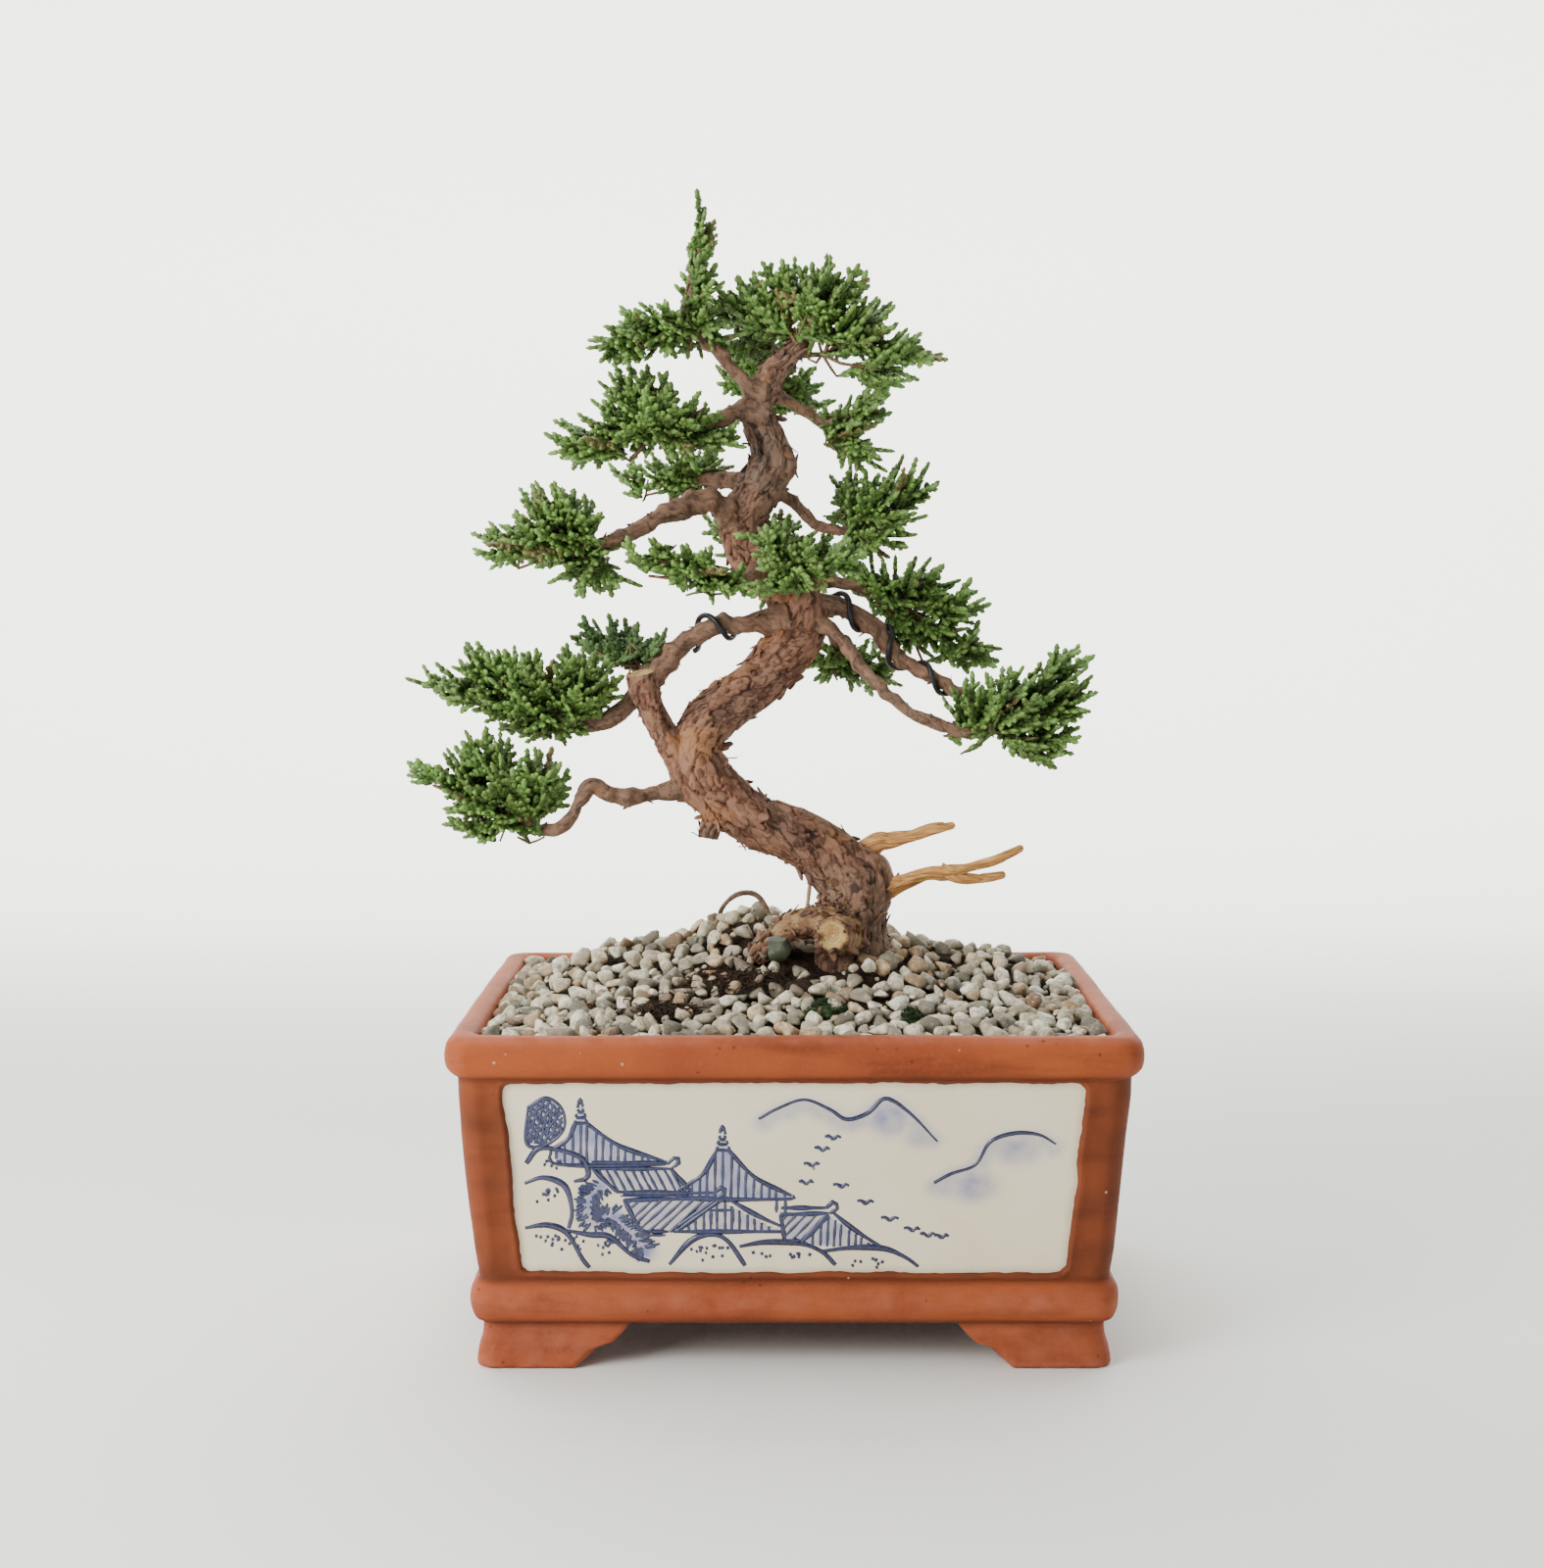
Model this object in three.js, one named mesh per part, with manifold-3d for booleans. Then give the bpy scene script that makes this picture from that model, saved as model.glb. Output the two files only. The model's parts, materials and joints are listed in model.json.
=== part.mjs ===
// A juniper bonsai in a rectangular terracotta pot with glazed panels, in millimetres, +Z up.
// Everything is laid out about the middle of the pot on the surface it stands on, and the whole
// group is moved at the end so that the middle of its bounding box's underside is the origin.
import * as THREE from "three";
import { mergeVertices } from "three/addons/utils/BufferGeometryUtils.js";
import Module from "manifold-3d";

const wasm = await Module();
wasm.setup();

// ---------------------------------------------------------------- driving dimensions
const CLEARANCE = 0.35; // gap left between two pieces that touch
const POT_HALF_WIDTH = 100;
const POT_HALF_DEPTH = 75;
const POT_HEIGHT = 98.7;
const FOOT_HEIGHT = 14.4;
const FOOT_THICKNESS = 12;
const FLOOR_TOP = 21;
const RIM_UNDERSIDE = 87.5;
const CORNER_RADIUS = 7;
const DRAIN_HOLE_RADIUS = 8;
const DRAIN_HOLE_X = 45;
const PANEL_BOTTOM = 28.3;
const PANEL_TOP = 85.2;
const PANEL_FRONT_HALF_TOP = 83.4;
const PANEL_FRONT_HALF_BOTTOM = 78.9;
const PANEL_SIDE_HALF_TOP = 58.6;
const PANEL_SIDE_HALF_BOTTOM = 54.6;
const PANEL_POCKET_DEPTH = 3;
const PANEL_THICKNESS = 1.7;
const SOIL_TOP = 86;
const GRAVEL_EDGE_HEIGHT = 97;
const GRAVEL_RING_POINTS = 36;

// The pot's outside from the underside of its floor to its rim:
// height, half width and half depth of a rounded rectangle, and its corner radius.
const POT_OUTSIDE = [
  [13.6, 91.6, 66.6, 5],
  [14.6, 93.0, 68.0, 6],
  [17.4, 94.1, 69.1, 7],
  [20.6, 94.4, 69.4, 7],
  [23.8, 93.9, 68.9, 7],
  [26.2, 91.9, 66.9, 6],
  [86.2, 96.9, 71.9, 7],
  [RIM_UNDERSIDE, 98.3, 73.3, 7],
  [89.6, 99.6, 74.6, 7],
  [93.0, POT_HALF_WIDTH, POT_HALF_DEPTH, CORNER_RADIUS],
  [96.4, 99.4, 74.4, 7],
  [98.2, 97.9, 72.9, 6],
  [POT_HEIGHT, 96.4, 71.4, 5.5],
];
// The pot's inside, from its floor to above its rim.
const POT_INSIDE = [
  [FLOOR_TOP, 83.6, 58.6, 5],
  [24.0, 85.2, 60.2, 6],
  [80.0, 89.6, 64.6, 6],
  [94.0, 91.0, 66.0, 6],
  [97.6, 92.4, 67.4, 6],
  [POT_HEIGHT + 1, 94.2, 69.2, 6],
];
// Half of the arch between two feet: distance from the middle line as a fraction of
// the gap at the floor, and height.
const FOOT_ARCH = [
  [1.0, -1],
  [1.0, 0.4],
  [0.975, 3.2],
  [0.93, 5.6],
  [0.88, 6.6],
  [0.825, 7.6],
  [0.775, 10.6],
  [0.73, FOOT_HEIGHT],
];
const ARCH_HALF_FRONT = 63.6;
const ARCH_HALF_SIDE = 43;

// Trunk: x, y, z and radius along its centre line, from inside the gravel to the top.
const TRUNK = [
  [20, 0, 94, 12.5], [19, -1, 107, 11.2], [19, -1, 116, 9.8], [19, -2, 126, 9.5],
  [18, -3, 134, 9.6], [13, -4, 140, 9.2], [6, -5, 146, 8.6], [-3, -6, 150, 8.4],
  [-12, -7, 154, 8.0], [-20, -8, 160, 8.0], [-26, -9, 166, 8.2], [-30, -9, 174, 7.8],
  [-29, -8, 180, 7.6], [-24, -6, 186, 7.8], [-17, -3, 192, 7.6], [-9, 0, 198, 7.5],
  [-3, 3, 204, 8.0], [1, 5, 210, 8.2], [2, 6, 216, 8.0], [-1, 8, 223, 7.4],
  [-7, 9, 229, 6.5], [-13, 10, 235, 6.2], [-16, 10, 243, 6.2], [-15, 9, 249, 6.4],
  [-12, 8, 254, 6.4], [-9, 7, 259, 6.4], [-7, 6, 265, 6.0], [-8, 5, 271, 5.4],
  [-10, 4, 276, 5.0], [-11, 3, 281, 4.5], [-9, 2, 286, 4.0], [-6, 1, 292, 3.5],
  [-2, 0, 296, 3.0], [2, -1, 300, 2.2], [5, -1, 305, 1.7], [7, 0, 310, 1.1],
];

// Side limbs in the same form; each starts inside the trunk or the limb that carries it.
const LIMBS = {
  root_burl: [
    [24, 0, 118, 6], [18, -8, 120, 6.6], [12, -12, 120, 6.4], [5, -12, 120, 5],
    [-3, -10, 118, 3.6], [-9, -8, 112, 2.4],
  ],
  limb_low_left: [
    [-31, -9, 164, 3], [-40, -12, 163, 2.6], [-48, -15, 162, 2.3], [-55, -18, 162, 2.2],
    [-61, -20, 165, 2.1], [-64, -21, 162, 2.1], [-68, -22, 156, 2], [-73, -22, 152, 1.7],
    [-79, -22, 153, 1.3], [-86, -22, 159, 1],
  ],
  cut_stub_left: [
    [-31, -9, 169, 5.4], [-36, -11, 179, 4.8], [-40, -12, 187, 4.2], [-43, -13, 194, 4.1],
    [-46, -13, 200, 4.3],
  ],
  limb_left: [
    [-3, 4, 216, 3.8], [-12, 1, 215, 3.2], [-19, 0, 214, 3], [-27, -1, 213, 3],
    [-33, -1, 209, 3], [-38, -1, 204, 3], [-43, -1, 198, 2.9], [-47, -1, 193, 2.7],
    [-52, -2, 188, 2.6], [-57, -4, 185, 2.4], [-63, -6, 183, 2.1], [-68, -8, 183, 1.7],
    [-74, -8, 187, 1.3], [-80, -8, 192, 1],
  ],
  limb_right_wired: [
    [4, 7, 220, 3.8], [14, 6, 220, 3.1], [20, 5, 217, 2.8], [26, 4, 213, 2.6],
    [30, 3, 208, 2.4], [34, 2, 203, 2.2], [39, 1, 200, 2.1], [45, 0, 197, 2],
    [50, 0, 194, 1.9], [55, 0, 192, 1.6], [62, 0, 191, 1.1],
  ],
  limb_right_low: [
    [4, 3, 215, 2.8], [12, -2, 213, 2.2], [16, -5, 208, 2], [20, -8, 203, 1.9],
    [25, -10, 197, 1.9], [29, -11, 193, 1.9], [35, -12, 188, 1.9], [43, -12, 184, 1.9],
    [49, -12, 182, 1.7], [55, -12, 181, 1.3], [62, -12, 184, 1],
  ],
  limb_right_upper: [
    [0, 8, 226, 3], [11, 13, 228, 2.2], [23, 16, 225, 1.7], [34, 18, 222, 1.5],
    [43, 18, 221, 1.1],
  ],
  limb_front: [
    [-3, 8, 226, 3], [0, -6, 227, 2.1], [2, -16, 229, 1.7], [3, -25, 232, 1.2],
  ],
  limb_front_left: [
    [-9, 9, 231, 2.8], [-13, -3, 229, 2.1], [-20, -13, 228, 1.7], [-31, -20, 231, 1.3],
    [-40, -21, 234, 1],
  ],
  limb_mid_left: [
    [-14, 9, 245, 4.6], [-20, 5, 250, 4.1], [-26, 2, 253, 3.7], [-34, 0, 251, 3.5],
    [-40, -2, 248, 2.8], [-47, -4, 244, 2.5], [-53, -5, 241, 2.1], [-60, -6, 239, 1.6],
    [-69, -6, 240, 1.1],
  ],
  limb_inner_left: [
    [-10, 9, 257, 3.2], [-20, 17, 260, 2.5], [-27, 23, 260, 2], [-34, 26, 260, 1.5],
    [-40, 27, 261, 1.1],
  ],
  limb_upper_left: [
    [-10, 3, 279, 3.4], [-17, -1, 280, 2.6], [-22, -5, 277, 2.3], [-31, -9, 275, 2],
    [-43, -11, 273, 1.6], [-56, -12, 271, 1.1],
  ],
  limb_crown_left: [
    [-9, 2, 286, 2.8], [-14, -3, 288, 2.1], [-18, -5, 292, 1.9], [-23, -6, 297, 1.8],
    [-28, -7, 302, 1.7], [-31, -7, 308, 1.5], [-31, -6, 315, 1.2], [-29, -5, 324, 1],
    [-28, -5, 333, 0.9],
  ],
  limb_right_high: [
    [-8, 3, 286, 2.2], [0, 7, 283, 1.6], [5, 9, 280, 1.5], [10, 10, 277, 1.3],
    [17, 10, 278, 1],
  ],
  limb_right_mid: [
    [-9, 7, 259, 3.2], [-2, 12, 254, 2.1], [4, 14, 249, 1.8], [8, 15, 245, 1.7],
    [16, 16, 244, 1.5], [26, 17, 247, 1],
  ],
  limb_back_low: [
    [2, 6, 216, 3], [10, 17, 214, 2.1], [14, 25, 209, 1.7], [17, 30, 204, 1.3],
  ],
  limb_back_mid: [
    [-7, 9, 229, 3], [-8, 24, 233, 2.3], [-6, 37, 236, 1.9], [-2, 48, 238, 1.4],
  ],
  limb_back_high: [
    [-10, 4, 276, 2.6], [-11, 16, 281, 2], [-9, 28, 286, 1.6], [-6, 37, 290, 1.1],
  ],
};
// Bare, bleached dead wood near the ground.
const DEAD_WOOD = {
  jin_upper: [
    [18, -2, 141, 4.2], [26, -3, 147, 3.2], [31, -3, 147.5, 2.3], [38, -4, 149, 1.6],
    [45, -4, 151, 1.4], [49, -4, 151.5, 0.9],
  ],
  jin_lower: [
    [18, -2, 131, 5], [28, -4, 132, 3.9], [34, -5, 135, 2.7], [42, -6, 138, 2.1],
    [48, -6, 138, 2.3], [55, -7, 139.5, 1.6], [63, -8, 141.5, 1.4], [71, -8, 145, 0.9],
  ],
  jin_fork: [
    [46, -6, 138, 1.8], [52, -6, 135.4, 1.4], [59, -5, 135, 1.2], [66, -4, 136, 0.9],
  ],
};
// Small things growing at the foot of the tree.
const SMALL_STEMS = {
  arching_root: [
    [-23, 18, 113, 1], [-23, 18, 121, 1], [-19, 17, 126, 1], [-14, 16, 127.5, 1],
    [-10, 15, 125.5, 1], [-7, 14, 119, 1], [-6, 14, 112, 1],
  ],
  grass_stem: [
    [4, 12, 114, 0.8], [5, 12, 124, 0.7], [6, 11, 133, 0.6],
  ],
};
// Cut knob under the low bend of the trunk.
const TRUNK_KNOB = [[-20, -7, 161, 4.4], [-24, -6, 154, 4], [-26, -6, 148.5, 3.4]];

// Foliage clouds: centre x, y, z, half width, half depth and half height of every lobe.
const FOLIAGE = {
  foliage_low_left: [
    [-92, -22, 164, 15, 13, 11], [-78, -20, 166, 10, 11, 10], [-100, -22, 169, 11, 10, 8],
    [-94, -20, 175, 9, 9, 7],
  ],
  foliage_left: [
    [-86, -8, 195, 16, 15, 11], [-67, -6, 196, 14, 14, 10], [-101, -8, 196, 11, 11, 7],
    [-77, -8, 185, 15, 12, 7],
  ],
  foliage_left_back: [
    [-56, 13, 208, 11, 10, 8], [-46, 11, 207, 9, 8, 6],
  ],
  foliage_right: [
    [70, -6, 189, 15, 14, 12], [83, -4, 193, 11, 11, 10], [76, -8, 180, 13, 11, 7],
    [59, -6, 190, 10, 10, 9], [86, -2, 202, 8, 7, 5],
  ],
  foliage_right_inner: [
    [17, 31, 201, 13, 11, 8], [28, 28, 198, 8, 9, 7],
  ],
  foliage_right_upper: [
    [36, 18, 226, 16, 12, 9], [51, 15, 221, 11, 11, 8], [43, 17, 212, 14, 10, 8],
    [56, 13, 206, 10, 9, 7],
  ],
  foliage_front: [
    [1, -26, 232, 12, 10, 8], [13, -24, 234, 9, 9, 6], [-6, -25, 239, 8, 8, 7],
  ],
  foliage_front_left: [
    [-32, -21, 232, 12, 10, 6], [-43, -21, 236, 9, 9, 5], [-20, -20, 227, 10, 8, 5],
  ],
  foliage_mid_left: [
    [-75, -6, 241, 15, 14, 10], [-88, -6, 239, 10, 11, 7], [-65, -6, 233, 11, 11, 9],
    [-75, -4, 250, 11, 11, 7],
  ],
  foliage_inner_left: [
    [-39, 28, 262, 12, 11, 7], [-29, 28, 264, 9, 9, 7],
  ],
  foliage_upper_left: [
    [-46, -11, 276, 16, 14, 10], [-62, -11, 270, 12, 12, 8], [-31, -10, 273, 10, 11, 9],
    [-48, -8, 286, 11, 10, 7],
  ],
  foliage_crown_left: [
    [-42, -8, 304, 14, 12, 8], [-53, -7, 300, 9, 9, 6], [-31, -6, 306, 11, 10, 8],
    [-29, -6, 318, 7, 7, 9], [-28, -5, 331, 4.6, 4.6, 13],
  ],
  foliage_crown: [
    [-12, 6, 313, 11, 12, 9], [-2, 3, 318, 9, 10, 8], [8, -3, 315, 11, 12, 10],
    [-14, 14, 305, 10, 10, 8],
  ],
  foliage_crown_right: [
    [21, -4, 305, 11, 12, 9], [31, -4, 299, 10, 10, 6], [39, -4, 297, 8, 7, 4],
    [28, -2, 292, 10, 9, 6],
  ],
  foliage_right_high: [
    [18, 11, 277, 9, 9, 7], [25, 10, 283, 7, 8, 7], [22, 11, 268, 8, 8, 6],
  ],
  foliage_right_mid: [
    [29, 18, 252, 13, 12, 10], [37, 16, 259, 9, 9, 7], [27, 17, 243, 11, 10, 7],
  ],
  foliage_back_mid: [
    [-9, 50, 241, 16, 13, 10], [9, 48, 236, 14, 12, 8], [-1, 46, 229, 13, 11, 7],
  ],
  foliage_back_high: [
    [-2, 38, 290, 12, 12, 9], [-14, 37, 295, 11, 11, 8], [-6, 27, 299, 10, 9, 7],
  ],
};

// Black training wire: the limb that it winds round, the part of the limb's length that it
// covers, its number of turns and its radius.
const WIRES = {
  training_wire_left: { limb: "limb_left", from: 0.17, to: 0.3, turns: 2.2, radius: 0.8 },
  training_wire_right: {
    limb: "limb_right_wired", from: 0.17, to: 0.8, turns: 5.2, radius: 0.8,
  },
};
// The lie of the gravel: smooth hills over the edge level, each x, y, height and breadth.
const GRAVEL_HILLS = [
  [-14, 16, 25, 32], [-58, 20, 13, 24], [30, 14, 15, 26], [64, 14, 13, 24], [6, -22, 7, 30],
  [-44, -24, 6, 26], [52, -26, 5, 26],
];

// ---------------------------------------------------------------- materials
const material = (color, roughness) =>
  new THREE.MeshStandardMaterial({ color, roughness, metalness: 0 });
const LOOKS = {
  terracotta: () => material(0xa85a3c, 0.62),
  glaze: () => material(0xe4dfd0, 0.16),
  mesh: () => material(0x2c2c2c, 0.7),
  soil: () => material(0x3b2c22, 0.95),
  gravel: () => material(0xa9a292, 0.85),
  bark: () => material(0x7a4c36, 0.9),
  deadWood: () => material(0xcba672, 0.75),
  foliage: () => material(0x2f6b24, 0.7),
  moss: () => material(0x2e5a28, 0.9),
  wire: () => material(0x1b1b1d, 0.45),
  stone: () => material(0x55605a, 0.8),
};

// ---------------------------------------------------------------- small tools
// A closed three.js geometry as a solid that can be joined and cut.
function solid(geometry) {
  const bare = new THREE.BufferGeometry();
  const whole = geometry.index ? geometry.toNonIndexed() : geometry;
  bare.setAttribute("position", whole.getAttribute("position").clone());
  const merged = mergeVertices(bare, 1e-4);
  return new wasm.Manifold(
    new wasm.Mesh({
      numProp: 3,
      vertProperties: merged.attributes.position.array,
      triVerts: new Uint32Array(merged.index.array),
    }),
  );
}

// The biggest body of a solid, so that crumbs left by a cut are dropped.
function biggest(shape) {
  const bodies = shape.decompose();
  bodies.sort((a, b) => b.volume() - a.volume());
  return bodies[0];
}

function geometryOf(shape) {
  const m = shape.getMesh();
  const points = new Float32Array(m.numVert * 3);
  for (let i = 0; i < m.numVert; i++) {
    points.set(m.vertProperties.subarray(i * m.numProp, i * m.numProp + 3), i * 3);
  }
  const geometry = new THREE.BufferGeometry();
  geometry.setAttribute("position", new THREE.BufferAttribute(points, 3));
  geometry.setIndex(new THREE.BufferAttribute(new Uint32Array(m.triVerts), 1));
  const faceted = geometry.toNonIndexed();
  faceted.computeVertexNormals();
  return faceted;
}

// A repeatable wobble between -1 and 1 from a place and a seed.
function wobble(x, y, z, seed) {
  const a = Math.sin(x * 0.61 + seed * 1.7) * Math.cos(y * 0.53 - seed * 2.3);
  const b = Math.sin(z * 0.47 + x * 0.19 + seed * 0.9);
  const c = Math.cos(y * 0.83 + z * 0.29 - seed);
  return (a + b + c) / 3;
}

// Joins rings of equally many points into a closed skin, with a flat cap at each end.
function skin(rings) {
  const count = rings[0].length;
  const points = [];
  const faces = [];
  rings.forEach((ring) => ring.forEach((p) => points.push(p[0], p[1], p[2])));
  for (let r = 0; r + 1 < rings.length; r++) {
    for (let i = 0; i < count; i++) {
      const a = r * count + i;
      const b = r * count + ((i + 1) % count);
      faces.push(a, b, b + count, a, b + count, a + count);
    }
  }
  const capAt = (ring, offset, flip) => {
    const middle = [0, 1, 2].map((k) => ring.reduce((s, p) => s + p[k], 0) / count);
    const tip = points.length / 3;
    points.push(...middle);
    for (let i = 0; i < count; i++) {
      const a = offset + i;
      const b = offset + ((i + 1) % count);
      faces.push(...(flip ? [tip, b, a] : [tip, a, b]));
    }
  };
  capAt(rings[0], 0, true);
  capAt(rings[rings.length - 1], (rings.length - 1) * count, false);
  const geometry = new THREE.BufferGeometry();
  geometry.setAttribute("position", new THREE.Float32BufferAttribute(points, 3));
  geometry.setIndex(faces);
  return geometry;
}

// Points of a rounded rectangle at height z, anticlockwise from above.
function roundedRing(z, halfWidth, halfDepth, radius, perCorner = 3) {
  const ring = [];
  const corners = [[1, -1, -90], [1, 1, 0], [-1, 1, 90], [-1, -1, 180]];
  corners.forEach(([sx, sy, start]) => {
    for (let i = 0; i <= perCorner; i++) {
      const angle = THREE.MathUtils.degToRad(start + (90 * i) / perCorner);
      ring.push([
        sx * (halfWidth - radius) + radius * Math.cos(angle),
        sy * (halfDepth - radius) + radius * Math.sin(angle),
        z,
      ]);
    }
  });
  return ring;
}

// The same outline as evenly spaced points, starting at the middle of the right side.
function evenRing(z, halfWidth, halfDepth, radius, count) {
  const corners = roundedRing(z, halfWidth, halfDepth, radius, 4);
  const path = new THREE.CurvePath();
  corners.forEach((p, i) => {
    const q = corners[(i + 1) % corners.length];
    path.add(new THREE.LineCurve3(new THREE.Vector3(...p), new THREE.Vector3(...q)));
  });
  const ring = [];
  for (let i = 0; i < count; i++) ring.push(path.getPointAt(i / count).toArray());
  return ring;
}

const stacked = (levels, perCorner) =>
  solid(skin(levels.map(([z, w, d, r]) => roundedRing(z, w, d, r, perCorner))));

// Smooth path through a route's points, with its radius at any place on it.
function pathOf(route) {
  const curve = new THREE.CatmullRomCurve3(
    route.map(([x, y, z]) => new THREE.Vector3(x, y, z)), false, "centripetal",
  );
  const radiusAt = (t) => {
    const place = Math.min(t * (route.length - 1), route.length - 1.000001);
    const i = Math.floor(place);
    return THREE.MathUtils.lerp(route[i][3], route[i + 1][3], place - i);
  };
  return { curve, radiusAt };
}

// A tapering, slightly knobbly stem along a route. grow swells it all round and at its ends.
function stem(route, { sides = 7, steps = 10, seed = 1, rough = 0.08, grow = 0 } = {}) {
  const { curve, radiusAt } = pathOf(route);
  const tangents = [];
  for (let k = 0; k <= steps; k++) tangents.push(curve.getTangent(k / steps));
  const start = Math.abs(tangents[0].x) < 0.8 ? new THREE.Vector3(1, 0, 0)
    : new THREE.Vector3(0, 1, 0);
  let across = start.addScaledVector(tangents[0], -start.dot(tangents[0])).normalize();
  const rings = [];
  for (let k = 0; k <= steps; k++) {
    const t = k / steps;
    across = across.clone().addScaledVector(tangents[k], -across.dot(tangents[k])).normalize();
    const up = new THREE.Vector3().crossVectors(tangents[k], across);
    const centre = curve.getPoint(t);
    if (k === 0) centre.addScaledVector(tangents[0], -grow);
    if (k === steps) centre.addScaledVector(tangents[k], grow);
    const ring = [];
    for (let i = 0; i < sides; i++) {
      const angle = (2 * Math.PI * i) / sides;
      const knob = 1 + rough * wobble(k * 2.1 + i * 3.7, i * 2.9, k * 1.3, seed);
      const r = radiusAt(t) * knob + grow * 1.25;
      const p = centre.clone();
      p.addScaledVector(across, r * Math.cos(angle));
      p.addScaledVector(up, r * Math.sin(angle));
      ring.push(p.toArray());
    }
    rings.push(ring);
  }
  return solid(skin(rings));
}

// A cloud of joined, uneven lobes. grow swells it all round.
function cloud(lobes, seed, grow = 0) {
  let whole = null;
  lobes.forEach(([x, y, z, rx, ry, rz], n) => {
    const ball = mergeVertices(bareBall(), 1e-4);
    const p = ball.getAttribute("position");
    for (let i = 0; i < p.count; i++) {
      const [dx, dy, dz] = [p.getX(i), p.getY(i), p.getZ(i)];
      const bump = 1 + 0.13 * wobble(dx * 5, dy * 5, dz * 5, seed + n * 3.1);
      p.setXYZ(
        i,
        x + dx * (rx * bump + grow * 1.3),
        y + dy * (ry * bump + grow * 1.3),
        z + dz * (rz * bump + grow * 1.3),
      );
    }
    const lobe = solid(ball);
    whole = whole ? whole.add(lobe) : lobe;
  });
  return whole;
}

function bareBall() {
  const ball = new THREE.SphereGeometry(1, 7, 5);
  ball.rotateX(Math.PI / 2);
  const bare = new THREE.BufferGeometry();
  bare.setAttribute("position", ball.toNonIndexed().getAttribute("position"));
  return bare;
}

// ---------------------------------------------------------------- pot
// Half width or half depth of the pot's sloping side at a height between moulding and rim.
function sideAt(z, across) {
  const [low, high] = [POT_OUTSIDE[5], POT_OUTSIDE[6]];
  return THREE.MathUtils.lerp(low[across], high[across], (z - low[0]) / (high[0] - low[0]));
}

// A slab that lies in the slope of one side of the pot, reaching from depth near to depth far
// behind the side's surface. quarter counts quarter turns from the front.
function sideSlab(quarter, near, far, inset) {
  const along = quarter % 2 === 0;
  const [top, bottom] = along
    ? [PANEL_FRONT_HALF_TOP, PANEL_FRONT_HALF_BOTTOM]
    : [PANEL_SIDE_HALF_TOP, PANEL_SIDE_HALF_BOTTOM];
  const faceAt = (z) => sideAt(z, along ? 2 : 1);
  const lean = Math.atan2(faceAt(PANEL_TOP) - faceAt(PANEL_BOTTOM), PANEL_TOP - PANEL_BOTTOM);
  const height = (PANEL_TOP - PANEL_BOTTOM) / Math.cos(lean);
  const outline = [
    [-bottom + inset, inset], [bottom - inset, inset],
    [top - inset, height - inset], [-top + inset, height - inset],
  ];
  const shape = new THREE.Shape();
  const round = 3;
  outline.forEach((corner, i) => {
    const here = new THREE.Vector2(...corner);
    const before = new THREE.Vector2(...outline[(i + 3) % 4]);
    const after = new THREE.Vector2(...outline[(i + 1) % 4]);
    const from = here.clone().add(before.sub(here).setLength(round));
    const to = here.clone().add(after.sub(here).setLength(round));
    if (i === 0) shape.moveTo(from.x, from.y);
    else shape.lineTo(from.x, from.y);
    shape.quadraticCurveTo(here.x, here.y, to.x, to.y);
  });
  shape.closePath();
  const slab = new THREE.ExtrudeGeometry(shape, {
    depth: far - near, bevelEnabled: false, curveSegments: 2,
  });
  slab.translate(0, 0, -far);
  slab.rotateX(Math.PI / 2 + lean);
  slab.translate(0, -faceAt(PANEL_BOTTOM), PANEL_BOTTOM);
  slab.rotateZ((quarter * Math.PI) / 2);
  return solid(slab);
}

// The arch cut between two feet, run right through the pot along Y or along X.
function footArch(half, alongX) {
  const shape = new THREE.Shape();
  FOOT_ARCH.forEach(([share, z], i) => {
    if (i === 0) shape.moveTo(share * half, z);
    else shape.lineTo(share * half, z);
  });
  [...FOOT_ARCH].reverse().forEach(([share, z]) => shape.lineTo(-share * half, z));
  shape.closePath();
  const cut = new THREE.ExtrudeGeometry(shape, { depth: 260, bevelEnabled: false });
  cut.translate(0, 0, -130);
  cut.rotateX(Math.PI / 2);
  if (alongX) cut.rotateZ(Math.PI / 2);
  return solid(cut);
}

function drainHole(x) {
  const hole = new THREE.CylinderGeometry(DRAIN_HOLE_RADIUS, DRAIN_HOLE_RADIUS, 40, 20);
  hole.rotateX(Math.PI / 2);
  hole.translate(x, 0, 16);
  return solid(hole);
}

function pot() {
  const feetOutside = stacked([
    [0, 91.4, 66.4, 5], [0.8, 92.4, 67.4, 6], [4, 92.2, 67.2, 6], [9, 90.9, 65.9, 6],
    [FOOT_HEIGHT + 1, 91.0, 66.0, 5],
  ]);
  const feetInside = stacked([
    [-1, 92.2 - FOOT_THICKNESS, 67.2 - FOOT_THICKNESS, 5],
    [FOOT_HEIGHT, 92.2 - FOOT_THICKNESS, 67.2 - FOOT_THICKNESS, 5],
  ]);
  const feet = feetOutside
    .subtract(feetInside)
    .subtract(footArch(ARCH_HALF_FRONT, false))
    .subtract(footArch(ARCH_HALF_SIDE, true));
  let body = stacked(POT_OUTSIDE, 3).add(feet).subtract(stacked(POT_INSIDE));
  for (let quarter = 0; quarter < 4; quarter++) {
    body = body.subtract(sideSlab(quarter, -4, PANEL_POCKET_DEPTH, 0));
  }
  [-DRAIN_HOLE_X, DRAIN_HOLE_X].forEach((x) => {
    body = body.subtract(drainHole(x));
  });
  return body;
}

// A glazed panel lying at the bottom of its pocket.
const panel = (quarter) =>
  sideSlab(
    quarter, PANEL_POCKET_DEPTH - CLEARANCE - PANEL_THICKNESS,
    PANEL_POCKET_DEPTH - CLEARANCE, CLEARANCE,
  );

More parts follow.
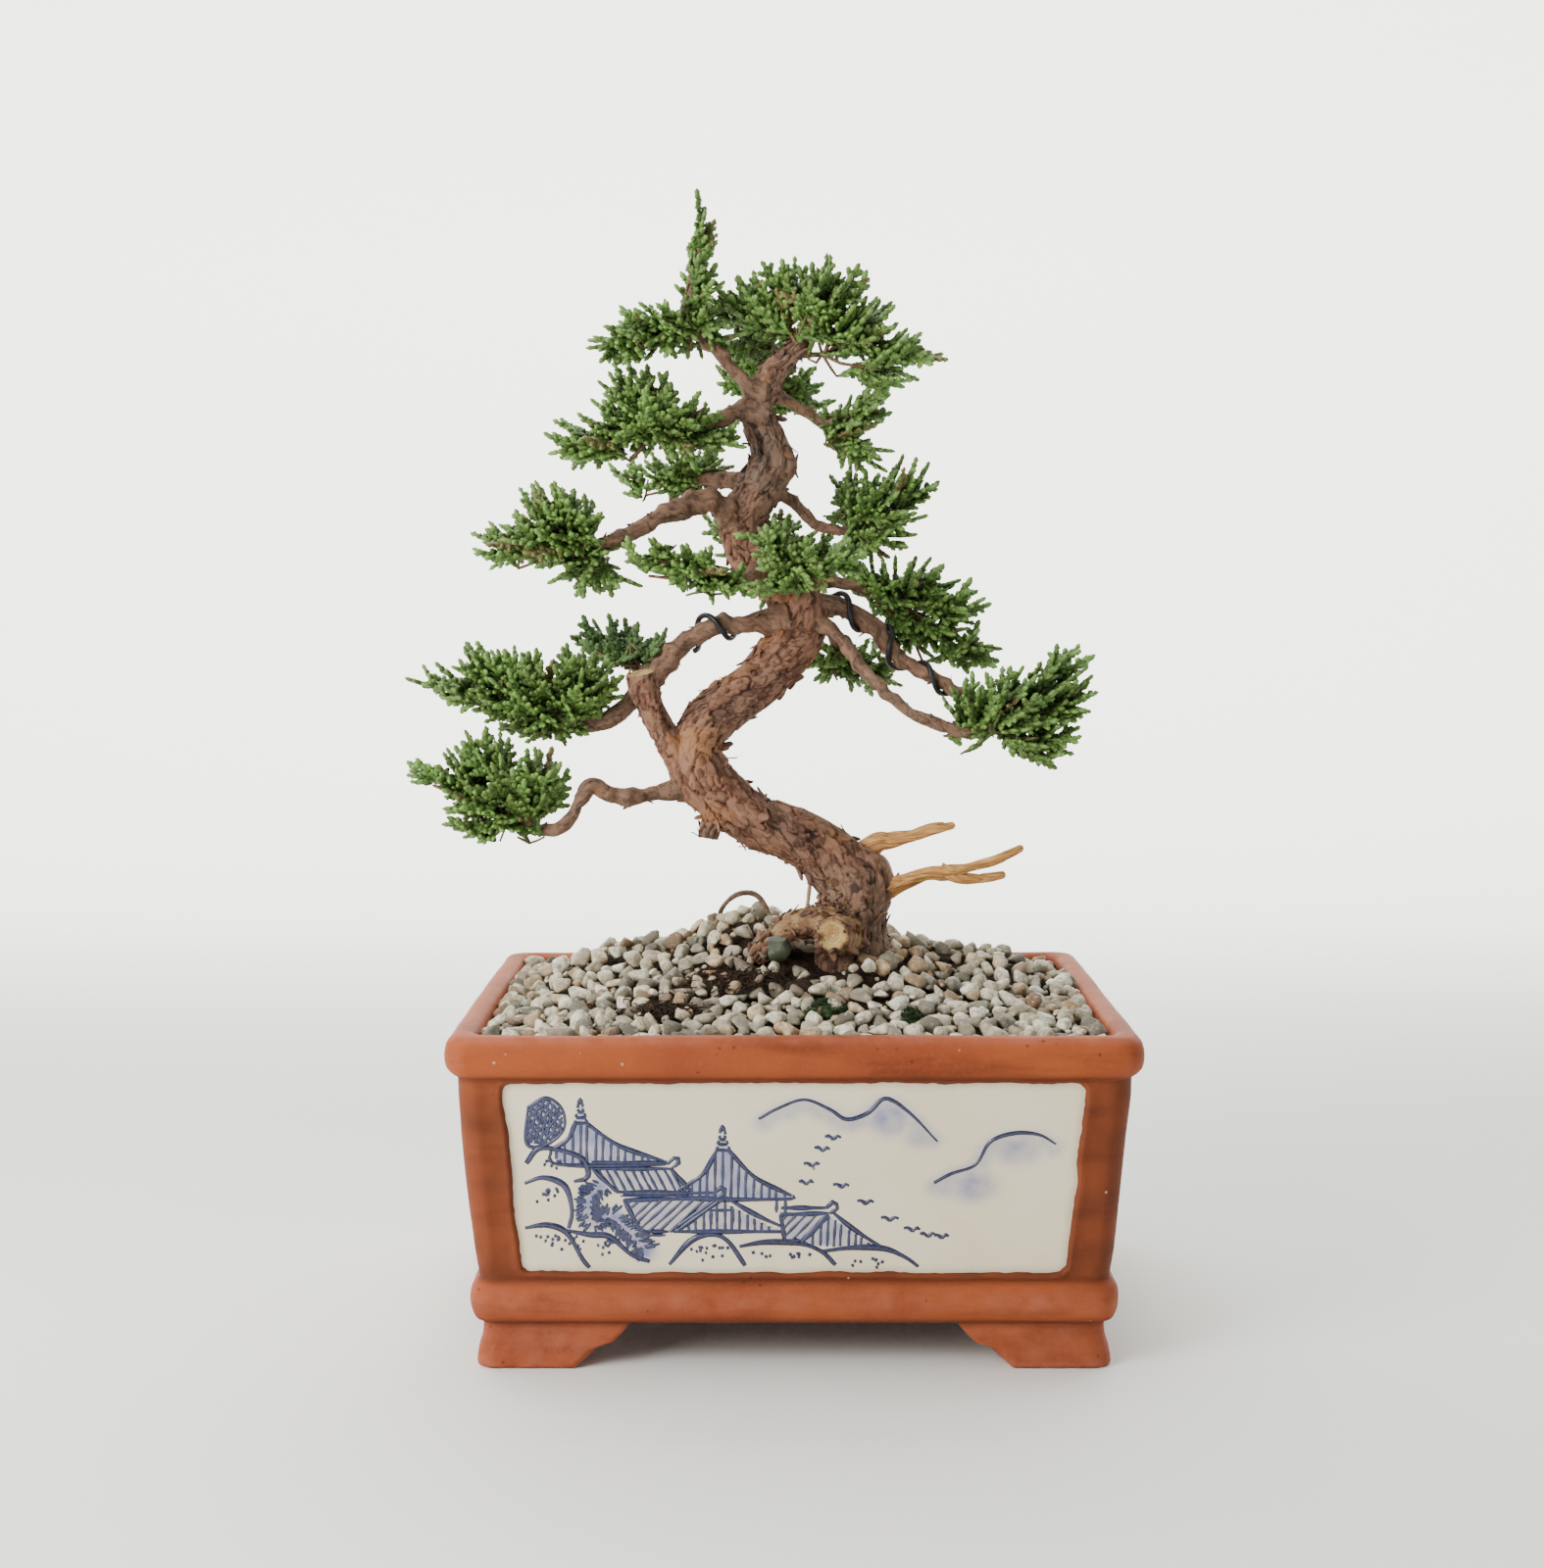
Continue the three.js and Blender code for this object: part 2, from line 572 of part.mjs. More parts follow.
function drainScreen(x) {
  const sheet = new THREE.BoxGeometry(26, 26, 1);
  sheet.translate(x, 0, FLOOR_TOP + CLEARANCE + 0.5);
  return solid(sheet);
}

// ---------------------------------------------------------------- soil and gravel
function insideAt(z) {
  const i = Math.max(1, POT_INSIDE.findIndex((level) => level[0] >= z));
  const [low, high] = [POT_INSIDE[i - 1], POT_INSIDE[i]];
  const share = (z - low[0]) / (high[0] - low[0]);
  return [1, 2, 3].map((k) => THREE.MathUtils.lerp(low[k], high[k], share));
}

const filling = (heights) =>
  stacked(
    heights.map((z) => {
      const [w, d, r] = insideAt(z);
      return [z, w - CLEARANCE, d - CLEARANCE, r];
    }),
  );

const soil = () => filling([FLOOR_TOP + CLEARANCE + 1.4, 26, 60, SOIL_TOP]);

function gravelHeight(x, y) {
  const rise = GRAVEL_HILLS.reduce(
    (sum, [hx, hy, height, breadth]) =>
      sum + height * Math.exp(-((x - hx) ** 2 + (y - hy) ** 2) / (2 * (breadth * 0.62) ** 2)),
    0,
  );
  const pebbly = 1.5 * wobble(x * 1.7, y * 1.9, x * 0.8 - y, 4);
  return GRAVEL_EDGE_HEIGHT + rise + pebbly;
}

// A mound with an uneven top, made of rings that shrink towards its middle.
function gravelMound() {
  const rings = [];
  const bottom = SOIL_TOP + CLEARANCE;
  [bottom, 92].forEach((z) => {
    const [w, d, r] = insideAt(z);
    rings.push(evenRing(z, w - CLEARANCE, d - CLEARANCE, r, GRAVEL_RING_POINTS));
  });
  const [w, d] = insideAt(92);
  [1, 0.95, 0.84, 0.71, 0.58, 0.45, 0.32, 0.2, 0.08].forEach((share) => {
    const round = THREE.MathUtils.lerp(6, 0.9 * share * d, 1.1 * (1 - share));
    const ring = evenRing(0, (w - 0.4) * share, (d - 0.4) * share, round, GRAVEL_RING_POINTS);
    const heightOf = share === 1 ? () => 95.2 : gravelHeight;
    rings.push(ring.map(([x, y]) => [x, y, heightOf(x, y)]));
  });
  return solid(skin(rings));
}

// A stone: an uneven ball.
const pebble = (x, y, z, rx, ry, rz, seed, grow = 0) =>
  cloud([[x, y, z, rx, ry, rz]], seed, grow);

const moss = {
  moss_front: (grow) =>
    cloud([[9, -41, 100.5, 7.5, 5.5, 3.6]], 31, grow),
  moss_right: (grow) => cloud([[34, -47, 99.8, 4, 3.4, 2.8]], 37, grow),
};

// ---------------------------------------------------------------- wires
function helixRoute({ limb, from, to, turns, radius }) {
  const { curve, radiusAt } = pathOf(LIMBS[limb]);
  const steps = Math.round(turns * 7);
  const route = [];
  let across = new THREE.Vector3(0, 0, 1);
  for (let k = 0; k <= steps; k++) {
    const t = from + ((to - from) * k) / steps;
    const tangent = curve.getTangent(t);
    across = across.clone().addScaledVector(tangent, -across.dot(tangent)).normalize();
    const up = new THREE.Vector3().crossVectors(tangent, across);
    const away = radiusAt(t) * 1.1 + radius + CLEARANCE;
    const angle = (2 * Math.PI * turns * k) / steps;
    const p = curve.getPoint(t);
    p.addScaledVector(across, away * Math.cos(angle));
    p.addScaledVector(up, away * Math.sin(angle));
    route.push([...p.toArray(), radius]);
  }
  return route;
}

function wire(spec, grow = 0) {
  const route = helixRoute(spec);
  return stem(route, { sides: 4, steps: route.length - 1, rough: 0, grow });
}

// ---------------------------------------------------------------- the whole part
const made = []; // name, look, solid
const grown = []; // the same pieces swollen by the clearance, for cutting what comes later

function add(name, look, shape, swollen) {
  let cut = shape;
  const box = shape.boundingBox();
  grown.forEach(({ shape: other, box: otherBox }) => {
    const apart = [0, 1, 2].some(
      (k) => box.min[k] > otherBox.max[k] || box.max[k] < otherBox.min[k],
    );
    if (!apart) cut = cut.subtract(other);
  });
  cut = biggest(cut);
  made.push({ name, look, shape: cut });
  if (swollen) grown.push({ shape: swollen, box: swollen.boundingBox() });
}

function addStem(name, look, route, options) {
  add(name, look, stem(route, options), stem(route, { ...options, grow: CLEARANCE }));
}

// Wood first, since everything that grows on it or lies round it is cut to make room.
const trunkShape = (grow) => {
  const limb = { sides: 11, steps: 36, seed: 3, rough: 0.1, grow };
  const knob = { sides: 7, steps: 3, seed: 5, rough: 0.1, grow };
  return stem(TRUNK, limb).add(stem(TRUNK_KNOB, knob));
};
add("trunk", "bark", trunkShape(0), trunkShape(CLEARANCE));
Object.entries(LIMBS).forEach(([name, route], n) => {
  const thick = name === "root_burl" || name === "cut_stub_left";
  const steps = thick ? 6 : Math.max(6, route.length);
  addStem(name, "bark", route, { sides: thick ? 8 : 6, steps, seed: 11 + n, rough: 0.1 });
});
Object.entries(DEAD_WOOD).forEach(([name, route], n) => {
  addStem(name, "deadWood", route, { sides: 6, steps: 7, seed: 41 + n, rough: 0.16 });
});
Object.entries(WIRES).forEach(([name, spec]) => {
  add(name, "wire", wire(spec), wire(spec, CLEARANCE));
});
Object.entries(FOLIAGE).forEach(([name, lobes], n) => {
  add(name, "foliage", cloud(lobes, 51 + n), cloud(lobes, 51 + n, CLEARANCE));
});
Object.entries(SMALL_STEMS).forEach(([name, route], n) => {
  addStem(name, "bark", route, { sides: 5, steps: 7, seed: 81 + n, rough: 0.05 });
});
add(
  "dark_stone", "stone", pebble(-4, -21, 116.5, 5.4, 4.4, 4, 91),
  pebble(-4, -21, 116.5, 5.4, 4.4, 4, 91, CLEARANCE),
);
Object.entries(moss).forEach(([name, shape]) => {
  add(name, "moss", shape(0), shape(CLEARANCE));
});
add("gravel", "gravel", gravelMound(), null);
add("soil", "soil", soil(), null);
add("pot", "terracotta", pot(), null);
["front", "right", "back", "left"].forEach((side, quarter) => {
  add("panel_" + side, "glaze", panel(quarter), null);
});
add("drain_screen_left", "mesh", drainScreen(-DRAIN_HOLE_X), null);
add("drain_screen_right", "mesh", drainScreen(DRAIN_HOLE_X), null);

const group = new THREE.Group();
group.name = "bonsai_in_pot";
const whole = new THREE.Box3();
made.forEach(({ name, look, shape }) => {
  const mesh = new THREE.Mesh(geometryOf(shape), LOOKS[look]());
  mesh.name = name;
  mesh.geometry.computeBoundingBox();
  whole.union(mesh.geometry.boundingBox);
  group.add(mesh);
});
const middle = whole.getCenter(new THREE.Vector3());
group.children.forEach((mesh) => {
  mesh.geometry.translate(-middle.x, -middle.y, -whole.min.z);
});

export default group;
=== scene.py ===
"""A potted juniper bonsai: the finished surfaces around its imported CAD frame.

The file is laid out as a Blender add-on and is run as a script. Places on the object are in
millimetres from the middle of the pot's underside, and become metres when a mesh is made. Most
of the tree's places repeat points of the CAD source. The lights and the floor are in metres.
"""

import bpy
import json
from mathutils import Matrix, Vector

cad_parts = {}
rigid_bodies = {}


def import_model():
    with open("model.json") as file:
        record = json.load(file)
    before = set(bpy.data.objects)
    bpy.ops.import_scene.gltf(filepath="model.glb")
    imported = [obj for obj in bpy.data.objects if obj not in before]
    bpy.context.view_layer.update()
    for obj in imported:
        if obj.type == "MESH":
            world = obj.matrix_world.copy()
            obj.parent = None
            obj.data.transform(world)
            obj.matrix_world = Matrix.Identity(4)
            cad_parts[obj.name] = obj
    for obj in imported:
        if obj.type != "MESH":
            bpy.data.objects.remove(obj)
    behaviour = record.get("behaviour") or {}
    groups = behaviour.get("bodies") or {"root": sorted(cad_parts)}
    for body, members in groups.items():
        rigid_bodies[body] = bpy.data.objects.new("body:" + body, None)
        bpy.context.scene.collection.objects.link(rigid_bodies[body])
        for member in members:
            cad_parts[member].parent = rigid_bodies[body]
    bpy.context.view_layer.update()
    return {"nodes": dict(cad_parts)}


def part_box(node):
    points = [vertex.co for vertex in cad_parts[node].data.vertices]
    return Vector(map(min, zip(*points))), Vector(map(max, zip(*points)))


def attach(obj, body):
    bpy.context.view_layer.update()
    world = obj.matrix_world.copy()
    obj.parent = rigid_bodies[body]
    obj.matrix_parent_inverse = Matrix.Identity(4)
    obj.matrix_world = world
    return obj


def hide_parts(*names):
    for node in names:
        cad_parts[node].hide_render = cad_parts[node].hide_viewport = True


bl_info = {
    "name": "Bonsai in a Pot",
    "version": (1, 0, 0),
    "blender": (4, 5, 0),
    "location": "3D View > Sidebar > Bonsai",
    "description": "Builds the bark, foliage, pot, panels and gravel of a small potted juniper",
    "category": "Add Mesh",
}

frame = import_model()

import itertools
import json
import math
import random

import bmesh
import bpy
import numpy as np
from mathutils import Matrix, Vector

MM = 0.001
POT_LOW, POT_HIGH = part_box("pot")
POT_CENTRE = np.array([(POT_LOW.x + POT_HIGH.x) / 2, (POT_LOW.y + POT_HIGH.y) / 2, POT_LOW.z]) / MM
CAMERA_LENS = 49.76
CAMERA_PLACE = np.array([-6.39, -677.76, 225.87])
CAMERA_DIP = 5.196
LIGHTS_AIM = Vector((0, 0, 0.17))
FLOOR_HALF_WIDTH = 3.5
FLOOR_FRONT = -3.0
FLOOR_BEND_START = 0.75
FLOOR_BEND_RADIUS = 0.5
BACKDROP_HEIGHT = 3.2

# ---------------------------------------------------------------- the tree's own places, in mm
TRUNK = [
    (20, 0, 94, 12.5), (19, -1, 107, 11.2), (19, -1, 116, 9.8), (19, -2, 126, 9.5),
    (18, -3, 134, 9.6), (13, -4, 140, 9.2), (6, -5, 146, 8.6), (-3, -6, 150, 8.4),
    (-12, -7, 154, 8.0), (-20, -8, 160, 8.0), (-26, -9, 166, 8.2), (-30, -9, 174, 7.8),
    (-29, -8, 180, 7.6), (-24, -6, 186, 7.8), (-17, -3, 192, 7.6), (-9, 0, 198, 7.5),
    (-3, 3, 204, 8.0), (1, 5, 210, 8.2), (2, 6, 216, 8.0), (-1, 8, 223, 7.4),
    (-7, 9, 229, 6.5), (-13, 10, 235, 6.2), (-16, 10, 243, 6.2), (-15, 9, 249, 6.4),
    (-12, 8, 254, 6.4), (-9, 7, 259, 6.4), (-7, 6, 265, 6.0), (-8, 5, 271, 5.4),
    (-10, 4, 276, 5.0), (-11, 3, 281, 4.5), (-9, 2, 286, 4.0), (-6, 1, 292, 3.5),
    (-2, 0, 296, 3.0), (2, -1, 300, 2.2), (5, -1, 305, 1.7), (7, 0, 310, 1.1),
]
LIMBS = {
    "limb_low_left": [
        (-31, -9, 164, 3), (-40, -12, 163, 2.6), (-48, -15, 162, 2.3), (-55, -18, 162, 2.2),
        (-61, -20, 165, 2.1), (-64, -21, 162, 2.1), (-68, -22, 156, 2), (-73, -22, 152, 1.7),
        (-79, -22, 153, 1.3), (-86, -22, 159, 1),
    ],
    "limb_left": [
        (-3, 4, 216, 3.8), (-12, 1, 215, 3.2), (-19, 0, 214, 3), (-27, -1, 213, 3),
        (-33, -1, 209, 3), (-38, -1, 204, 3), (-43, -1, 198, 2.9), (-47, -1, 193, 2.7),
        (-52, -2, 188, 2.6), (-57, -4, 185, 2.4), (-63, -6, 183, 2.1), (-68, -8, 183, 1.7),
        (-74, -8, 187, 1.3), (-80, -8, 192, 1),
    ],
    "limb_right_wired": [
        (4, 7, 220, 3.8), (14, 6, 220, 3.1), (20, 5, 217, 2.8), (26, 4, 213, 2.6),
        (30, 3, 208, 2.4), (34, 2, 203, 2.2), (39, 1, 200, 2.1), (45, 0, 197, 2),
        (50, 0, 194, 1.9), (55, 0, 192, 1.6), (62, 0, 191, 1.1),
    ],
    "limb_right_low": [
        (4, 3, 215, 2.8), (12, -2, 213, 2.2), (16, -5, 208, 2), (20, -8, 203, 1.9),
        (25, -10, 197, 1.9), (29, -11, 193, 1.9), (35, -12, 188, 1.9), (43, -12, 184, 1.9),
        (49, -12, 182, 1.7), (55, -12, 181, 1.3), (62, -12, 184, 1),
    ],
    "limb_right_upper": [
        (0, 8, 226, 3), (11, 13, 228, 2.2), (23, 16, 225, 1.7), (34, 18, 222, 1.5),
        (43, 18, 221, 1.1),
    ],
    "limb_front": [(-3, 8, 226, 3), (0, -6, 227, 2.1), (2, -16, 229, 1.7), (3, -25, 232, 1.2)],
    "limb_front_left": [
        (-9, 9, 231, 2.8), (-13, -3, 229, 2.1), (-20, -13, 228, 1.7), (-31, -20, 231, 1.3),
        (-40, -21, 234, 1),
    ],
    "limb_mid_left": [
        (-14, 9, 245, 4.6), (-20, 5, 250, 4.1), (-26, 2, 253, 3.7), (-34, 0, 251, 3.5),
        (-40, -2, 248, 2.8), (-47, -4, 244, 2.5), (-53, -5, 241, 2.1), (-60, -6, 239, 1.6),
        (-69, -6, 240, 1.1),
    ],
    "limb_inner_left": [
        (-10, 9, 257, 3.2), (-20, 17, 260, 2.5), (-27, 23, 260, 2), (-34, 26, 260, 1.5),
        (-40, 27, 261, 1.1),
    ],
    "limb_upper_left": [
        (-10, 3, 279, 3.4), (-17, -1, 280, 2.6), (-22, -5, 277, 2.3), (-31, -9, 275, 2),
        (-43, -11, 273, 1.6), (-56, -12, 271, 1.1),
    ],
    "limb_crown_left": [
        (-9, 2, 286, 2.8), (-14, -3, 288, 2.1), (-18, -5, 292, 1.9), (-23, -6, 297, 1.8),
        (-28, -7, 302, 1.7), (-31, -7, 308, 1.5), (-31, -6, 315, 1.2), (-29, -5, 324, 1),
        (-28, -5, 333, 0.9),
    ],
    "limb_right_high": [
        (-8, 3, 286, 2.2), (0, 7, 283, 1.6), (5, 9, 280, 1.5), (10, 10, 277, 1.3),
        (17, 10, 278, 1),
    ],
    "limb_right_mid": [
        (-9, 7, 259, 3.2), (-2, 12, 254, 2.1), (4, 14, 249, 1.8), (8, 15, 245, 1.7),
        (16, 16, 244, 1.5), (26, 17, 247, 1),
    ],
    "limb_back_low": [(2, 6, 216, 3), (10, 17, 214, 2.1), (14, 25, 209, 1.7), (17, 30, 204, 1.3)],
    "limb_back_mid": [
        (-7, 9, 229, 3), (-8, 24, 233, 2.3), (-6, 37, 236, 1.9), (-2, 48, 238, 1.4),
    ],
    "limb_back_high": [
        (-10, 4, 276, 2.6), (-11, 16, 281, 2), (-9, 28, 286, 1.6), (-6, 37, 290, 1.1),
    ],
}
CUT_LIMBS = {
    "cut_stub_left": [
        (-32, -9, 168, 5.6), (-37, -11, 177, 4.6), (-41.5, -12, 184, 4.1), (-44.5, -13, 190.5, 4.0),
        (-46, -13.6, 195.5, 4.6), (-46.6, -14.3, 199.5, 4.2),
    ],
    "trunk_knob": [
        (-20, -7, 161, 4.4), (-24, -6.4, 155.5, 3.3), (-25.6, -6.8, 151.5, 3.2), (-26.2, -7.2, 148, 3.0),
    ],
}
BURL_ROOT = [
    (-12, -8, 110, 2.0), (-7, -9, 116, 3.0), (-1, -11, 120.5, 3.8), (5, -12, 122, 4.6),
    (11, -11, 121, 5.6), (18, -7, 119, 6),
]
BURL_FACE = [(19, -2, 117, 7.0), (16, -9, 118, 7.0), (13.6, -16, 119, 6.4), (12.2, -20, 119.4, 4.9)]
DEAD_WOOD = {
    "jin_upper": [
        (18, -2, 139, 3.4), (26, -3, 145.6, 2.9), (30.5, -3, 146.8, 2.3), (38, -4, 148.6, 1.6),
        (45, -4, 150.8, 1.5), (50, -4, 151.6, 1.0),
    ],
    "jin_lower": [
        (18, -2, 129, 4.4), (28, -4, 131, 3.6), (34, -5, 133.6, 2.6), (42, -6, 136.6, 2.1),
        (48, -6, 137, 2.4), (55, -7, 138.8, 1.6), (63, -8, 141.2, 1.4), (71, -8, 145, 0.9),
    ],
    "jin_fork": [
        (46, -6, 138, 1.8), (52, -6, 135.4, 1.4), (59, -5, 135, 1.2), (66, -4, 136, 0.9),
    ],
}
SMALL_STEMS = {
    "arching_root": [
        (-23, 18, 113, 0.8), (-23, 18, 121, 0.8), (-19, 17, 126, 0.8), (-14, 16, 127.5, 0.9),
        (-10, 15, 125.5, 0.9), (-7, 14, 119, 0.9), (-6, 14, 112, 0.9),
    ],
    "grass_stem": [(4, 12, 114, 0.8), (5, 12, 124, 0.7), (6, 11, 133, 0.6)],
}
# Foliage lobes: centre, half width, half depth, half height; then where the pad's twigs start.
FOLIAGE = {
    "foliage_low_left": ([
        (-92, -22, 164, 15, 13, 11), (-78, -20, 166, 10, 11, 10), (-100, -22, 169, 11, 10, 8),
        (-94, -20, 175, 9, 9, 7)], "limb_low_left", 0.82),
    "foliage_left": ([
        (-86, -8, 195, 16, 15, 11), (-67, -6, 196, 14, 14, 10), (-101, -8, 196, 11, 11, 7),
        (-77, -8, 185, 15, 12, 7)], "limb_left", 0.85),
    "foliage_left_back": ([
        (-56, 13, 208, 11, 10, 8), (-46, 11, 207, 9, 8, 6)], "limb_left", 0.5),
    "foliage_right": ([
        (70, -6, 189, 15, 14, 12), (83, -4, 193, 11, 11, 10), (76, -8, 180, 13, 11, 7),
        (59, -6, 190, 10, 10, 9), (86, -2, 202, 8, 7, 5)], "limb_right_low", 0.88),
    "foliage_right_inner": ([
        (17, 31, 201, 13, 11, 8), (28, 28, 198, 8, 9, 7)], "limb_back_low", 0.85),
    "foliage_right_upper": ([
        (36, 18, 226, 16, 12, 9), (51, 15, 221, 11, 11, 8), (43, 17, 212, 14, 10, 8),
        (56, 13, 206, 10, 9, 7)], "limb_right_upper", 0.7),
    "foliage_front": ([
        (1, -26, 232, 12, 10, 8), (13, -24, 234, 9, 9, 6), (-6, -25, 239, 8, 8, 7)],
        "limb_front", 0.8),
    "foliage_front_left": ([
        (-32, -21, 232, 12, 10, 6), (-43, -21, 236, 9, 9, 5), (-20, -20, 227, 10, 8, 5)],
        "limb_front_left", 0.7),
    "foliage_mid_left": ([
        (-75, -6, 241, 15, 14, 10), (-88, -6, 239, 10, 11, 7), (-65, -6, 233, 11, 11, 9),
        (-75, -4, 250, 11, 11, 7)], "limb_mid_left", 0.85),
    "foliage_inner_left": ([
        (-39, 28, 262, 12, 11, 7), (-29, 28, 264, 9, 9, 7)], "limb_inner_left", 0.75),
    "foliage_upper_left": ([
        (-46, -11, 276, 16, 14, 10), (-62, -11, 270, 12, 12, 8), (-31, -10, 273, 10, 11, 9),
        (-48, -8, 286, 11, 10, 7)], "limb_upper_left", 0.6),
    "foliage_crown_left": ([
        (-42, -8, 304, 14, 12, 8), (-53, -7, 300, 9, 9, 6), (-31, -6, 306, 11, 10, 8),
        (-29, -6, 318, 7, 7, 9), (-28, -5, 331, 4.6, 4.6, 13)], "limb_crown_left", 0.6),
    "foliage_crown": ([
        (-12, 6, 313, 11, 12, 9), (-2, 3, 318, 9, 10, 8), (8, -3, 315, 11, 12, 10),
        (-14, 14, 305, 10, 10, 8)], "trunk", 0.96),
    "foliage_crown_right": ([
        (21, -4, 305, 11, 12, 9), (31, -4, 299, 10, 10, 6), (39, -4, 297, 8, 7, 4),
        (28, -2, 292, 10, 9, 6)], "trunk", 0.93),
    "foliage_right_high": ([
        (18, 11, 277, 9, 9, 7), (25, 10, 283, 7, 8, 7), (22, 11, 268, 8, 8, 6)],
        "limb_right_high", 0.8),
    "foliage_right_mid": ([
        (29, 18, 252, 13, 12, 10), (37, 16, 259, 9, 9, 7), (27, 17, 243, 11, 10, 7)],
        "limb_right_mid", 0.8),
    "foliage_back_mid": ([
        (-9, 50, 241, 16, 13, 10), (9, 48, 236, 14, 12, 8), (-1, 46, 229, 13, 11, 7)],
        "limb_back_mid", 0.8),
    "foliage_back_high": ([
        (-2, 38, 290, 12, 12, 9), (-14, 37, 295, 11, 11, 8), (-6, 27, 299, 10, 9, 7)],
        "limb_back_high", 0.8),
}
# Training wire: the limb, the share of its length that is wound, the turns, the wire's radius.
WIRES = {
    "training_wire_left": ("limb_left", 0.15, 0.34, 1.3, 0.9),
    "training_wire_right": ("limb_right_wired", 0.1, 0.84, 3.0, 0.9),
}
GRAVEL_HILLS = [
    (-14, 16, 24, 32), (-58, 20, 11, 24), (30, 14, 14, 26), (64, 14, 10.5, 24), (6, -22, 7, 30),
    (-44, -24, 6, 26), (52, -26, 5, 26), (23, -15, 5.5, 13), (34, -4, 2.5, 12),
]
# Where the gravel is thin and soil shows: the middle and the half widths.
BARE_PATCHES = [(-19, -21, 14, 8), (-37, -41, 11, 5), (2, -27, 7, 4)]
GRAVEL_EDGE_HEIGHT = 97
# What grows or stands in the gravel and keeps stones away: x, y and radius.
STANDING_THINGS = [
    (19, -1, 11.5), (12, -13, 8.5), (0, -10, 4.5), (-23, 18, 1.5), (-6, 14, 1.5), (-4, -21, 4.5),
]
BED_HALF_WIDTH = 91.4
BED_HALF_DEPTH = 66.4
PEBBLE_KINDS = 8

# ---------------------------------------------------------------- the pot's own places, in mm
# Outside profile: height, half width, half depth and corner radius.
POT_OUTSIDE = [
    (13.6, 91.6, 66.6, 5), (14.6, 93.0, 68.0, 6), (17.4, 94.1, 69.1, 7), (20.6, 94.4, 69.4, 7),
    (23.8, 93.9, 68.9, 7), (26.2, 91.9, 66.9, 6), (86.2, 96.9, 71.9, 7), (87.5, 98.3, 73.3, 7),
    (89.6, 99.6, 74.6, 7), (93.0, 100, 75, 7), (96.4, 99.4, 74.4, 7), (98.2, 97.9, 72.9, 6),
    (98.7, 96.4, 71.4, 5.5),
]
POT_INSIDE = [
    (98.7, 94.4, 69.4, 6), (97.6, 92.4, 67.4, 6), (94.0, 91.0, 66.0, 6), (80.0, 89.6, 64.6, 6),
    (24.0, 85.2, 60.2, 6), (21.0, 83.6, 58.6, 5),
]
FOOT_HEIGHT = 14.4
FOOT_THICKNESS = 12
FOOT_ARCH = [
    (1.0, -1), (1.0, 0.4), (0.975, 3.2), (0.93, 5.6), (0.88, 6.6), (0.825, 7.6), (0.775, 10.6),
    (0.73, FOOT_HEIGHT),
]
ARCH_HALF_FRONT = 63.6
ARCH_HALF_SIDE = 43
DRAIN_HOLE_RADIUS = 8
DRAIN_HOLE_X = 45
PANEL_BOTTOM = 28.3
PANEL_TOP = 85.2
PANEL_HALF_FRONT = (78.9, 83.4)  # at its bottom and at its top
PANEL_HALF_SIDE = (54.6, 58.6)
PANEL_POCKET = 2.6
SIDES = ("front", "right", "back", "left")


# ---------------------------------------------------------------- numbers
def smooth_step(low, high, value):
    share = np.clip((value - low) / (high - low), 0, 1)
    return share * share * (3 - 2 * share)


def cell_hash(cell, seed):
    """An even random number from 0 to 1 for each row of whole numbers."""
    mixed = cell[:, 0] * 374761393 + cell[:, 1] * 668265263 + cell[:, 2] * 1103515245
    mixed = (mixed + seed * 974711) & 0xFFFFFFFF
    mixed = ((mixed ^ (mixed >> 13)) * 1274126177) & 0xFFFFFFFF
    mixed = ((mixed ^ (mixed >> 15)) * 2246822519) & 0xFFFFFFFF
    return ((mixed ^ (mixed >> 16)) & 0xFFFFFF) / 0xFFFFFF


def value_noise(points, seed=0):
    """Smooth noise from -1 to 1, one number for each point."""
    base = np.floor(points).astype(np.int64)
    part = points - base
    part = part * part * (3 - 2 * part)
    total = np.zeros(len(points))
    for corner in itertools.product((0, 1), repeat=3):
        weight = np.ones(len(points))
        for axis in range(3):
            weight *= part[:, axis] if corner[axis] else 1 - part[:, axis]
        total += weight * cell_hash(base + np.array(corner), seed)
    return total * 2 - 1


def fractal_noise(points, seed=0, octaves=3, roughness=0.5):
    total = np.zeros(len(points))
    weight, scale, whole = 1.0, 1.0, 0.0
    for octave in range(octaves):
        total += weight * value_noise(points * scale + 17.3 * octave, seed + octave)
        whole += weight
        weight *= roughness
        scale *= 2.03
    return total / whole


def cell_noise(points, seed=0):
    """Distance to the nearest cell edge, and each cell's own random number."""
    base = np.floor(points).astype(np.int64)
    first = np.full(len(points), 9.0)
    second = np.full(len(points), 9.0)
    own = np.zeros(len(points))
    for step in itertools.product((-1, 0, 1), repeat=3):
        cell = base + np.array(step)
        jitter = np.stack([cell_hash(cell, seed + axis) for axis in range(3)], 1)
        distance = np.linalg.norm(cell + jitter - points, axis=1)
        nearer = distance < first
        second = np.where(nearer, first, np.minimum(second, distance))
        own = np.where(nearer, cell_hash(cell, seed + 7), own)
        first = np.where(nearer, distance, first)
    return second - first, own


def unit(vectors):
    length = np.linalg.norm(vectors, axis=-1, keepdims=True)
    return vectors / np.maximum(length, 1e-9)


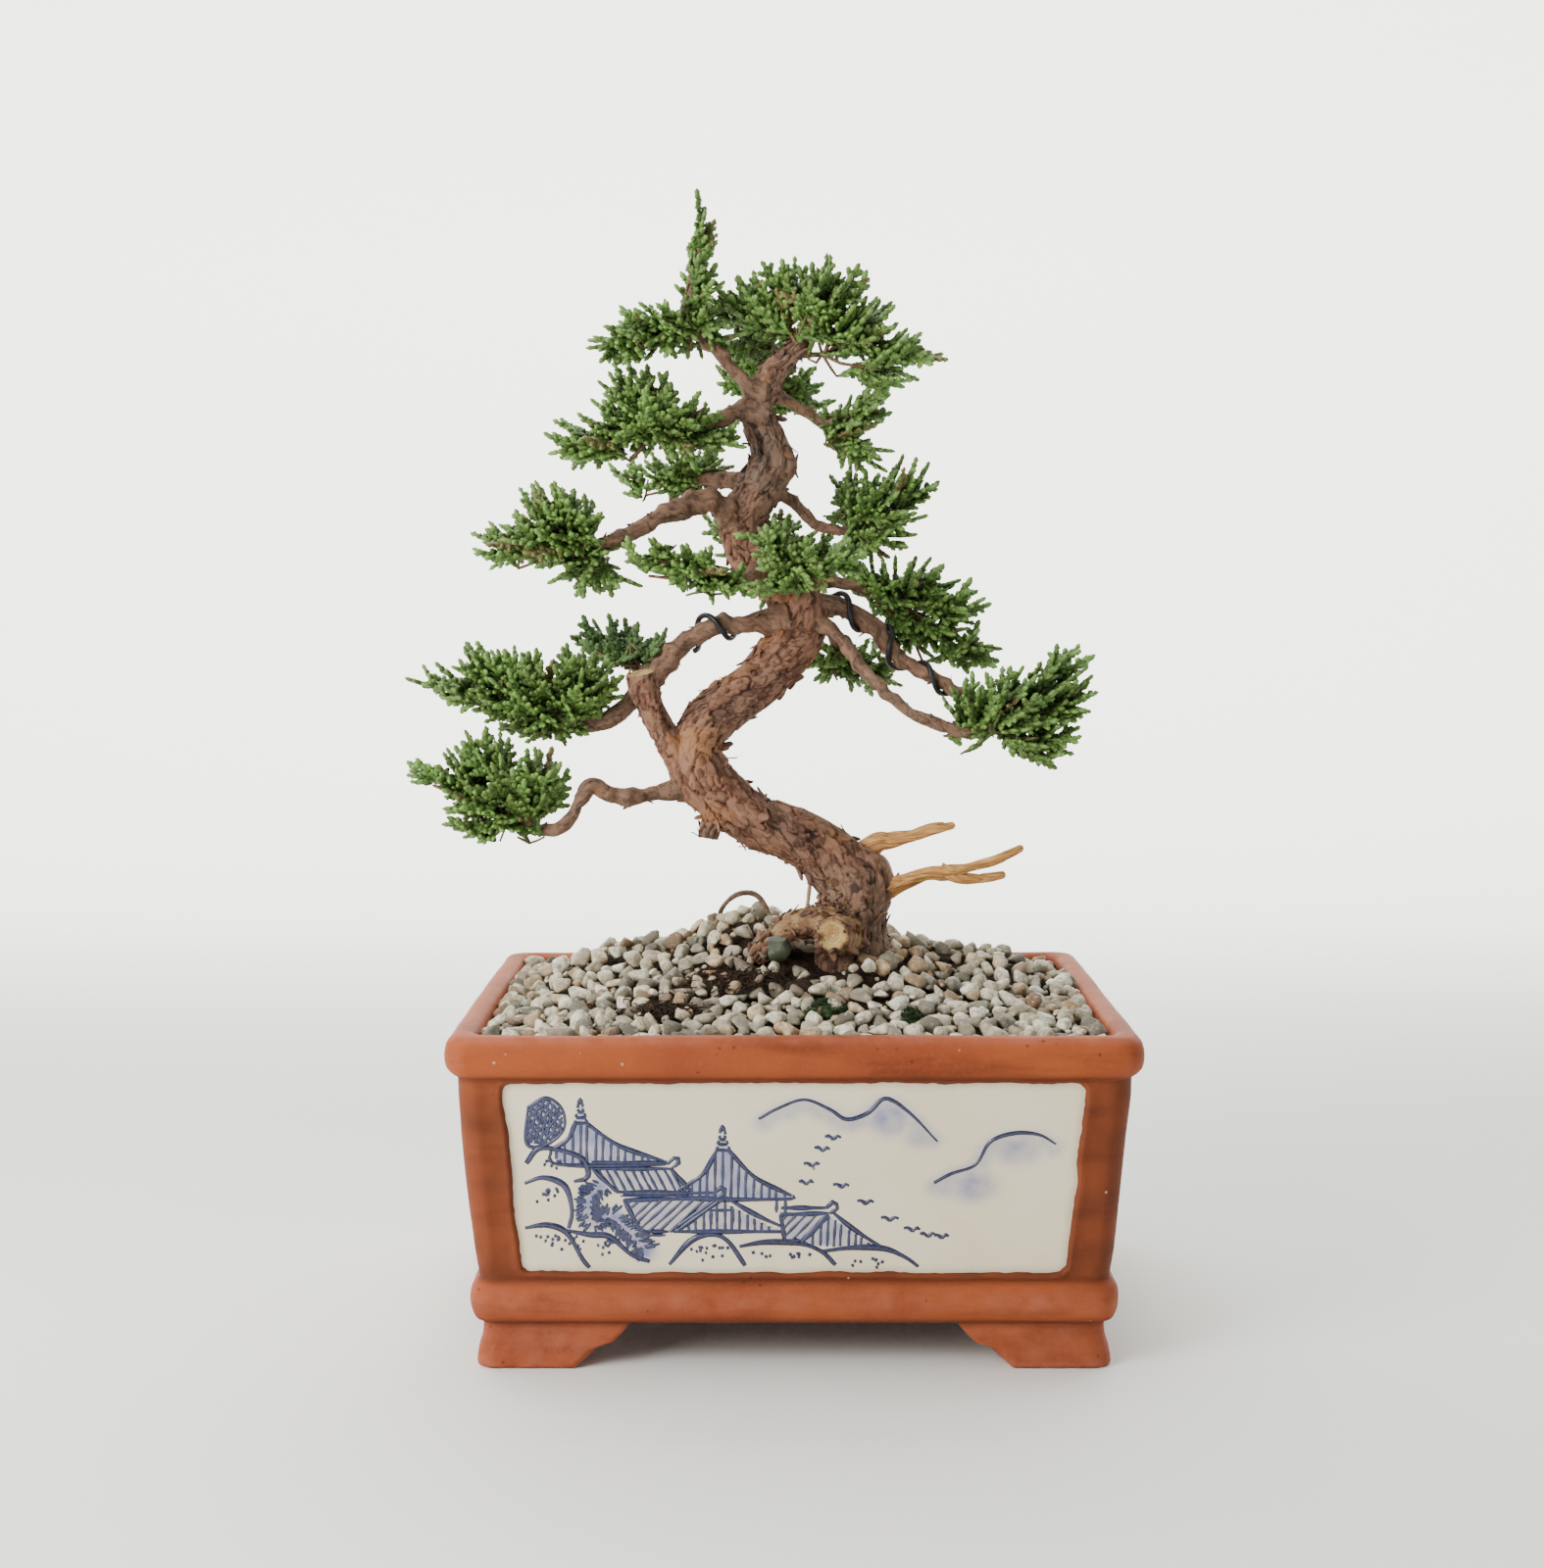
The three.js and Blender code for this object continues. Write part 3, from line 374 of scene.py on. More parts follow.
class Route:
    """A smooth path through given points, with a radius and a frame at each place."""

    def __init__(self, points, step=0.25):
        given = np.array(points, float)
        knots = np.vstack([2 * given[0] - given[1], given, 2 * given[-1] - given[-2]])
        pieces = []
        for i in range(len(given) - 1):
            a, b, c, d = knots[i:i + 4]
            length = np.linalg.norm(c[:3] - b[:3])
            t = np.linspace(0, 1, max(3, int(length / step)), endpoint=False)[:, None]
            bend = 2 * b + (c - a) * t + (2 * a - 5 * b + 4 * c - d) * t ** 2
            pieces.append((bend + (3 * b - a - 3 * c + d) * t ** 3) / 2)
        dense = np.vstack(pieces + [given[-1:]])
        self.place = dense[:, :3]
        self.radius = np.maximum(dense[:, 3], 0.3)
        gaps = np.linalg.norm(np.diff(self.place, axis=0), axis=1)
        self.along = np.concatenate([[0], np.cumsum(gaps)])
        self.length = self.along[-1]
        self.tangent = unit(np.gradient(self.place, self.along, axis=0))
        self.across = self._carried_across()
        self.up = np.cross(self.tangent, self.across)

    def _carried_across(self):
        first = self.tangent[0]
        start = np.array([1.0, 0, 0]) if abs(first[0]) < 0.8 else np.array([0, 1.0, 0])
        across = np.zeros_like(self.place)
        for i, tangent in enumerate(self.tangent):
            start = start - tangent * start.dot(tangent)
            start = start / np.linalg.norm(start)
            across[i] = start
        return across

    def at(self, along):
        """Place, radius, tangent, across and up at distances along the path."""
        def read(values):
            if values.ndim == 1:
                return np.interp(along, self.along, values)
            return np.stack([np.interp(along, self.along, v) for v in values.T], -1)
        return tuple(read(v) for v in (
            self.place, self.radius, self.tangent, self.across, self.up))


# ---------------------------------------------------------------- meshes and pieces
def grid_faces(rows, columns):
    """Quads between closed rings of points."""
    row = np.arange(rows - 1)[:, None] * columns
    column = np.arange(columns)[None, :]
    after = (column + 1) % columns
    corners = (row + column, row + after, row + columns + after, row + columns + column)
    return np.stack(corners, -1).reshape(-1, 4)


def fan_faces(ring_start, columns, tip, flip):
    column = np.arange(columns)
    here, after = ring_start + column, ring_start + (column + 1) % columns
    tips = np.full(columns, tip)
    return np.stack([tips, after, here] if flip else [tips, here, after], -1)


def skin(rows):
    """A closed skin over rings of points, its ends drawn to a point: points, quads, triangles."""
    rows = np.asarray(rows, float)
    count, columns = rows.shape[:2]
    points = np.vstack([rows.reshape(-1, 3), rows[0].mean(0)[None], rows[-1].mean(0)[None]])
    quads = grid_faces(count, columns)
    first = fan_faces(0, columns, count * columns, True)
    last = fan_faces((count - 1) * columns, columns, count * columns + 1, False)
    return points, quads, np.vstack([first, last])


def raw_mesh(name, points, faces, values=None, edges=(), smooth=True):
    """A mesh from its points just as given, with its pattern values as attributes."""
    mesh = bpy.data.meshes.new(name)
    mesh.from_pydata(points.tolist(), edges, faces)
    for key, column in (values or {}).items():
        column = np.asarray(column, float)
        kind, field = ("FLOAT", "value") if column.ndim == 1 else ("FLOAT_VECTOR", "vector")
        mesh.attributes.new(key, kind, "POINT").data.foreach_set(field, column.ravel())
    mesh.polygons.foreach_set("use_smooth", [smooth] * len(mesh.polygons))
    mesh.update()
    return mesh


def new_mesh(name, part, smooth=True):
    """A mesh in metres in the part's frame from a part in millimetres about the pot."""
    points, quads, triangles, values = part
    faces = quads.tolist() + triangles.tolist()
    return raw_mesh(name, (points + POT_CENTRE) * MM, faces, values, smooth=smooth)


def joined(parts):
    """Several (points, quads, triangles, values) as one."""
    points, quads, triangles, values, start = [], [], [], {}, 0
    for part_points, part_quads, part_triangles, part_values in parts:
        points.append(part_points)
        quads.append(part_quads + start)
        triangles.append(part_triangles + start)
        for key, column in part_values.items():
            values.setdefault(key, []).append(column)
        start += len(part_points)
    return (np.vstack(points), np.vstack(quads), np.vstack(triangles),
            {key: np.concatenate(columns) for key, columns in values.items()})


def place_piece(name, mesh, finish, slot, *nodes):
    """Puts a finished mesh in the scene as a piece that stands for CAD nodes."""
    mesh.name = name
    mesh.materials.clear()
    mesh.materials.append(finish)
    piece = bpy.data.objects.new(name, mesh)
    bpy.context.scene.collection.objects.link(piece)
    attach(piece, "root")
    if nodes:
        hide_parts(*nodes)
    return piece


# ---------------------------------------------------------------- node graphs
class Link:
    """A node's output that adds and multiplies like a number."""

    def __init__(self, graph, socket):
        self.graph = graph
        self.socket = socket

    def _maths(self, operation, *values):
        return self.graph.node("ShaderNodeMath", {"operation": operation}, *values)

    def __add__(self, other):
        return self._maths("ADD", self, other)

    def __sub__(self, other):
        return self._maths("SUBTRACT", self, other)

    def __rsub__(self, other):
        return self._maths("SUBTRACT", other, self)

    def __mul__(self, other):
        return self._maths("MULTIPLY", self, other)

    __radd__ = __add__
    __rmul__ = __mul__

    def between(self, low, high, to_low=0.0, to_high=1.0):
        """Smoothly maps low..high to to_low..to_high and holds it there."""
        return self.graph.node(
            "ShaderNodeMapRange", {"interpolation_type": "SMOOTHSTEP"},
            self, low, high, to_low, to_high)


class Graph:
    """Adds nodes to a shader or geometry tree."""

    def __init__(self, tree):
        self.tree = tree

    def node(self, kind, settings=None, *values, output=0, **named):
        """One node: its settings first, then values or links for its sockets by place or name."""
        made = self.tree.nodes.new(kind)
        stops = None
        for key, setting in (settings or {}).items():
            if key == "stops":
                stops = setting
            else:
                setattr(made, key, setting)
        if stops:
            self._set_stops(made.color_ramp, stops)
        for key, value in itertools.chain(enumerate(values), named.items()):
            if value is None:
                continue
            socket = self._socket(made, key)
            if isinstance(value, Link):
                self.tree.links.new(value.socket, socket)
            else:
                socket.default_value = value
        if isinstance(output, str):
            return Link(self, made.outputs[output])
        return Link(self, [socket for socket in made.outputs if socket.enabled][output])

    @staticmethod
    def _socket(made, key):
        if isinstance(key, int):
            return [s for s in made.inputs if s.enabled][key]
        words = key.replace("_", " ").lower()
        return next(s for s in made.inputs if s.enabled and s.name.lower() == words)

    @staticmethod
    def _set_stops(ramp, stops):
        while len(ramp.elements) < len(stops):
            ramp.elements.new(0.5)
        for element, (place, colour) in zip(ramp.elements, stops):
            element.position = place
            element.color = (*colour, 1)


class Finish(Graph):
    """A material whose surface is one Principled shader."""

    def __init__(self, name, **constants):
        self.material = bpy.data.materials.new(name)
        self.material.use_nodes = True
        super().__init__(self.material.node_tree)
        self.shader = self.tree.nodes["Principled BSDF"]
        for key, value in constants.items():
            self.shader.inputs[key.replace("_", " ").title().replace("Ior", "IOR")].default_value = value
        self.place = self.node("ShaderNodeTexCoord", output="Object")

    def attribute(self, name, vector=False):
        return self.node("ShaderNodeAttribute", {"attribute_name": name},
                         output="Vector" if vector else "Fac")

    def stretched(self, source, scale):
        """A vector with each axis scaled, so that a pattern is long one way."""
        return self.node("ShaderNodeVectorMath", {"operation": "MULTIPLY"}, source, scale)

    def noise(self, scale, source=None, detail=3.0, rough=0.55):
        return self.node("ShaderNodeTexNoise", None, Vector=source or self.place, Scale=scale,
                         Detail=detail, Roughness=rough)

    def cells(self, scale):
        return self.node("ShaderNodeTexVoronoi", None, output="Distance",
                         Vector=self.place, Scale=scale)

    def blend(self, share, first, second, way="MIX"):
        """A mix of two colours."""
        def colour(value):
            return value if isinstance(value, Link) else (*value, 1)
        return self.node("ShaderNodeMix", {"data_type": "RGBA", "blend_type": way},
                         share, colour(first), colour(second))

    def ramp(self, value, stops):
        return self.node("ShaderNodeValToRGB", {"stops": stops}, value)

    def finished(self, colour, roughness=None, height=None, strength=0.4, distance=0.0003):
        """Links the colour, roughness and relief to the shader and returns the material."""
        self.tree.links.new(colour.socket, self.shader.inputs["Base Color"])
        if isinstance(roughness, Link):
            self.tree.links.new(roughness.socket, self.shader.inputs["Roughness"])
        elif roughness is not None:
            self.shader.inputs["Roughness"].default_value = roughness
        if height is not None:
            bump = self.node("ShaderNodeBump", None, Strength=strength, Distance=distance,
                             Height=height)
            self.tree.links.new(bump.socket, self.shader.inputs["Normal"])
        return self.material


class Recipe(Graph):
    """A geometry-node tree with named inputs, run once on an object to give a plain mesh."""

    def __init__(self, name, inputs):
        super().__init__(bpy.data.node_groups.new(name, "GeometryNodeTree"))
        self.tree.interface.new_socket(
            name="Geometry", in_out="INPUT", socket_type="NodeSocketGeometry")
        self.tree.interface.new_socket(
            name="Geometry", in_out="OUTPUT", socket_type="NodeSocketGeometry")
        self.keys = {}
        for label, (kind, default) in inputs.items():
            socket = self.tree.interface.new_socket(
                name=label, in_out="INPUT", socket_type="NodeSocket" + kind)
            if default is not None:
                socket.default_value = default
            self.keys[label] = socket.identifier
        self.entry = self.tree.nodes.new("NodeGroupInput")

    def given(self, label="Geometry"):
        return Link(self, self.entry.outputs[label])

    def named(self, name, kind):
        """The value that each point carries under a name."""
        return self.node("GeometryNodeInputNamedAttribute", {"data_type": kind}, name)

    def finish(self, geometry, material):
        """Ends the tree: real geometry with its material."""
        real = self.node("GeometryNodeRealizeInstances", None, geometry)
        painted = self.node("GeometryNodeSetMaterial", None, Geometry=real, Material=material)
        leave = self.tree.nodes.new("NodeGroupOutput")
        self.tree.links.new(painted.socket, leave.inputs[0])

    def run(self, mesh, **inputs):
        """The mesh that the tree makes from a mesh and its named inputs."""
        carrier = bpy.data.objects.new("carrier", mesh)
        bpy.context.scene.collection.objects.link(carrier)
        modifier = carrier.modifiers.new("recipe", "NODES")
        modifier.node_group = self.tree
        for label, value in inputs.items():
            modifier[self.keys[label.replace("_", " ")]] = value
        graph = bpy.context.evaluated_depsgraph_get()
        result = bpy.data.meshes.new_from_object(carrier.evaluated_get(graph), depsgraph=graph)
        carrier.modifiers.clear()
        bpy.data.objects.remove(carrier)
        bpy.data.meshes.remove(mesh)
        for used in ("turn", "size", "shape", "thickness"):
            if used in result.attributes:
                result.attributes.remove(result.attributes[used])
        return result


# ---------------------------------------------------------------- finishes
def terracotta_finish(colour):
    """Burnished red clay: lighter on ridges and top edges, partly rubbed wear and partly painted highlight;
    painted shade in the grooves and the pits, and the walls between moulding and rim darker and mottled; with
    grog and lime specks.
    """
    f = Finish("terracotta", specular_ior_level=0.16)
    broad = f.noise(22, detail=4)
    streaks = f.noise(60, f.stretched(f.place, (0.35, 0.35, 2.2)), detail=5)
    grain = f.noise(900, detail=3)
    wear = f.attribute("wear")
    groove = f.attribute("groove")
    dark = tuple(c * 0.5 for c in colour)
    warm = tuple(min(1, c * k) for c, k in zip(colour, (1.35, 1.5, 1.3)))
    tone = f.blend(broad.between(0.3, 0.72), colour, warm)
    tone = f.blend(streaks.between(0.46, 0.72, 0, 0.6), tone, dark)
    tone = f.blend(grain.between(0.45, 0.8, 0, 0.2), tone, (0.42, 0.12, 0.055))
    wear_and_highlight_breakup = f.noise(130, detail=4)
    # Painted highlight and wear: the ridges, rim top, moulding crest and frame edges get a lighter clay
    # colour.
    tone = f.blend(wear * wear_and_highlight_breakup.between(0.3, 0.65, 0.1, 0.85), tone, (0.43, 0.13, 0.075))
    # Painted shade: dark in the grooves under the rim, over and under the moulding and in the recesses; the
    # same mask also darkens the whole wall band, mottled.
    tone = f.blend(groove * 0.8, tone, (0.09, 0.024, 0.01))
    pits = f.cells(230)
    lime = f.cells(170)
    spots = f.noise(75, detail=1)
    tone = f.blend((1 - lime.between(0.04, 0.09)) * spots.between(0.58, 0.62) * 0.7, tone, (0.6, 0.4, 0.28))
    # Painted shade: scattered dark dots stand for the shade inside small pits.
    dark = (1 - pits.between(0.06, 0.16)) * spots.between(0.47, 0.4) * 0.6
    tone = f.blend(dark, tone, (0.06, 0.014, 0.007))
    shine = 0.5 + grain * 0.22 + broad * 0.14 - wear * 0.14
    relief = grain * 0.3 + streaks * 0.6 + broad * 1.2
    return f.finished(tone, shine, relief, strength=0.55, distance=0.0004)


def glaze_relief(f):
    """The slow ripple and the pinholes that the glaze and the brush work share."""
    ripple = f.noise(55, detail=2)
    pinholes = f.cells(420)
    return ripple + pinholes.between(0.0, 0.12) * 0.12


def glaze_finish(cream, cobalt):
    """Cream white gloss glaze with soft blue washes and small iron specks."""
    f = Finish("glaze", specular_ior_level=0.6, coat_weight=0.35, coat_roughness=0.06)
    cloudy = f.noise(30, detail=4)
    tone = f.blend(cloudy.between(0.35, 0.7), cream, tuple(c * k for c, k in zip(cream, (0.95, 0.93, 0.88))))
    edge = f.attribute("pooled")
    tone = f.blend(edge * 0.5, tone, (0.52, 0.42, 0.29))
    wash = f.attribute("wash")
    mottled = wash * f.noise(190, detail=3).between(0.2, 0.75, 0.55, 1.0)
    tone = f.blend(mottled, tone, tuple(math.sqrt(c) * k for c, k in zip(cobalt, (1.0, 1.3, 1.75))))
    specks = f.cells(105)
    chosen = f.noise(33).between(0.56, 0.6)
    tone = f.blend((1 - specks.between(0.035, 0.07)) * chosen * 0.85, tone, (0.2, 0.1, 0.05))
    return f.finished(tone, 0.13, glaze_relief(f), strength=0.22, distance=0.0006)


def cobalt_finish(cobalt):
    """Brushed cobalt under the glaze, paler where the brush ran dry."""
    f = Finish("cobalt", specular_ior_level=0.6, coat_weight=0.35, coat_roughness=0.06)
    ink = f.attribute("ink")
    dry = f.noise(700, detail=3).between(0.3, 0.7, 0.0, 0.35)
    pale = (0.05, 0.07, 0.19)
    tone = f.blend((1 - ink) * 0.7 + dry, cobalt, pale)
    return f.finished(tone, 0.16, glaze_relief(f), strength=0.22, distance=0.0006)


def bark_finish(name, young=0.0):
    """Flaky juniper bark: cracks darkened with painted shade, red brown strips, weathered grey edges, tawny
    patches.
    """
    f = Finish(name, specular_ior_level=0.25)
    grain = f.attribute("grain", vector=True)
    strips = f.noise(900, f.stretched(grain, (1, 1, 0.16)), detail=5, rough=0.62)
    fine = f.noise(2600, f.stretched(grain, (1, 1, 0.1)), detail=4, rough=0.7)
    patches = f.noise(110, detail=3)
    relief = f.attribute("relief")
    aged = f.attribute("aged")
    tint = f.attribute("tint")
    tone = f.ramp(strips * 0.28 + patches * 0.3 + tint * 0.42, [
        (0.22, (0.05, 0.023, 0.014)), (0.38, (0.1, 0.045, 0.028)),
        (0.52, (0.18, 0.076, 0.044)), (0.66, (0.28, 0.126, 0.075)), (0.82, (0.37, 0.21, 0.145)),
    ])
    tawny = f.noise(75, detail=4).between(0.55, 0.63, 0, 0.8) * tint.between(0.35, 0.6)
    tone = f.blend(tawny, tone, (0.36, 0.16, 0.06))
    grey = f.ramp(strips, [
        (0.3, (0.06, 0.038, 0.028)), (0.52, (0.17, 0.115, 0.085)), (0.75, (0.33, 0.255, 0.195)),
    ])
    tone = f.blend(aged * f.noise(160, detail=3).between(0.3, 0.6, 0.45, 1.0), tone, grey)
    tone = f.blend(fine.between(0.3, 0.7, 0.4, 0), tone, (0.1, 0.05, 0.03), "MULTIPLY")
    # Painted shade: the cracks, where relief is low, darken almost to black.
    tone = f.blend((1 - relief.between(0.3, 0.66)) * 0.9, tone, (0.02, 0.009, 0.006))
    tone = f.blend(relief.between(0.82, 1.0, 0, 0.4), tone, (0.4, 0.23, 0.15))
    if young:
        tone = f.blend(young, tone, (0.17, 0.115, 0.075))
    cut = f.attribute("cut")
    middle = f.node("ShaderNodeVectorMath", {"operation": "LENGTH"}, f.stretched(grain, (1, 1, 0)))
    rings = f.node("ShaderNodeTexNoise", {"noise_dimensions": "1D"}, W=middle + strips * 0.0006,
                   Scale=2600.0, Detail=2.0)
    heart = f.ramp(rings, [(0.3, (0.2, 0.12, 0.045)), (0.52, (0.5, 0.35, 0.14)),
                           (0.72, (0.72, 0.56, 0.27))])
    heart = f.blend(f.noise(330, detail=4).between(0.45, 0.65, 0, 0.8), heart, (0.3, 0.15, 0.055))
    tone = f.blend(cut, tone, heart)
    height = strips * 0.5 + fine * 0.4
    return f.finished(tone, 0.8, height, strength=0.7, distance=0.0005)


def dead_wood_finish():
    """Bare wood, bleached and ambered along its fibres."""
    f = Finish("dead_wood", specular_ior_level=0.3)
    grain = f.attribute("grain", vector=True)
    fibres = f.noise(1500, f.stretched(grain, (1, 1, 0.06)), detail=5, rough=0.65)
    stains = f.noise(140, detail=3)
    relief = f.attribute("relief")
    tone = f.ramp(fibres, [
        (0.3, (0.14, 0.055, 0.016)), (0.46, (0.42, 0.2, 0.06)), (0.6, (0.68, 0.37, 0.125)),
        (0.8, (0.84, 0.54, 0.23)),
    ])
    tone = f.blend(stains.between(0.5, 0.68, 0, 0.6), tone, (0.5, 0.21, 0.06))
    # Painted shade: the splits, where relief is low, are darker.
    tone = f.blend((1 - relief.between(0.15, 0.45)) * 0.75, tone, (0.13, 0.06, 0.025))
    return f.finished(tone, 0.68, fibres, strength=0.6, distance=0.0005)


def foliage_finish(tip_colour, leaf_colour):
    """Scale leaves: darker deep inside the pad, partly older leaves and partly painted shade, fresh at the
    outer tips, with blue green and tawny shoots.
    """
    f = Finish("foliage", specular_ior_level=0.35)
    tint = f.attribute("tint")
    outer = f.attribute("outer")
    tip = f.attribute("tip")
    cool = f.attribute("cool")
    scales = f.noise(1500, detail=2)
    deep = tuple(c * 0.22 for c in leaf_colour)
    # Painted shade with older leaves: shoots deep inside the pad darken towards a fifth of the leaf colour.
    tone = f.blend(outer.between(0.0, 0.9, 0.15, 1.0), deep, leaf_colour)
    fresh = f.blend(tint, tip_colour, tuple(c * k for c, k in zip(tip_colour, (0.62, 0.8, 0.75))))
    # The fresh tip colour fades towards the pad's inside with the same painted shade.
    tone = f.blend(tip * outer.between(0.0, 0.8, 0.2, 1.0), tone, fresh)
    tone = f.blend(cool, tone, (0.075, 0.16, 0.085))
    tone = f.blend(tint.between(0.955, 0.97) * 0.85, tone, (0.22, 0.15, 0.06))
    tone = f.blend((1 - tip) * tint.between(0.6, 0.9, 0, 0.35), tone, (0.14, 0.1, 0.045))
    tone = f.blend(tint.between(0.1, 0.75, 0.5, 0), tone, deep)
    tone = f.blend(scales.between(0.3, 0.7, 0.4, 0), tone, deep)
    return f.finished(tone, 0.5, scales, strength=0.25, distance=0.0002)


def twig_finish():
    f = Finish("twig", specular_ior_level=0.3)
    fibres = f.noise(1200, detail=4)
    tone = f.ramp(fibres, [(0.3, (0.07, 0.035, 0.02)), (0.55, (0.17, 0.09, 0.05)), (0.8, (0.3, 0.2, 0.12))])
    tone = f.blend(f.attribute("leafy") * 0.7, tone, (0.08, 0.12, 0.03))
    return f.finished(tone, 0.75, fibres, strength=0.4, distance=0.0002)


def gravel_finish():
    """Mixed river pebbles: most grey or cream, some tan, rose and dark green, faintly speckled."""
    f = Finish("gravel", specular_ior_level=0.3)
    tint = f.attribute("tint")
    warm = f.attribute("warm")
    body = f.ramp(tint, [
        (0.0, (0.075, 0.085, 0.062)), (0.12, (0.15, 0.15, 0.115)), (0.32, (0.34, 0.32, 0.24)),
        (0.55, (0.6, 0.56, 0.42)), (0.8, (0.82, 0.77, 0.6)), (1.0, (0.9, 0.87, 0.74)),
    ])
    ochre = f.ramp(tint, [(0.1, (0.2, 0.085, 0.035)), (0.5, (0.46, 0.27, 0.125)), (0.9, (0.7, 0.5, 0.29))])
    tone = f.blend(warm, body, ochre)
    mottle = f.noise(460, detail=6, rough=0.72)
    tone = f.blend(mottle.between(0.44, 0.64, 0, 0.8), tone, (0.2, 0.185, 0.14))
    tone = f.blend(mottle.between(0.48, 0.3, 0, 0.45), tone, (0.88, 0.84, 0.74))
    mineral = f.cells(1900)
    tone = f.blend((1 - mineral.between(0.1, 0.3)) * 0.45, tone, (0.1, 0.09, 0.075))
    dust = f.noise(95, detail=3)
    tone = f.blend(dust.between(0.55, 0.75, 0, 0.35), tone, (0.38, 0.3, 0.2))
    return f.finished(tone, 0.62 + mottle * 0.3, mottle + mineral * 0.25, strength=0.8, distance=0.0005)


def soil_finish():
    """Dark crumbly mix with reddish baked grains and pale grit."""
    f = Finish("soil", specular_ior_level=0.2)
    crumbs = f.cells(420)
    grit = f.noise(700, detail=5, rough=0.7)
    tone = f.ramp(grit, [(0.3, (0.01, 0.007, 0.005)), (0.5, (0.03, 0.018, 0.011)),
                         (0.7, (0.06, 0.036, 0.021))])
    tone = f.blend(f.noise(120).between(0.54, 0.66, 0, 0.4), tone, (0.09, 0.042, 0.023))
    tone = f.blend((1 - crumbs.between(0.08, 0.2)) * 0.3, tone, (0.25, 0.2, 0.14))
    return f.finished(tone, 0.9, grit + crumbs, strength=0.8, distance=0.001)


def moss_finish():
    f = Finish("moss", specular_ior_level=0.2)
    tufts = f.noise(650, detail=4)
    tone = f.ramp(tufts, [(0.3, (0.01, 0.022, 0.009)), (0.55, (0.035, 0.065, 0.025)),
                          (0.8, (0.1, 0.15, 0.065))])
    return f.finished(tone, 0.85, tufts, strength=0.5, distance=0.0004)


def dark_stone_finish():
    f = Finish("dark_stone", specular_ior_level=0.35)
    veins = f.noise(260, detail=6, rough=0.7)
    tone = f.ramp(veins, [(0.3, (0.016, 0.022, 0.012)), (0.52, (0.045, 0.055, 0.032)),
                          (0.75, (0.12, 0.13, 0.08))])
    return f.finished(tone, 0.6, veins, strength=0.5, distance=0.0003)


def wire_finish():
    """Black anodised soft wire with faint drawing lines and a few scuffs."""
    f = Finish("wire", metallic=0.35, specular_ior_level=0.5)
    scuffs = f.noise(1300, detail=4)
    tone = f.blend(scuffs.between(0.6, 0.75, 0, 0.5), (0.012, 0.012, 0.014), (0.09, 0.085, 0.08))
    return f.finished(tone, 0.32 + scuffs * 0.2, scuffs, strength=0.15, distance=0.0001)


def straw_finish():
    f = Finish("straw", specular_ior_level=0.3)
    fibres = f.noise(2500, f.stretched(f.place, (1, 1, 0.15)), detail=3)
    tone = f.ramp(fibres, [(0.3, (0.3, 0.22, 0.12)), (0.7, (0.62, 0.52, 0.34))])
    return f.finished(tone, 0.7, fibres, strength=0.3, distance=0.0001)


def mesh_plastic_finish():
    f = Finish("mesh_plastic", specular_ior_level=0.4)
    dusty = f.noise(350, detail=3)
    tone = f.blend(dusty.between(0.4, 0.8), (0.012, 0.012, 0.012), (0.06, 0.05, 0.04))
    return f.finished(tone, 0.5 + dusty * 0.2, dusty, strength=0.2, distance=0.0002)


def floor_finish():
    """Matt white sheet that glows where it rises behind the pot, as a lit studio wall does."""
    f = Finish("floor", specular_ior_level=0.2, emission_strength=3.0)
    faint = f.noise(3, detail=2)
    tone = f.blend(faint, (0.8, 0.8, 0.78), (0.83, 0.83, 0.81))
    parts = f.node("ShaderNodeSeparateXYZ", {}, f.place, output="Y")
    glow = f.blend(parts.between(0.2, 1.25), (0, 0, 0), (0.99, 1.0, 0.94))
    f.tree.links.new(glow.socket, f.shader.inputs["Emission Color"])
    return f.finished(tone, 0.75)


# ---------------------------------------------------------------- wood
# Bulges on the trunk: a place on its skin, the bulge's breadth and its height, in mm.
TRUNK_BULGES = [
    (-1, 3, 263, 5.0, 2.6), (-33, -9, 166, 6.0, 1.8), (-31, -8, 172, 6.0, 1.6),
    (6, 3, 262, 6.0, 1.6), (6, 4, 219, 7.0, 1.4), (-20, 6, 247, 6.0, 1.4), (26, -3, 139, 6.5, 3.2),
    (27, -2, 131, 6.0, 2.6), (-15, 0, 280, 4.0, 1.3), (-14, 3, 287, 3.0, 1.0),
    (-23, -6, 158, 5.0, 1.6), (12, -6, 112, 7.0, 2.0), (28, 0, 112, 6.0, 1.6),
    (-2, 6, 208, 6.0, 1.0), (-16, 14, 252, 4.0, 1.2),
]


def bark_relief(grain, seed, depth):
    """Height of bark over its stem in mm, 0 in a crack to 1 on a plate, and each plate's tint."""
    lumps = fractal_noise(grain * (0.12, 0.12, 0.075), seed, 3)
    drift = np.stack([fractal_noise(grain * (0.34, 0.34, 0.2), seed + k, 3) for k in range(3)], 1)
    ragged = grain + drift * (2.6, 2.6, 4.5)
    broad_edge, broad_own = cell_noise(ragged * (0.17, 0.17, 0.075), seed + 9)
    edge, own = cell_noise(ragged * (0.36, 0.36, 0.19) + 7, seed + 19)
    fibres = fractal_noise(grain * (1.1, 1.1, 0.13), seed + 5, 3)
    layers = 0.66 * broad_own * smooth_step(0, 0.06, broad_edge) + 0.34 * own * smooth_step(0, 0.08, edge)
    height = depth * (0.8 * lumps + 1.5 * (layers - 0.4) + 0.13 * fibres)
    seams = np.minimum(smooth_step(0, 0.09, broad_edge), 0.45 + smooth_step(0, 0.14, edge))
    shown = np.clip(0.3 + 0.66 * seams + 0.12 * fibres, 0, 1)
    return height, shown, 0.25 + 0.45 * broad_own + 0.3 * own + 0.3 * lumps


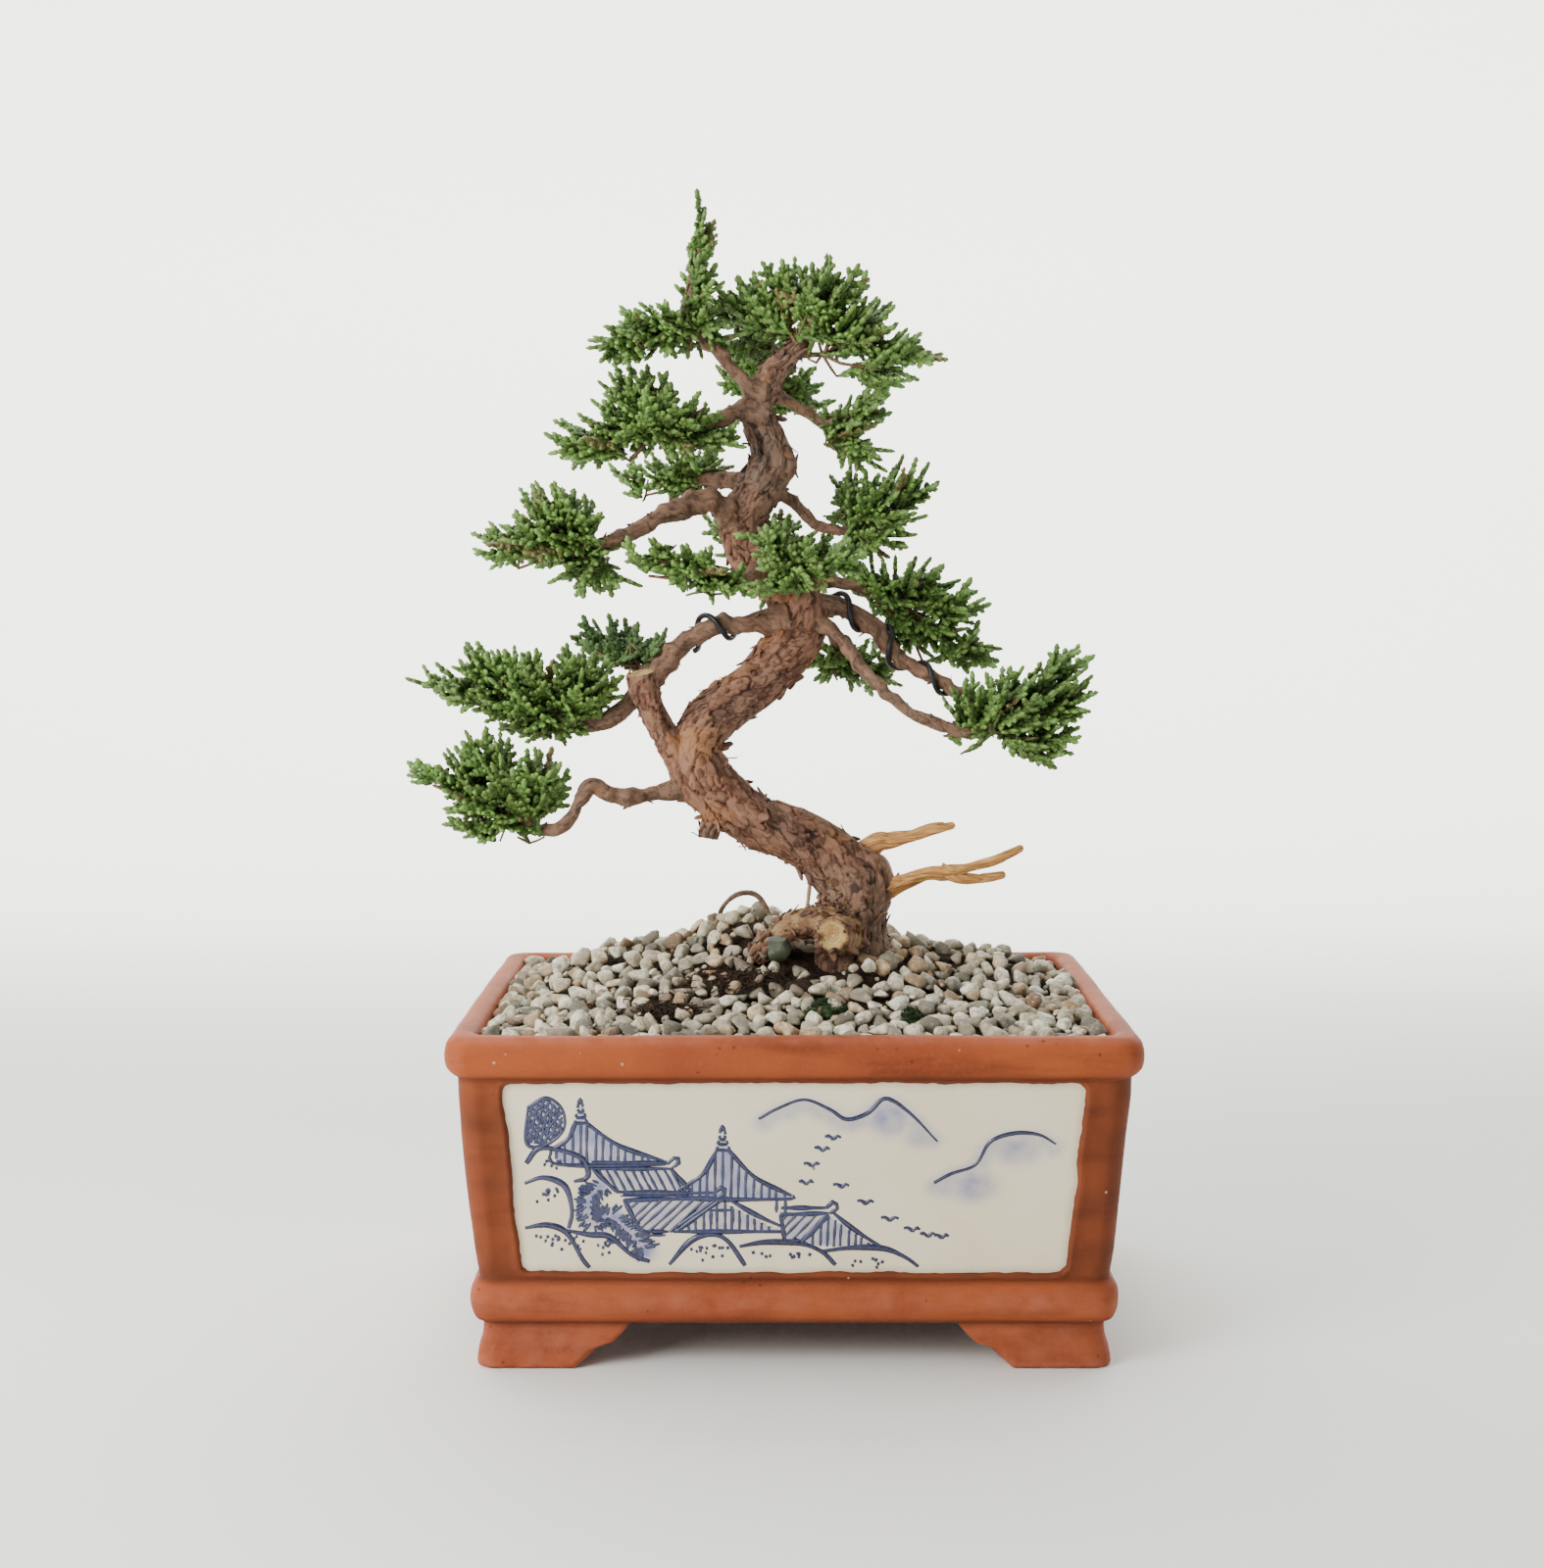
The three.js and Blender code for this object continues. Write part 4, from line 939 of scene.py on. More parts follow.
def swept_wood(points, seed, around, spacing, depth, twist=0.03, cut_end=False,
               bulges=(), relief=bark_relief, oval=0.0, knots=0.0):
    """A stem along a route with bark relief: points, quads, triangles and pattern values."""
    route = Route(points)
    along = np.linspace(0, route.length, max(6, int(route.length / spacing)))
    shrink = np.ones(len(along))
    push = np.zeros(len(along))
    cut = np.zeros(len(along))
    last_radius = points[-1][3]
    if cut_end:
        steps = ((0.97, 0.03, 0.3), (0.9, 0.07, 1), (0.7, 0.02, 1), (0.45, -0.03, 1), (0.2, -0.05, 1))
    else:
        steps = ((0.85, 0.35, 0), (0.6, 0.7, 0), (0.3, 0.9, 0))
    for share, forward, shown in steps:
        along = np.append(along, route.length)
        shrink = np.append(shrink, share)
        push = np.append(push, forward * last_radius)
        cut = np.append(cut, shown)
    place, radius, tangent, across, up = route.at(along)
    sway = [value_noise(np.stack([along * 0.32, along * 0.05, along * 0], 1) + k, seed) for k in range(3)]
    radius = radius * (1 + knots * (sway[0] + 0.35))
    place = place + knots * (across * sway[1][:, None] + up * sway[2][:, None]) * radius[:, None] * 1.6
    angle = np.linspace(0, 2 * math.pi, around, endpoint=False)[None, :] + twist * along[:, None]
    outward = across[:, None] * np.cos(angle)[..., None] + up[:, None] * np.sin(angle)[..., None]
    radius = radius[:, None] * (1 + oval * np.cos(2 * angle + seed))
    grain = np.stack([np.cos(angle - twist * along[:, None]) * radius,
                      np.sin(angle - twist * along[:, None]) * radius,
                      np.broadcast_to(along[:, None], radius.shape)], -1)
    height, crack, tint = relief(grain.reshape(-1, 3), seed, depth)
    height = height.reshape(radius.shape)
    skin_place = place[:, None] + outward * radius[..., None]
    for x, y, z, breadth, rise in bulges:
        distance = np.linalg.norm(skin_place - np.array([x, y, z]), axis=-1)
        height = height + rise * np.exp(-(distance / breadth) ** 2)
    reach = (radius + height) * shrink[:, None]
    rows = place[:, None] + outward * reach[..., None] + (tangent * push[:, None])[:, None]
    shown = np.broadcast_to(cut[:, None], radius.shape).reshape(-1)
    scaled = grain * np.where(shown > 0.5, shrink.repeat(around), 1).reshape(radius.shape)[..., None]
    made_points, quads, triangles = skin(rows)
    tail = np.vstack([scaled[0].mean(0)[None], scaled[-1].mean(0)[None]]) * MM
    values = {
        "tint": np.concatenate([tint, [0.5, 0.5]]),
        "grain": np.vstack([scaled.reshape(-1, 3) * MM, tail]),
        "relief": np.concatenate([np.where(shown > 0.5, 0.5, crack), [0.5, 0.5]]),
        "cut": np.concatenate([shown, [0, cut[-1]]]),
    }
    return made_points, quads, triangles, values


def add_age(part, age):
    """Gives a part its weathering, from a function of its points."""
    points, _, _, values = part
    values["aged"] = np.clip(age(points), 0, 1)
    return part


def trunk_age(points):
    """Grey low down, and on the callus at the high bend; ruddy between."""
    low = smooth_step(146, 126, points[:, 2])
    high = 0.5 * smooth_step(236, 262, points[:, 2])
    callus = np.exp(-(np.linalg.norm(points - (-4, 2, 262), axis=1) / 9) ** 2)
    mottled = 0.25 * (1 + fractal_noise(points * 0.06, 77, 2))
    return low * 0.7 + high + callus + mottled


def dead_relief(grain, seed, depth):
    """Split fibres of bare wood, with a second value that is low in the splits and sets their painted shade.
    """
    fibres = fractal_noise(grain * (0.9, 0.9, 0.06), seed, 4)
    splits = np.abs(fractal_noise(grain * (0.45, 0.45, 0.04), seed + 3, 2))
    groove = smooth_step(0.0, 0.12, splits)
    lumps = fractal_noise(grain * (0.2, 0.2, 0.1), seed + 6, 2)
    height = depth * (0.45 * fibres + 0.55 * (groove - 0.7) + 0.8 * lumps)
    return height, np.clip(0.25 + 0.6 * groove + 0.25 * fibres, 0, 1), lumps


def flake_shape():
    """One curled strip of loose bark, in mm: long, thin and closed."""
    length, width, thick = 1.0, 0.66, 0.06
    rows = []
    for k, share in enumerate((0.0, 0.3, 0.62, 0.86, 1.0)):
        curl = 0.26 * share ** 2
        half = width * (0.5, 1.0, 0.95, 0.75, 0.34)[k] / 2
        y = length * (share - 0.2)
        rows.append([(-half, y, curl), (0, y, curl + 0.04), (half, y, curl),
                     (half, y, curl - thick), (0, y, curl - thick + 0.03), (-half, y, curl - thick)])
    return skin(np.array(rows))


def turns_towards(forward, outward):
    """Turns that take +Y to forward and +Z towards outward, as Euler angles."""
    forward = unit(forward)
    side = unit(np.cross(forward, outward))
    above = np.cross(side, forward)
    turns = np.stack([side, forward, above], -1)
    return np.array([Matrix(turn).to_euler() for turn in turns])


def shape_collection(name, parts):
    """Small shapes to be repeated, each about its own origin, in their order."""
    shapes = bpy.data.collections.new(name)
    for k, (points, quads, triangles, values) in enumerate(parts):
        mesh = raw_mesh(name, points, quads.tolist() + triangles.tolist(), values)
        shapes.objects.link(bpy.data.objects.new(f"{name}_{k:02d}", mesh))
    return shapes


def repeating_recipe():
    """Repeats chosen shapes on points, each copy with its own turn, size and values."""
    recipe = Recipe("repeat_on_points", {
        "Shapes": ("Collection", None), "Finish": ("Material", None), "Scale": ("Float", 1.0),
    })
    shapes = recipe.node("GeometryNodeCollectionInfo", None, recipe.given("Shapes"), True, True)
    turn = recipe.named("turn", "FLOAT_VECTOR")
    size = recipe.node("ShaderNodeVectorMath", {"operation": "SCALE"}, recipe.named("size", "FLOAT_VECTOR"),
                       Scale=recipe.given("Scale"))
    placed = recipe.node(
        "GeometryNodeInstanceOnPoints", None, Points=recipe.given(), Instance=shapes,
        Pick_Instance=True, Instance_Index=recipe.named("shape", "INT"),
        Rotation=recipe.node("FunctionNodeEulerToRotation", None, turn), Scale=size)
    recipe.finish(placed, recipe.given("Finish"))
    return recipe


def repeated(shapes, places, turns, sizes, finish, scale=1.0, **values):
    """The mesh of shapes repeated at places, in mm, with a value of each kind for every copy."""
    values = {"turn": turns, "size": sizes * MM, "shape": np.zeros(len(places)), **values}
    mesh = raw_mesh("points", (places + POT_CENTRE) * MM, [], values)
    made = repeating_recipe().run(mesh, Shapes=shapes, Finish=finish, Scale=scale)
    for shape in list(shapes.objects):
        bpy.data.objects.remove(shape)
    bpy.data.collections.remove(shapes)
    return made


def following_recipe():
    """Draws a closed rod or a flat stroke along lines, as thick as each line says."""
    recipe = Recipe("follow_lines", {
        "Sides": ("Int", 8), "Flatness": ("Float", 1.0), "Finish": ("Material", None),
    })
    line = recipe.node("GeometryNodeMeshToCurve", None, recipe.given())
    outline = recipe.node("GeometryNodeCurvePrimitiveCircle", {"mode": "RADIUS"},
                          Resolution=recipe.given("Sides"), Radius=1.0)
    rod = recipe.node("GeometryNodeCurveToMesh", None, Curve=line, Profile_Curve=outline,
                      Scale=recipe.named("thickness", "FLOAT"), Fill_Caps=True)
    flat = recipe.node("ShaderNodeCombineXYZ", None, 1.0, 1.0, recipe.given("Flatness"))
    pressed = recipe.node("GeometryNodeTransform", None, Geometry=rod, Scale=flat)
    recipe.finish(pressed, recipe.given("Finish"))
    return recipe


def followed(lines, finish, sides=8, flatness=1.0, **values):
    """Rods along lines of (x, y, z, radius), in metres as given."""
    points, edges, start = [], [], 0
    for line in lines:
        points.append(np.asarray(line, float))
        edges += [(start + k, start + k + 1) for k in range(len(line) - 1)]
        start += len(line)
    points = np.vstack(points)
    values = {"thickness": points[:, 3], **values}
    mesh = raw_mesh("lines", points[:, :3], [], values, edges)
    return following_recipe().run(mesh, Sides=sides, Flatness=flatness, Finish=finish)


def loose_flakes(part, rng, count, finish, length):
    """Curled bark strips standing off a part's skin, lying along its grain."""
    points, quads, _, values = part
    grain = values["grain"]
    chosen = np.array(rng.sample(range(len(quads)), count))
    corner = quads[chosen]
    along = unit((points[corner[:, 3]] - points[corner[:, 0]]))
    outward = unit(np.cross(points[corner[:, 1]] - points[corner[:, 0]], along))
    keep = values["cut"][corner[:, 0]] < 0.5
    heading = along * np.array([rng.choice((-1, 1)) for _ in chosen])[:, None]
    heading = unit(heading + outward * 0.12 + np.cross(outward, along)
                   * np.array([rng.gauss(0, 0.22) for _ in chosen])[:, None])
    reach = np.array([length * rng.uniform(0.5, 1.5) for _ in chosen])
    sizes = np.stack([reach * 0.9, reach, reach * 0.9], 1)
    place = points[corner[:, 0]] - outward * 0.12
    return repeated(shape_collection("flake", [(*flake_shape(), {})]), place[keep],
                    turns_towards(heading, outward)[keep], sizes[keep], finish,
                    grain=grain[corner[keep, 0]], relief=np.full(keep.sum(), 0.75),
                    tint=values["tint"][corner[keep, 0]],
                    aged=values["aged"][corner[keep, 0]], cut=np.zeros(keep.sum()))


def merged_mesh(name, meshes):
    """Several meshes as one, through Blender's own join, which keeps their attributes."""
    carriers = [bpy.data.objects.new(name, mesh) for mesh in meshes]
    for carrier in carriers:
        bpy.context.scene.collection.objects.link(carrier)
    with bpy.context.temp_override(active_object=carriers[0], selected_editable_objects=carriers):
        bpy.ops.object.join()
    result = carriers[0].data
    bpy.data.objects.remove(carriers[0])
    return result


# ---------------------------------------------------------------- foliage
def shoot_shape(seed, sides, stations, plump):
    """A cord of overlapping scale leaves along +Y, one unit long, with its tip value."""
    rng = random.Random(seed)
    rows, tips = [], []
    for k, share in enumerate(stations):
        taper = 1 - 0.25 * share ** 2.5
        scale = 1.25 if k % 2 else 0.86
        half = plump * taper * (scale if 0 < k < len(stations) - 1 else 0.6)
        bend = 0.03 * math.sin(3 * share + seed)
        ring = []
        for i in range(sides):
            angle = 2 * math.pi * (i + 0.5 * (k % 2)) / sides
            wide = half * (1 + rng.uniform(-0.12, 0.12))
            flat = 0.78 if abs(math.sin(angle)) > 0.6 else 1.0
            ring.append((bend + wide * math.cos(angle), share, wide * flat * math.sin(angle)))
        rows.append(ring[::-1])
        tips += [share] * sides
    points, quads, triangles = skin(np.array(rows))
    points[-1, 1] += 0.07
    return points, quads, triangles, {"tip": np.array(tips + [0.0, 1.0])}


def lobe_distance(points, lobes):
    """How far points lie outside the nearest lobe, in mm; negative inside."""
    nearest = np.full(len(points), 1e9)
    for x, y, z, rx, ry, rz in lobes:
        scaled = (points - (x, y, z)) / (rx, ry, rz)
        nearest = np.minimum(nearest, (np.linalg.norm(scaled, axis=1) - 1) * min(rx, ry, rz))
    return nearest


def fringe(lobes):
    """Looser growth beyond a pad: a smaller lobe on the outer side of every other main one."""
    centres = np.array([lobe[:3] for lobe in lobes])
    sizes = np.array([lobe[3:] for lobe in lobes])
    away = unit(centres - centres.mean(axis=0) + (0.0, 0.0, 1.0))
    places = centres + away * sizes * 0.85
    return [(*place, *size) for place, size in zip(places, sizes * (0.75, 0.6, 0.6))][::2]


def spread_over_lobes(lobes, rng, gap, depth):
    """Evenly spread places at a depth below the pad's surface, with their outward directions."""
    kept, normals = [], []
    for x, y, z, rx, ry, rz in lobes:
        size = np.array([rx, ry, rz]) - depth
        if size.min() <= 1:
            continue
        area = 4 * math.pi * ((size[0] * size[1]) ** 1.6 / 3 + (size[0] * size[2]) ** 1.6 / 3
                              + (size[1] * size[2]) ** 1.6 / 3) ** (1 / 1.6)
        for _ in range(int(area / (gap * gap) * 6)):
            direction = np.array([rng.gauss(0, 1) for _ in range(3)])
            direction /= np.linalg.norm(direction)
            place = np.array([x, y, z]) + direction * size
            if lobe_distance(place[None], lobes)[0] < -depth - 1.2:
                continue
            if kept and np.min(np.linalg.norm(np.array(kept) - place, axis=1)) < gap:
                continue
            kept.append(place)
            normals.append(direction / size)
    return np.array(kept), unit(np.array(normals)) if kept else np.zeros((0, 3))


def grow_spray(shoots, rng, base, middle, tip, side, kind, vigour):
    """One flat fan: a bending axis with side shoots left and right, shorter towards its tip.

    Each shoot is a row of its start, direction, fan side, length, thickness, tint and shape.
    """
    def on_axis(t):
        return (1 - t) ** 2 * base + 2 * t * (1 - t) * middle + t * t * tip

    length = np.linalg.norm(tip - base)
    count = max(3, int(length / 1.75))
    tint = rng.random()
    for k in range(count + 1):
        t = 0.12 + 0.88 * k / count
        here, after = on_axis(t), on_axis(min(1, t + 0.02))
        forward = unit((after - here) if t < 0.97 else (tip - on_axis(0.9)))
        across = unit(side - forward * forward.dot(side))
        if k == count:
            shoots.append((*(here - forward * 0.5), *forward, *across, vigour * rng.uniform(3.0, 4.2),
                           rng.uniform(0.95, 1.15), tint, kind))
            continue
        if k % 2 == 0:
            shoots.append((*(here - forward * 0.4), *forward, *across, length / count * 2.6, 1.05,
                           tint, kind if t > 0.4 else 1))
        hand = 1 if k % 2 else -1
        spread = math.radians(rng.uniform(34, 52))
        lift = rng.uniform(-0.22, 0.22)
        out = unit(forward * math.cos(spread) + across * hand * math.sin(spread)
                   + np.cross(forward, across) * lift)
        reach = vigour * (5.6 - 2.6 * t) * rng.uniform(0.75, 1.15)
        shoots.append((*here, *out, *unit(across + forward * 0.2), reach, rng.uniform(0.9, 1.12),
                       min(1, max(0, tint + rng.uniform(-0.12, 0.12))), kind))
        if reach > 3.6:
            for share, turn in ((0.42, -hand), (0.62, hand)):
                fork = here + out * reach * share
                again = unit(out * math.cos(0.7) + unit(across * turn * 0.5 + forward * 0.5) * 0.62)
                shoots.append((*fork, *again, *across, reach * rng.uniform(0.42, 0.6),
                               rng.uniform(0.85, 1.02), tint, kind))


def grow_pad(lobes, root, seed, gap):
    """All the sprays of a pad, grown outwards from where its limb ends."""
    rng = random.Random(seed)
    shoots = []
    hubs = []
    for depth, spacing, kind, vigour in ((1.8, gap, 0, 1.0), (5.2, gap * 1.18, 1, 0.95)):
        places, normals = spread_over_lobes(lobes, rng, spacing, depth)
        for place, normal in zip(places, normals):
            away = unit(place - root)
            heading = unit(normal * 0.7 + away * 0.85 + np.array([0, 0, 0.16])
                           + np.array([rng.gauss(0, 0.28) for _ in range(3)]))
            reach = rng.uniform(8.5, 13.5)
            tip = place + heading * rng.uniform(-0.5, 2.0)
            base = tip - heading * reach + away * -1.0 + np.array([0, 0, -1.5 * rng.random()])
            middle = (base + tip) / 2 + away * rng.uniform(-1.2, 1.2) - np.array([0, 0, 0.9])
            flat = np.cross(heading, np.array([0, 0, 1.0]) + 0.5 * normal)
            side = unit(flat + np.array([rng.gauss(0, 0.35) for _ in range(3)]))
            grow_spray(shoots, rng, base, middle, tip, side, kind, vigour)
            hubs.append(base)
    return np.array(shoots), np.array(hubs)


def pad_twigs(hubs, root, seed, spread):
    """A fork from the limb's end, bare twigs to the middle of each group of sprays, then to each."""
    rng = random.Random(seed)
    centres = []
    for hub in rng.sample(range(len(hubs)), len(hubs)):
        if all(np.linalg.norm(hubs[hub] - c) > spread for c in centres):
            centres.append(hubs[hub])
    fork = root * 0.4 + hubs.mean(axis=0) * 0.6
    bend = (root + fork) / 2 + np.array([0, 0, 1.0])
    twigs = [((*root, 1.2), (*bend, 1.1), (*fork, 0.8))]
    for centre in centres:
        sag = np.array([rng.uniform(-1, 1), rng.uniform(-1, 1), rng.uniform(-2, 0.5)])
        middle = (fork + centre) / 2 + sag
        twigs.append(((*fork, 0.65), (*middle, 0.55), (*centre, 0.42)))
    for hub in hubs:
        nearest = min(centres, key=lambda c: np.linalg.norm(c - hub))
        if np.linalg.norm(nearest - hub) > 0.8:
            middle = (nearest + hub) / 2 + np.array([0, 0, rng.uniform(-0.6, 0.3)])
            twigs.append(((*nearest, 0.42), (*middle, 0.4), (*hub, 0.36)))
    return twigs


def twig_part(twigs):
    """Every twig as a thin three-sided tube, in one skin."""
    parts = []
    for twig in twigs:
        points = np.array(twig, float)
        forward = unit(points[-1, :3] - points[0, :3])
        across = unit(np.cross(forward, (0.3, 0.2, 1.0)))
        up = np.cross(forward, across)
        angle = 2 * math.pi * np.arange(4) / 4
        around = across * np.cos(angle)[:, None] + up * np.sin(angle)[:, None]
        rows = points[:, None, :3] + around[None] * points[:, None, 3:]
        made, quads, triangles = skin(rows)
        leafy = np.full(len(made), 1.0 if twig[0][3] < 0.5 else 0.0)
        parts.append((made, quads, triangles, {"leafy": leafy}))
    return joined(parts)


def shoot_mesh(shoots, lobes, thickness, finish, cool):
    """The cords of one pad as a mesh, each with how far out it sits, which sets the foliage's painted shade.
    """
    start, forward, side = shoots[:, 0:3], shoots[:, 3:6], shoots[:, 6:9]
    length, thick = shoots[:, 9], shoots[:, 10] * thickness
    outer = 1 + lobe_distance(start + forward * length[:, None] * 0.5, lobes) / 7.5
    shapes = shape_collection("cord", [
        shoot_shape(1, 4, (0, 0.22, 0.46, 0.7, 0.93), 0.5),
        shoot_shape(2, 3, (0, 0.5, 0.92), 0.5),
    ])
    return repeated(shapes, start, turns_towards(forward, np.cross(side, forward)),
                    np.stack([thick, length, thick], 1), finish, shape=shoots[:, 12],
                    tint=shoots[:, 11], outer=np.clip(outer, 0, 1), cool=np.full(len(shoots), cool))


# ---------------------------------------------------------------- ground
def rounded_ring(half_width, half_depth, radius, columns):
    """Evenly spaced points round a rounded rectangle, anticlockwise."""
    corners = []
    for cx, cy, start in ((1, 1, 0), (-1, 1, 90), (-1, -1, 180), (1, -1, 270)):
        middle = (cx * (half_width - radius), cy * (half_depth - radius))
        for degrees in range(start, start + 91, 9):
            turn = math.radians(degrees)
            corners.append((middle[0] + radius * math.cos(turn), middle[1] + radius * math.sin(turn)))
    outline = np.array(corners + corners[:1])
    along = np.concatenate([[0], np.cumsum(np.linalg.norm(np.diff(outline, axis=0), axis=1))])
    want = np.linspace(0, along[-1], columns, endpoint=False)
    return np.stack([np.interp(want, along, outline[:, axis]) for axis in (0, 1)], 1)


def gravel_height(x, y):
    height = np.full(np.shape(x), float(GRAVEL_EDGE_HEIGHT))
    for hill_x, hill_y, rise, breadth in GRAVEL_HILLS:
        distance = (x - hill_x) ** 2 + (y - hill_y) ** 2
        height = height + rise * np.exp(-distance / (2 * (0.62 * breadth) ** 2))
    return height


def bare_patch(x, y):
    """1 where the gravel is thin and the soil shows."""
    return np.max([np.exp(-(((x - a) / wide) ** 2 + ((y - b) / deep) ** 2) ** 2)
                   for a, b, wide, deep in BARE_PATCHES], axis=0)


def gravel_bed(columns, rings):
    """Crumbly bed under the pebbles, closed below."""
    rows = []
    for z, half_width, half_depth in ((87.0, 20, 12), (86.8, 89.4, 64.4), (96.0, 91.2, 66.2)):
        ring = rounded_ring(half_width, half_depth, 6, columns)
        rows.append(np.column_stack([ring, np.full(columns, z)]))
    for share in np.linspace(1, 0.02, rings):
        ring = rounded_ring(BED_HALF_WIDTH * share, BED_HALF_DEPTH * share, 6 * share, columns)
        place = np.column_stack([ring, np.zeros(columns)])
        lumps = fractal_noise(place * 0.16, 3, 3) * 1.8 + fractal_noise(place * 0.9, 5, 2) * 0.5
        place[:, 2] = gravel_height(ring[:, 0], ring[:, 1]) - 4.4 + lumps
        place[:, 2] += 4.2 * bare_patch(ring[:, 0], ring[:, 1])
        rows.append(place)
    points, quads, triangles = skin(rows)
    return points, quads, triangles, {}


def pebble_shape(seed, cuts=2):
    """A broken stone with worn corners, about one unit across."""
    rng = random.Random(seed)
    block = bmesh.new()
    bmesh.ops.create_cube(block, size=2)
    bmesh.ops.subdivide_edges(block, edges=block.edges, cuts=cuts, use_grid_fill=True)
    flats = [(Vector([rng.gauss(0, 1) for _ in range(3)]).normalized(), rng.uniform(0.45, 0.75))
             for _ in range(8)]
    for vertex in block.verts:
        place = vertex.co.normalized()
        place *= 1.06 + 0.16 * math.sin(3 * place.x + seed) * math.cos(2 * place.y + 2 * seed)
        for normal, height in flats:
            over = place.dot(normal) - height
            if over > 0:
                place -= normal * over * 0.95
        vertex.co = place * 0.5
    block.verts.index_update()
    points = np.array([vertex.co for vertex in block.verts])
    quads = np.array([[vertex.index for vertex in face.verts] for face in block.faces])
    block.free()
    return points, quads, np.zeros((0, 3), int), {}


def scattered_stones(rng, sizes, tries, kept=(), overlap=0.8):
    """Stone places on the mound: x, y and half width, kept apart; big ones are tried first."""
    kept = list(kept)
    first = len(kept)
    for low, high, count in sizes:
        for _ in range(count):
            half = rng.uniform(low, high)
            for _ in range(tries):
                x, y = rng.uniform(-91, 91), rng.uniform(-66, 66)
                x = math.copysign(min(abs(x), BED_HALF_WIDTH - half), x)
                y = math.copysign(min(abs(y), BED_HALF_DEPTH - half), y)
                if rng.random() < bare_patch(x, y) * (1.0 if half > 1.9 else 0.72):
                    continue
                if any((x - a) ** 2 + (y - b) ** 2 < (c + half * 0.6) ** 2 for a, b, c in STANDING_THINGS):
                    continue
                others = np.array(kept) if kept else np.zeros((1, 3)) + 999
                gap = np.hypot(others[:, 0] - x, others[:, 1] - y) - overlap * (others[:, 2] + half)
                if gap.min() > 0:
                    kept.append((x, y, half))
                    break
    return np.array(kept[first:]), kept


def stone_mesh(rng, stones, sink, finish, warm_share, dark_share):
    """Stones lying on the mound, flattish, each turned its own way."""
    x, y, half = stones.T
    squash = np.array([rng.uniform(0.55, 0.85) for _ in half])
    long = np.array([rng.uniform(0.95, 1.3) for _ in half])
    z = gravel_height(x, y) + half * squash * (0.5 - sink) - 1.2
    z += np.array([rng.gauss(0, 0.55) for _ in half])
    slope = np.stack([gravel_height(x + 1, y) - gravel_height(x - 1, y),
                      gravel_height(x, y + 1) - gravel_height(x, y - 1), np.full(len(x), -2.0)], 1)
    up = unit(-slope + np.array([[rng.gauss(0, 0.5) for _ in range(3)] for _ in half]))
    heading = np.array([[rng.gauss(0, 1), rng.gauss(0, 1), 0.0] for _ in half])
    heading = unit(heading - up * (heading * up).sum(1)[:, None])
    tint = np.array([rng.random() * 0.15 if rng.random() < dark_share else 0.2 + 0.8 * rng.random()
                     for _ in half])
    warm = np.array([rng.uniform(0.6, 1) if rng.random() < warm_share else rng.uniform(0, 0.3)
                     for _ in half])
    thin = bare_patch(x, y)
    warm = np.clip(warm + thin * 0.5, 0, 1)
    tint = tint * (1 - 0.4 * thin)
    shapes = shape_collection("pebble", [pebble_shape(seed) for seed in range(PEBBLE_KINDS)])
    sizes = np.stack([half * 2, half * 2 * long, half * 2 * squash], 1)
    return repeated(shapes, np.stack([x, y, z], 1), turns_towards(heading, up), sizes, finish,
                    shape=np.array([rng.randrange(PEBBLE_KINDS) for _ in half]), tint=tint, warm=warm)


def litter_lines(rng, count):
    """Dry needles and rootlets lying on the bare patches."""
    lines = []
    for _ in range(count):
        a, b, wide, deep = rng.choice(BARE_PATCHES[:2])
        here = np.array([a + wide * rng.gauss(0, 0.5), b + deep * rng.gauss(0, 0.5)])
        turn = rng.uniform(0, 2 * math.pi)
        lift = rng.uniform(-0.6, 0.8)
        points = []
        for _ in range(4):
            x, y = here
            z = gravel_height(x, y) + lift + rng.uniform(-0.3, 0.5)
            points.append((*(np.array([x, y, z]) + POT_CENTRE) * MM, rng.uniform(0.14, 0.24) * MM))
            turn += rng.gauss(0, 0.5)
            here = here + rng.uniform(1.0, 1.9) * np.array([math.cos(turn), math.sin(turn)])
        lines.append(points)
    return lines


def tuft_shape():
    """One moss leaf rosette: three little crossed blades, closed."""
    parts = []
    for k in range(3):
        turn = 2 * math.pi * k / 3
        lean = np.array([math.cos(turn), math.sin(turn), 0]) * 0.35
        side = np.array([-math.sin(turn), math.cos(turn), 0]) * 0.16
        thick = np.array([0, 0, 0.05])
        rows = []
        for share, width in ((0.0, 1.0), (0.5, 0.9), (1.0, 0.25)):
            middle = lean * share * (1 + share) + np.array([0, 0, share * 0.9])
            rows.append([middle - side * width, middle - thick, middle + side * width, middle + thick])
        points, quads, triangles = skin(np.array(rows))
        parts.append((points, quads, triangles, {}))
    return joined(parts)


def blob(centre, half, seed, rough, around=26, rows=16):
    """A lumpy closed mound or stone about a centre."""
    turn = np.linspace(0, 2 * math.pi, around, endpoint=False)
    rings = []
    for share in np.linspace(0.04, 0.96, rows):
        rise = -math.cos(math.pi * share)
        wide = math.sin(math.pi * share)
        way = np.stack([np.cos(turn) * wide, np.sin(turn) * wide, np.full(around, rise)], 1)
        swell = 1 + rough * fractal_noise(way * 1.7 + 3, seed, 4)[:, None]
        rings.append(np.array(centre) + way * swell * np.array(half))
    points, quads, triangles = skin(rings)
    return points, quads, triangles, {}


# ---------------------------------------------------------------- pot
def side_turn(quarter):
    """The way along a side and the way out of it, seen from above."""
    turn = quarter * math.pi / 2
    return np.array([math.cos(turn), math.sin(turn)]), np.array([math.sin(turn), -math.cos(turn)])


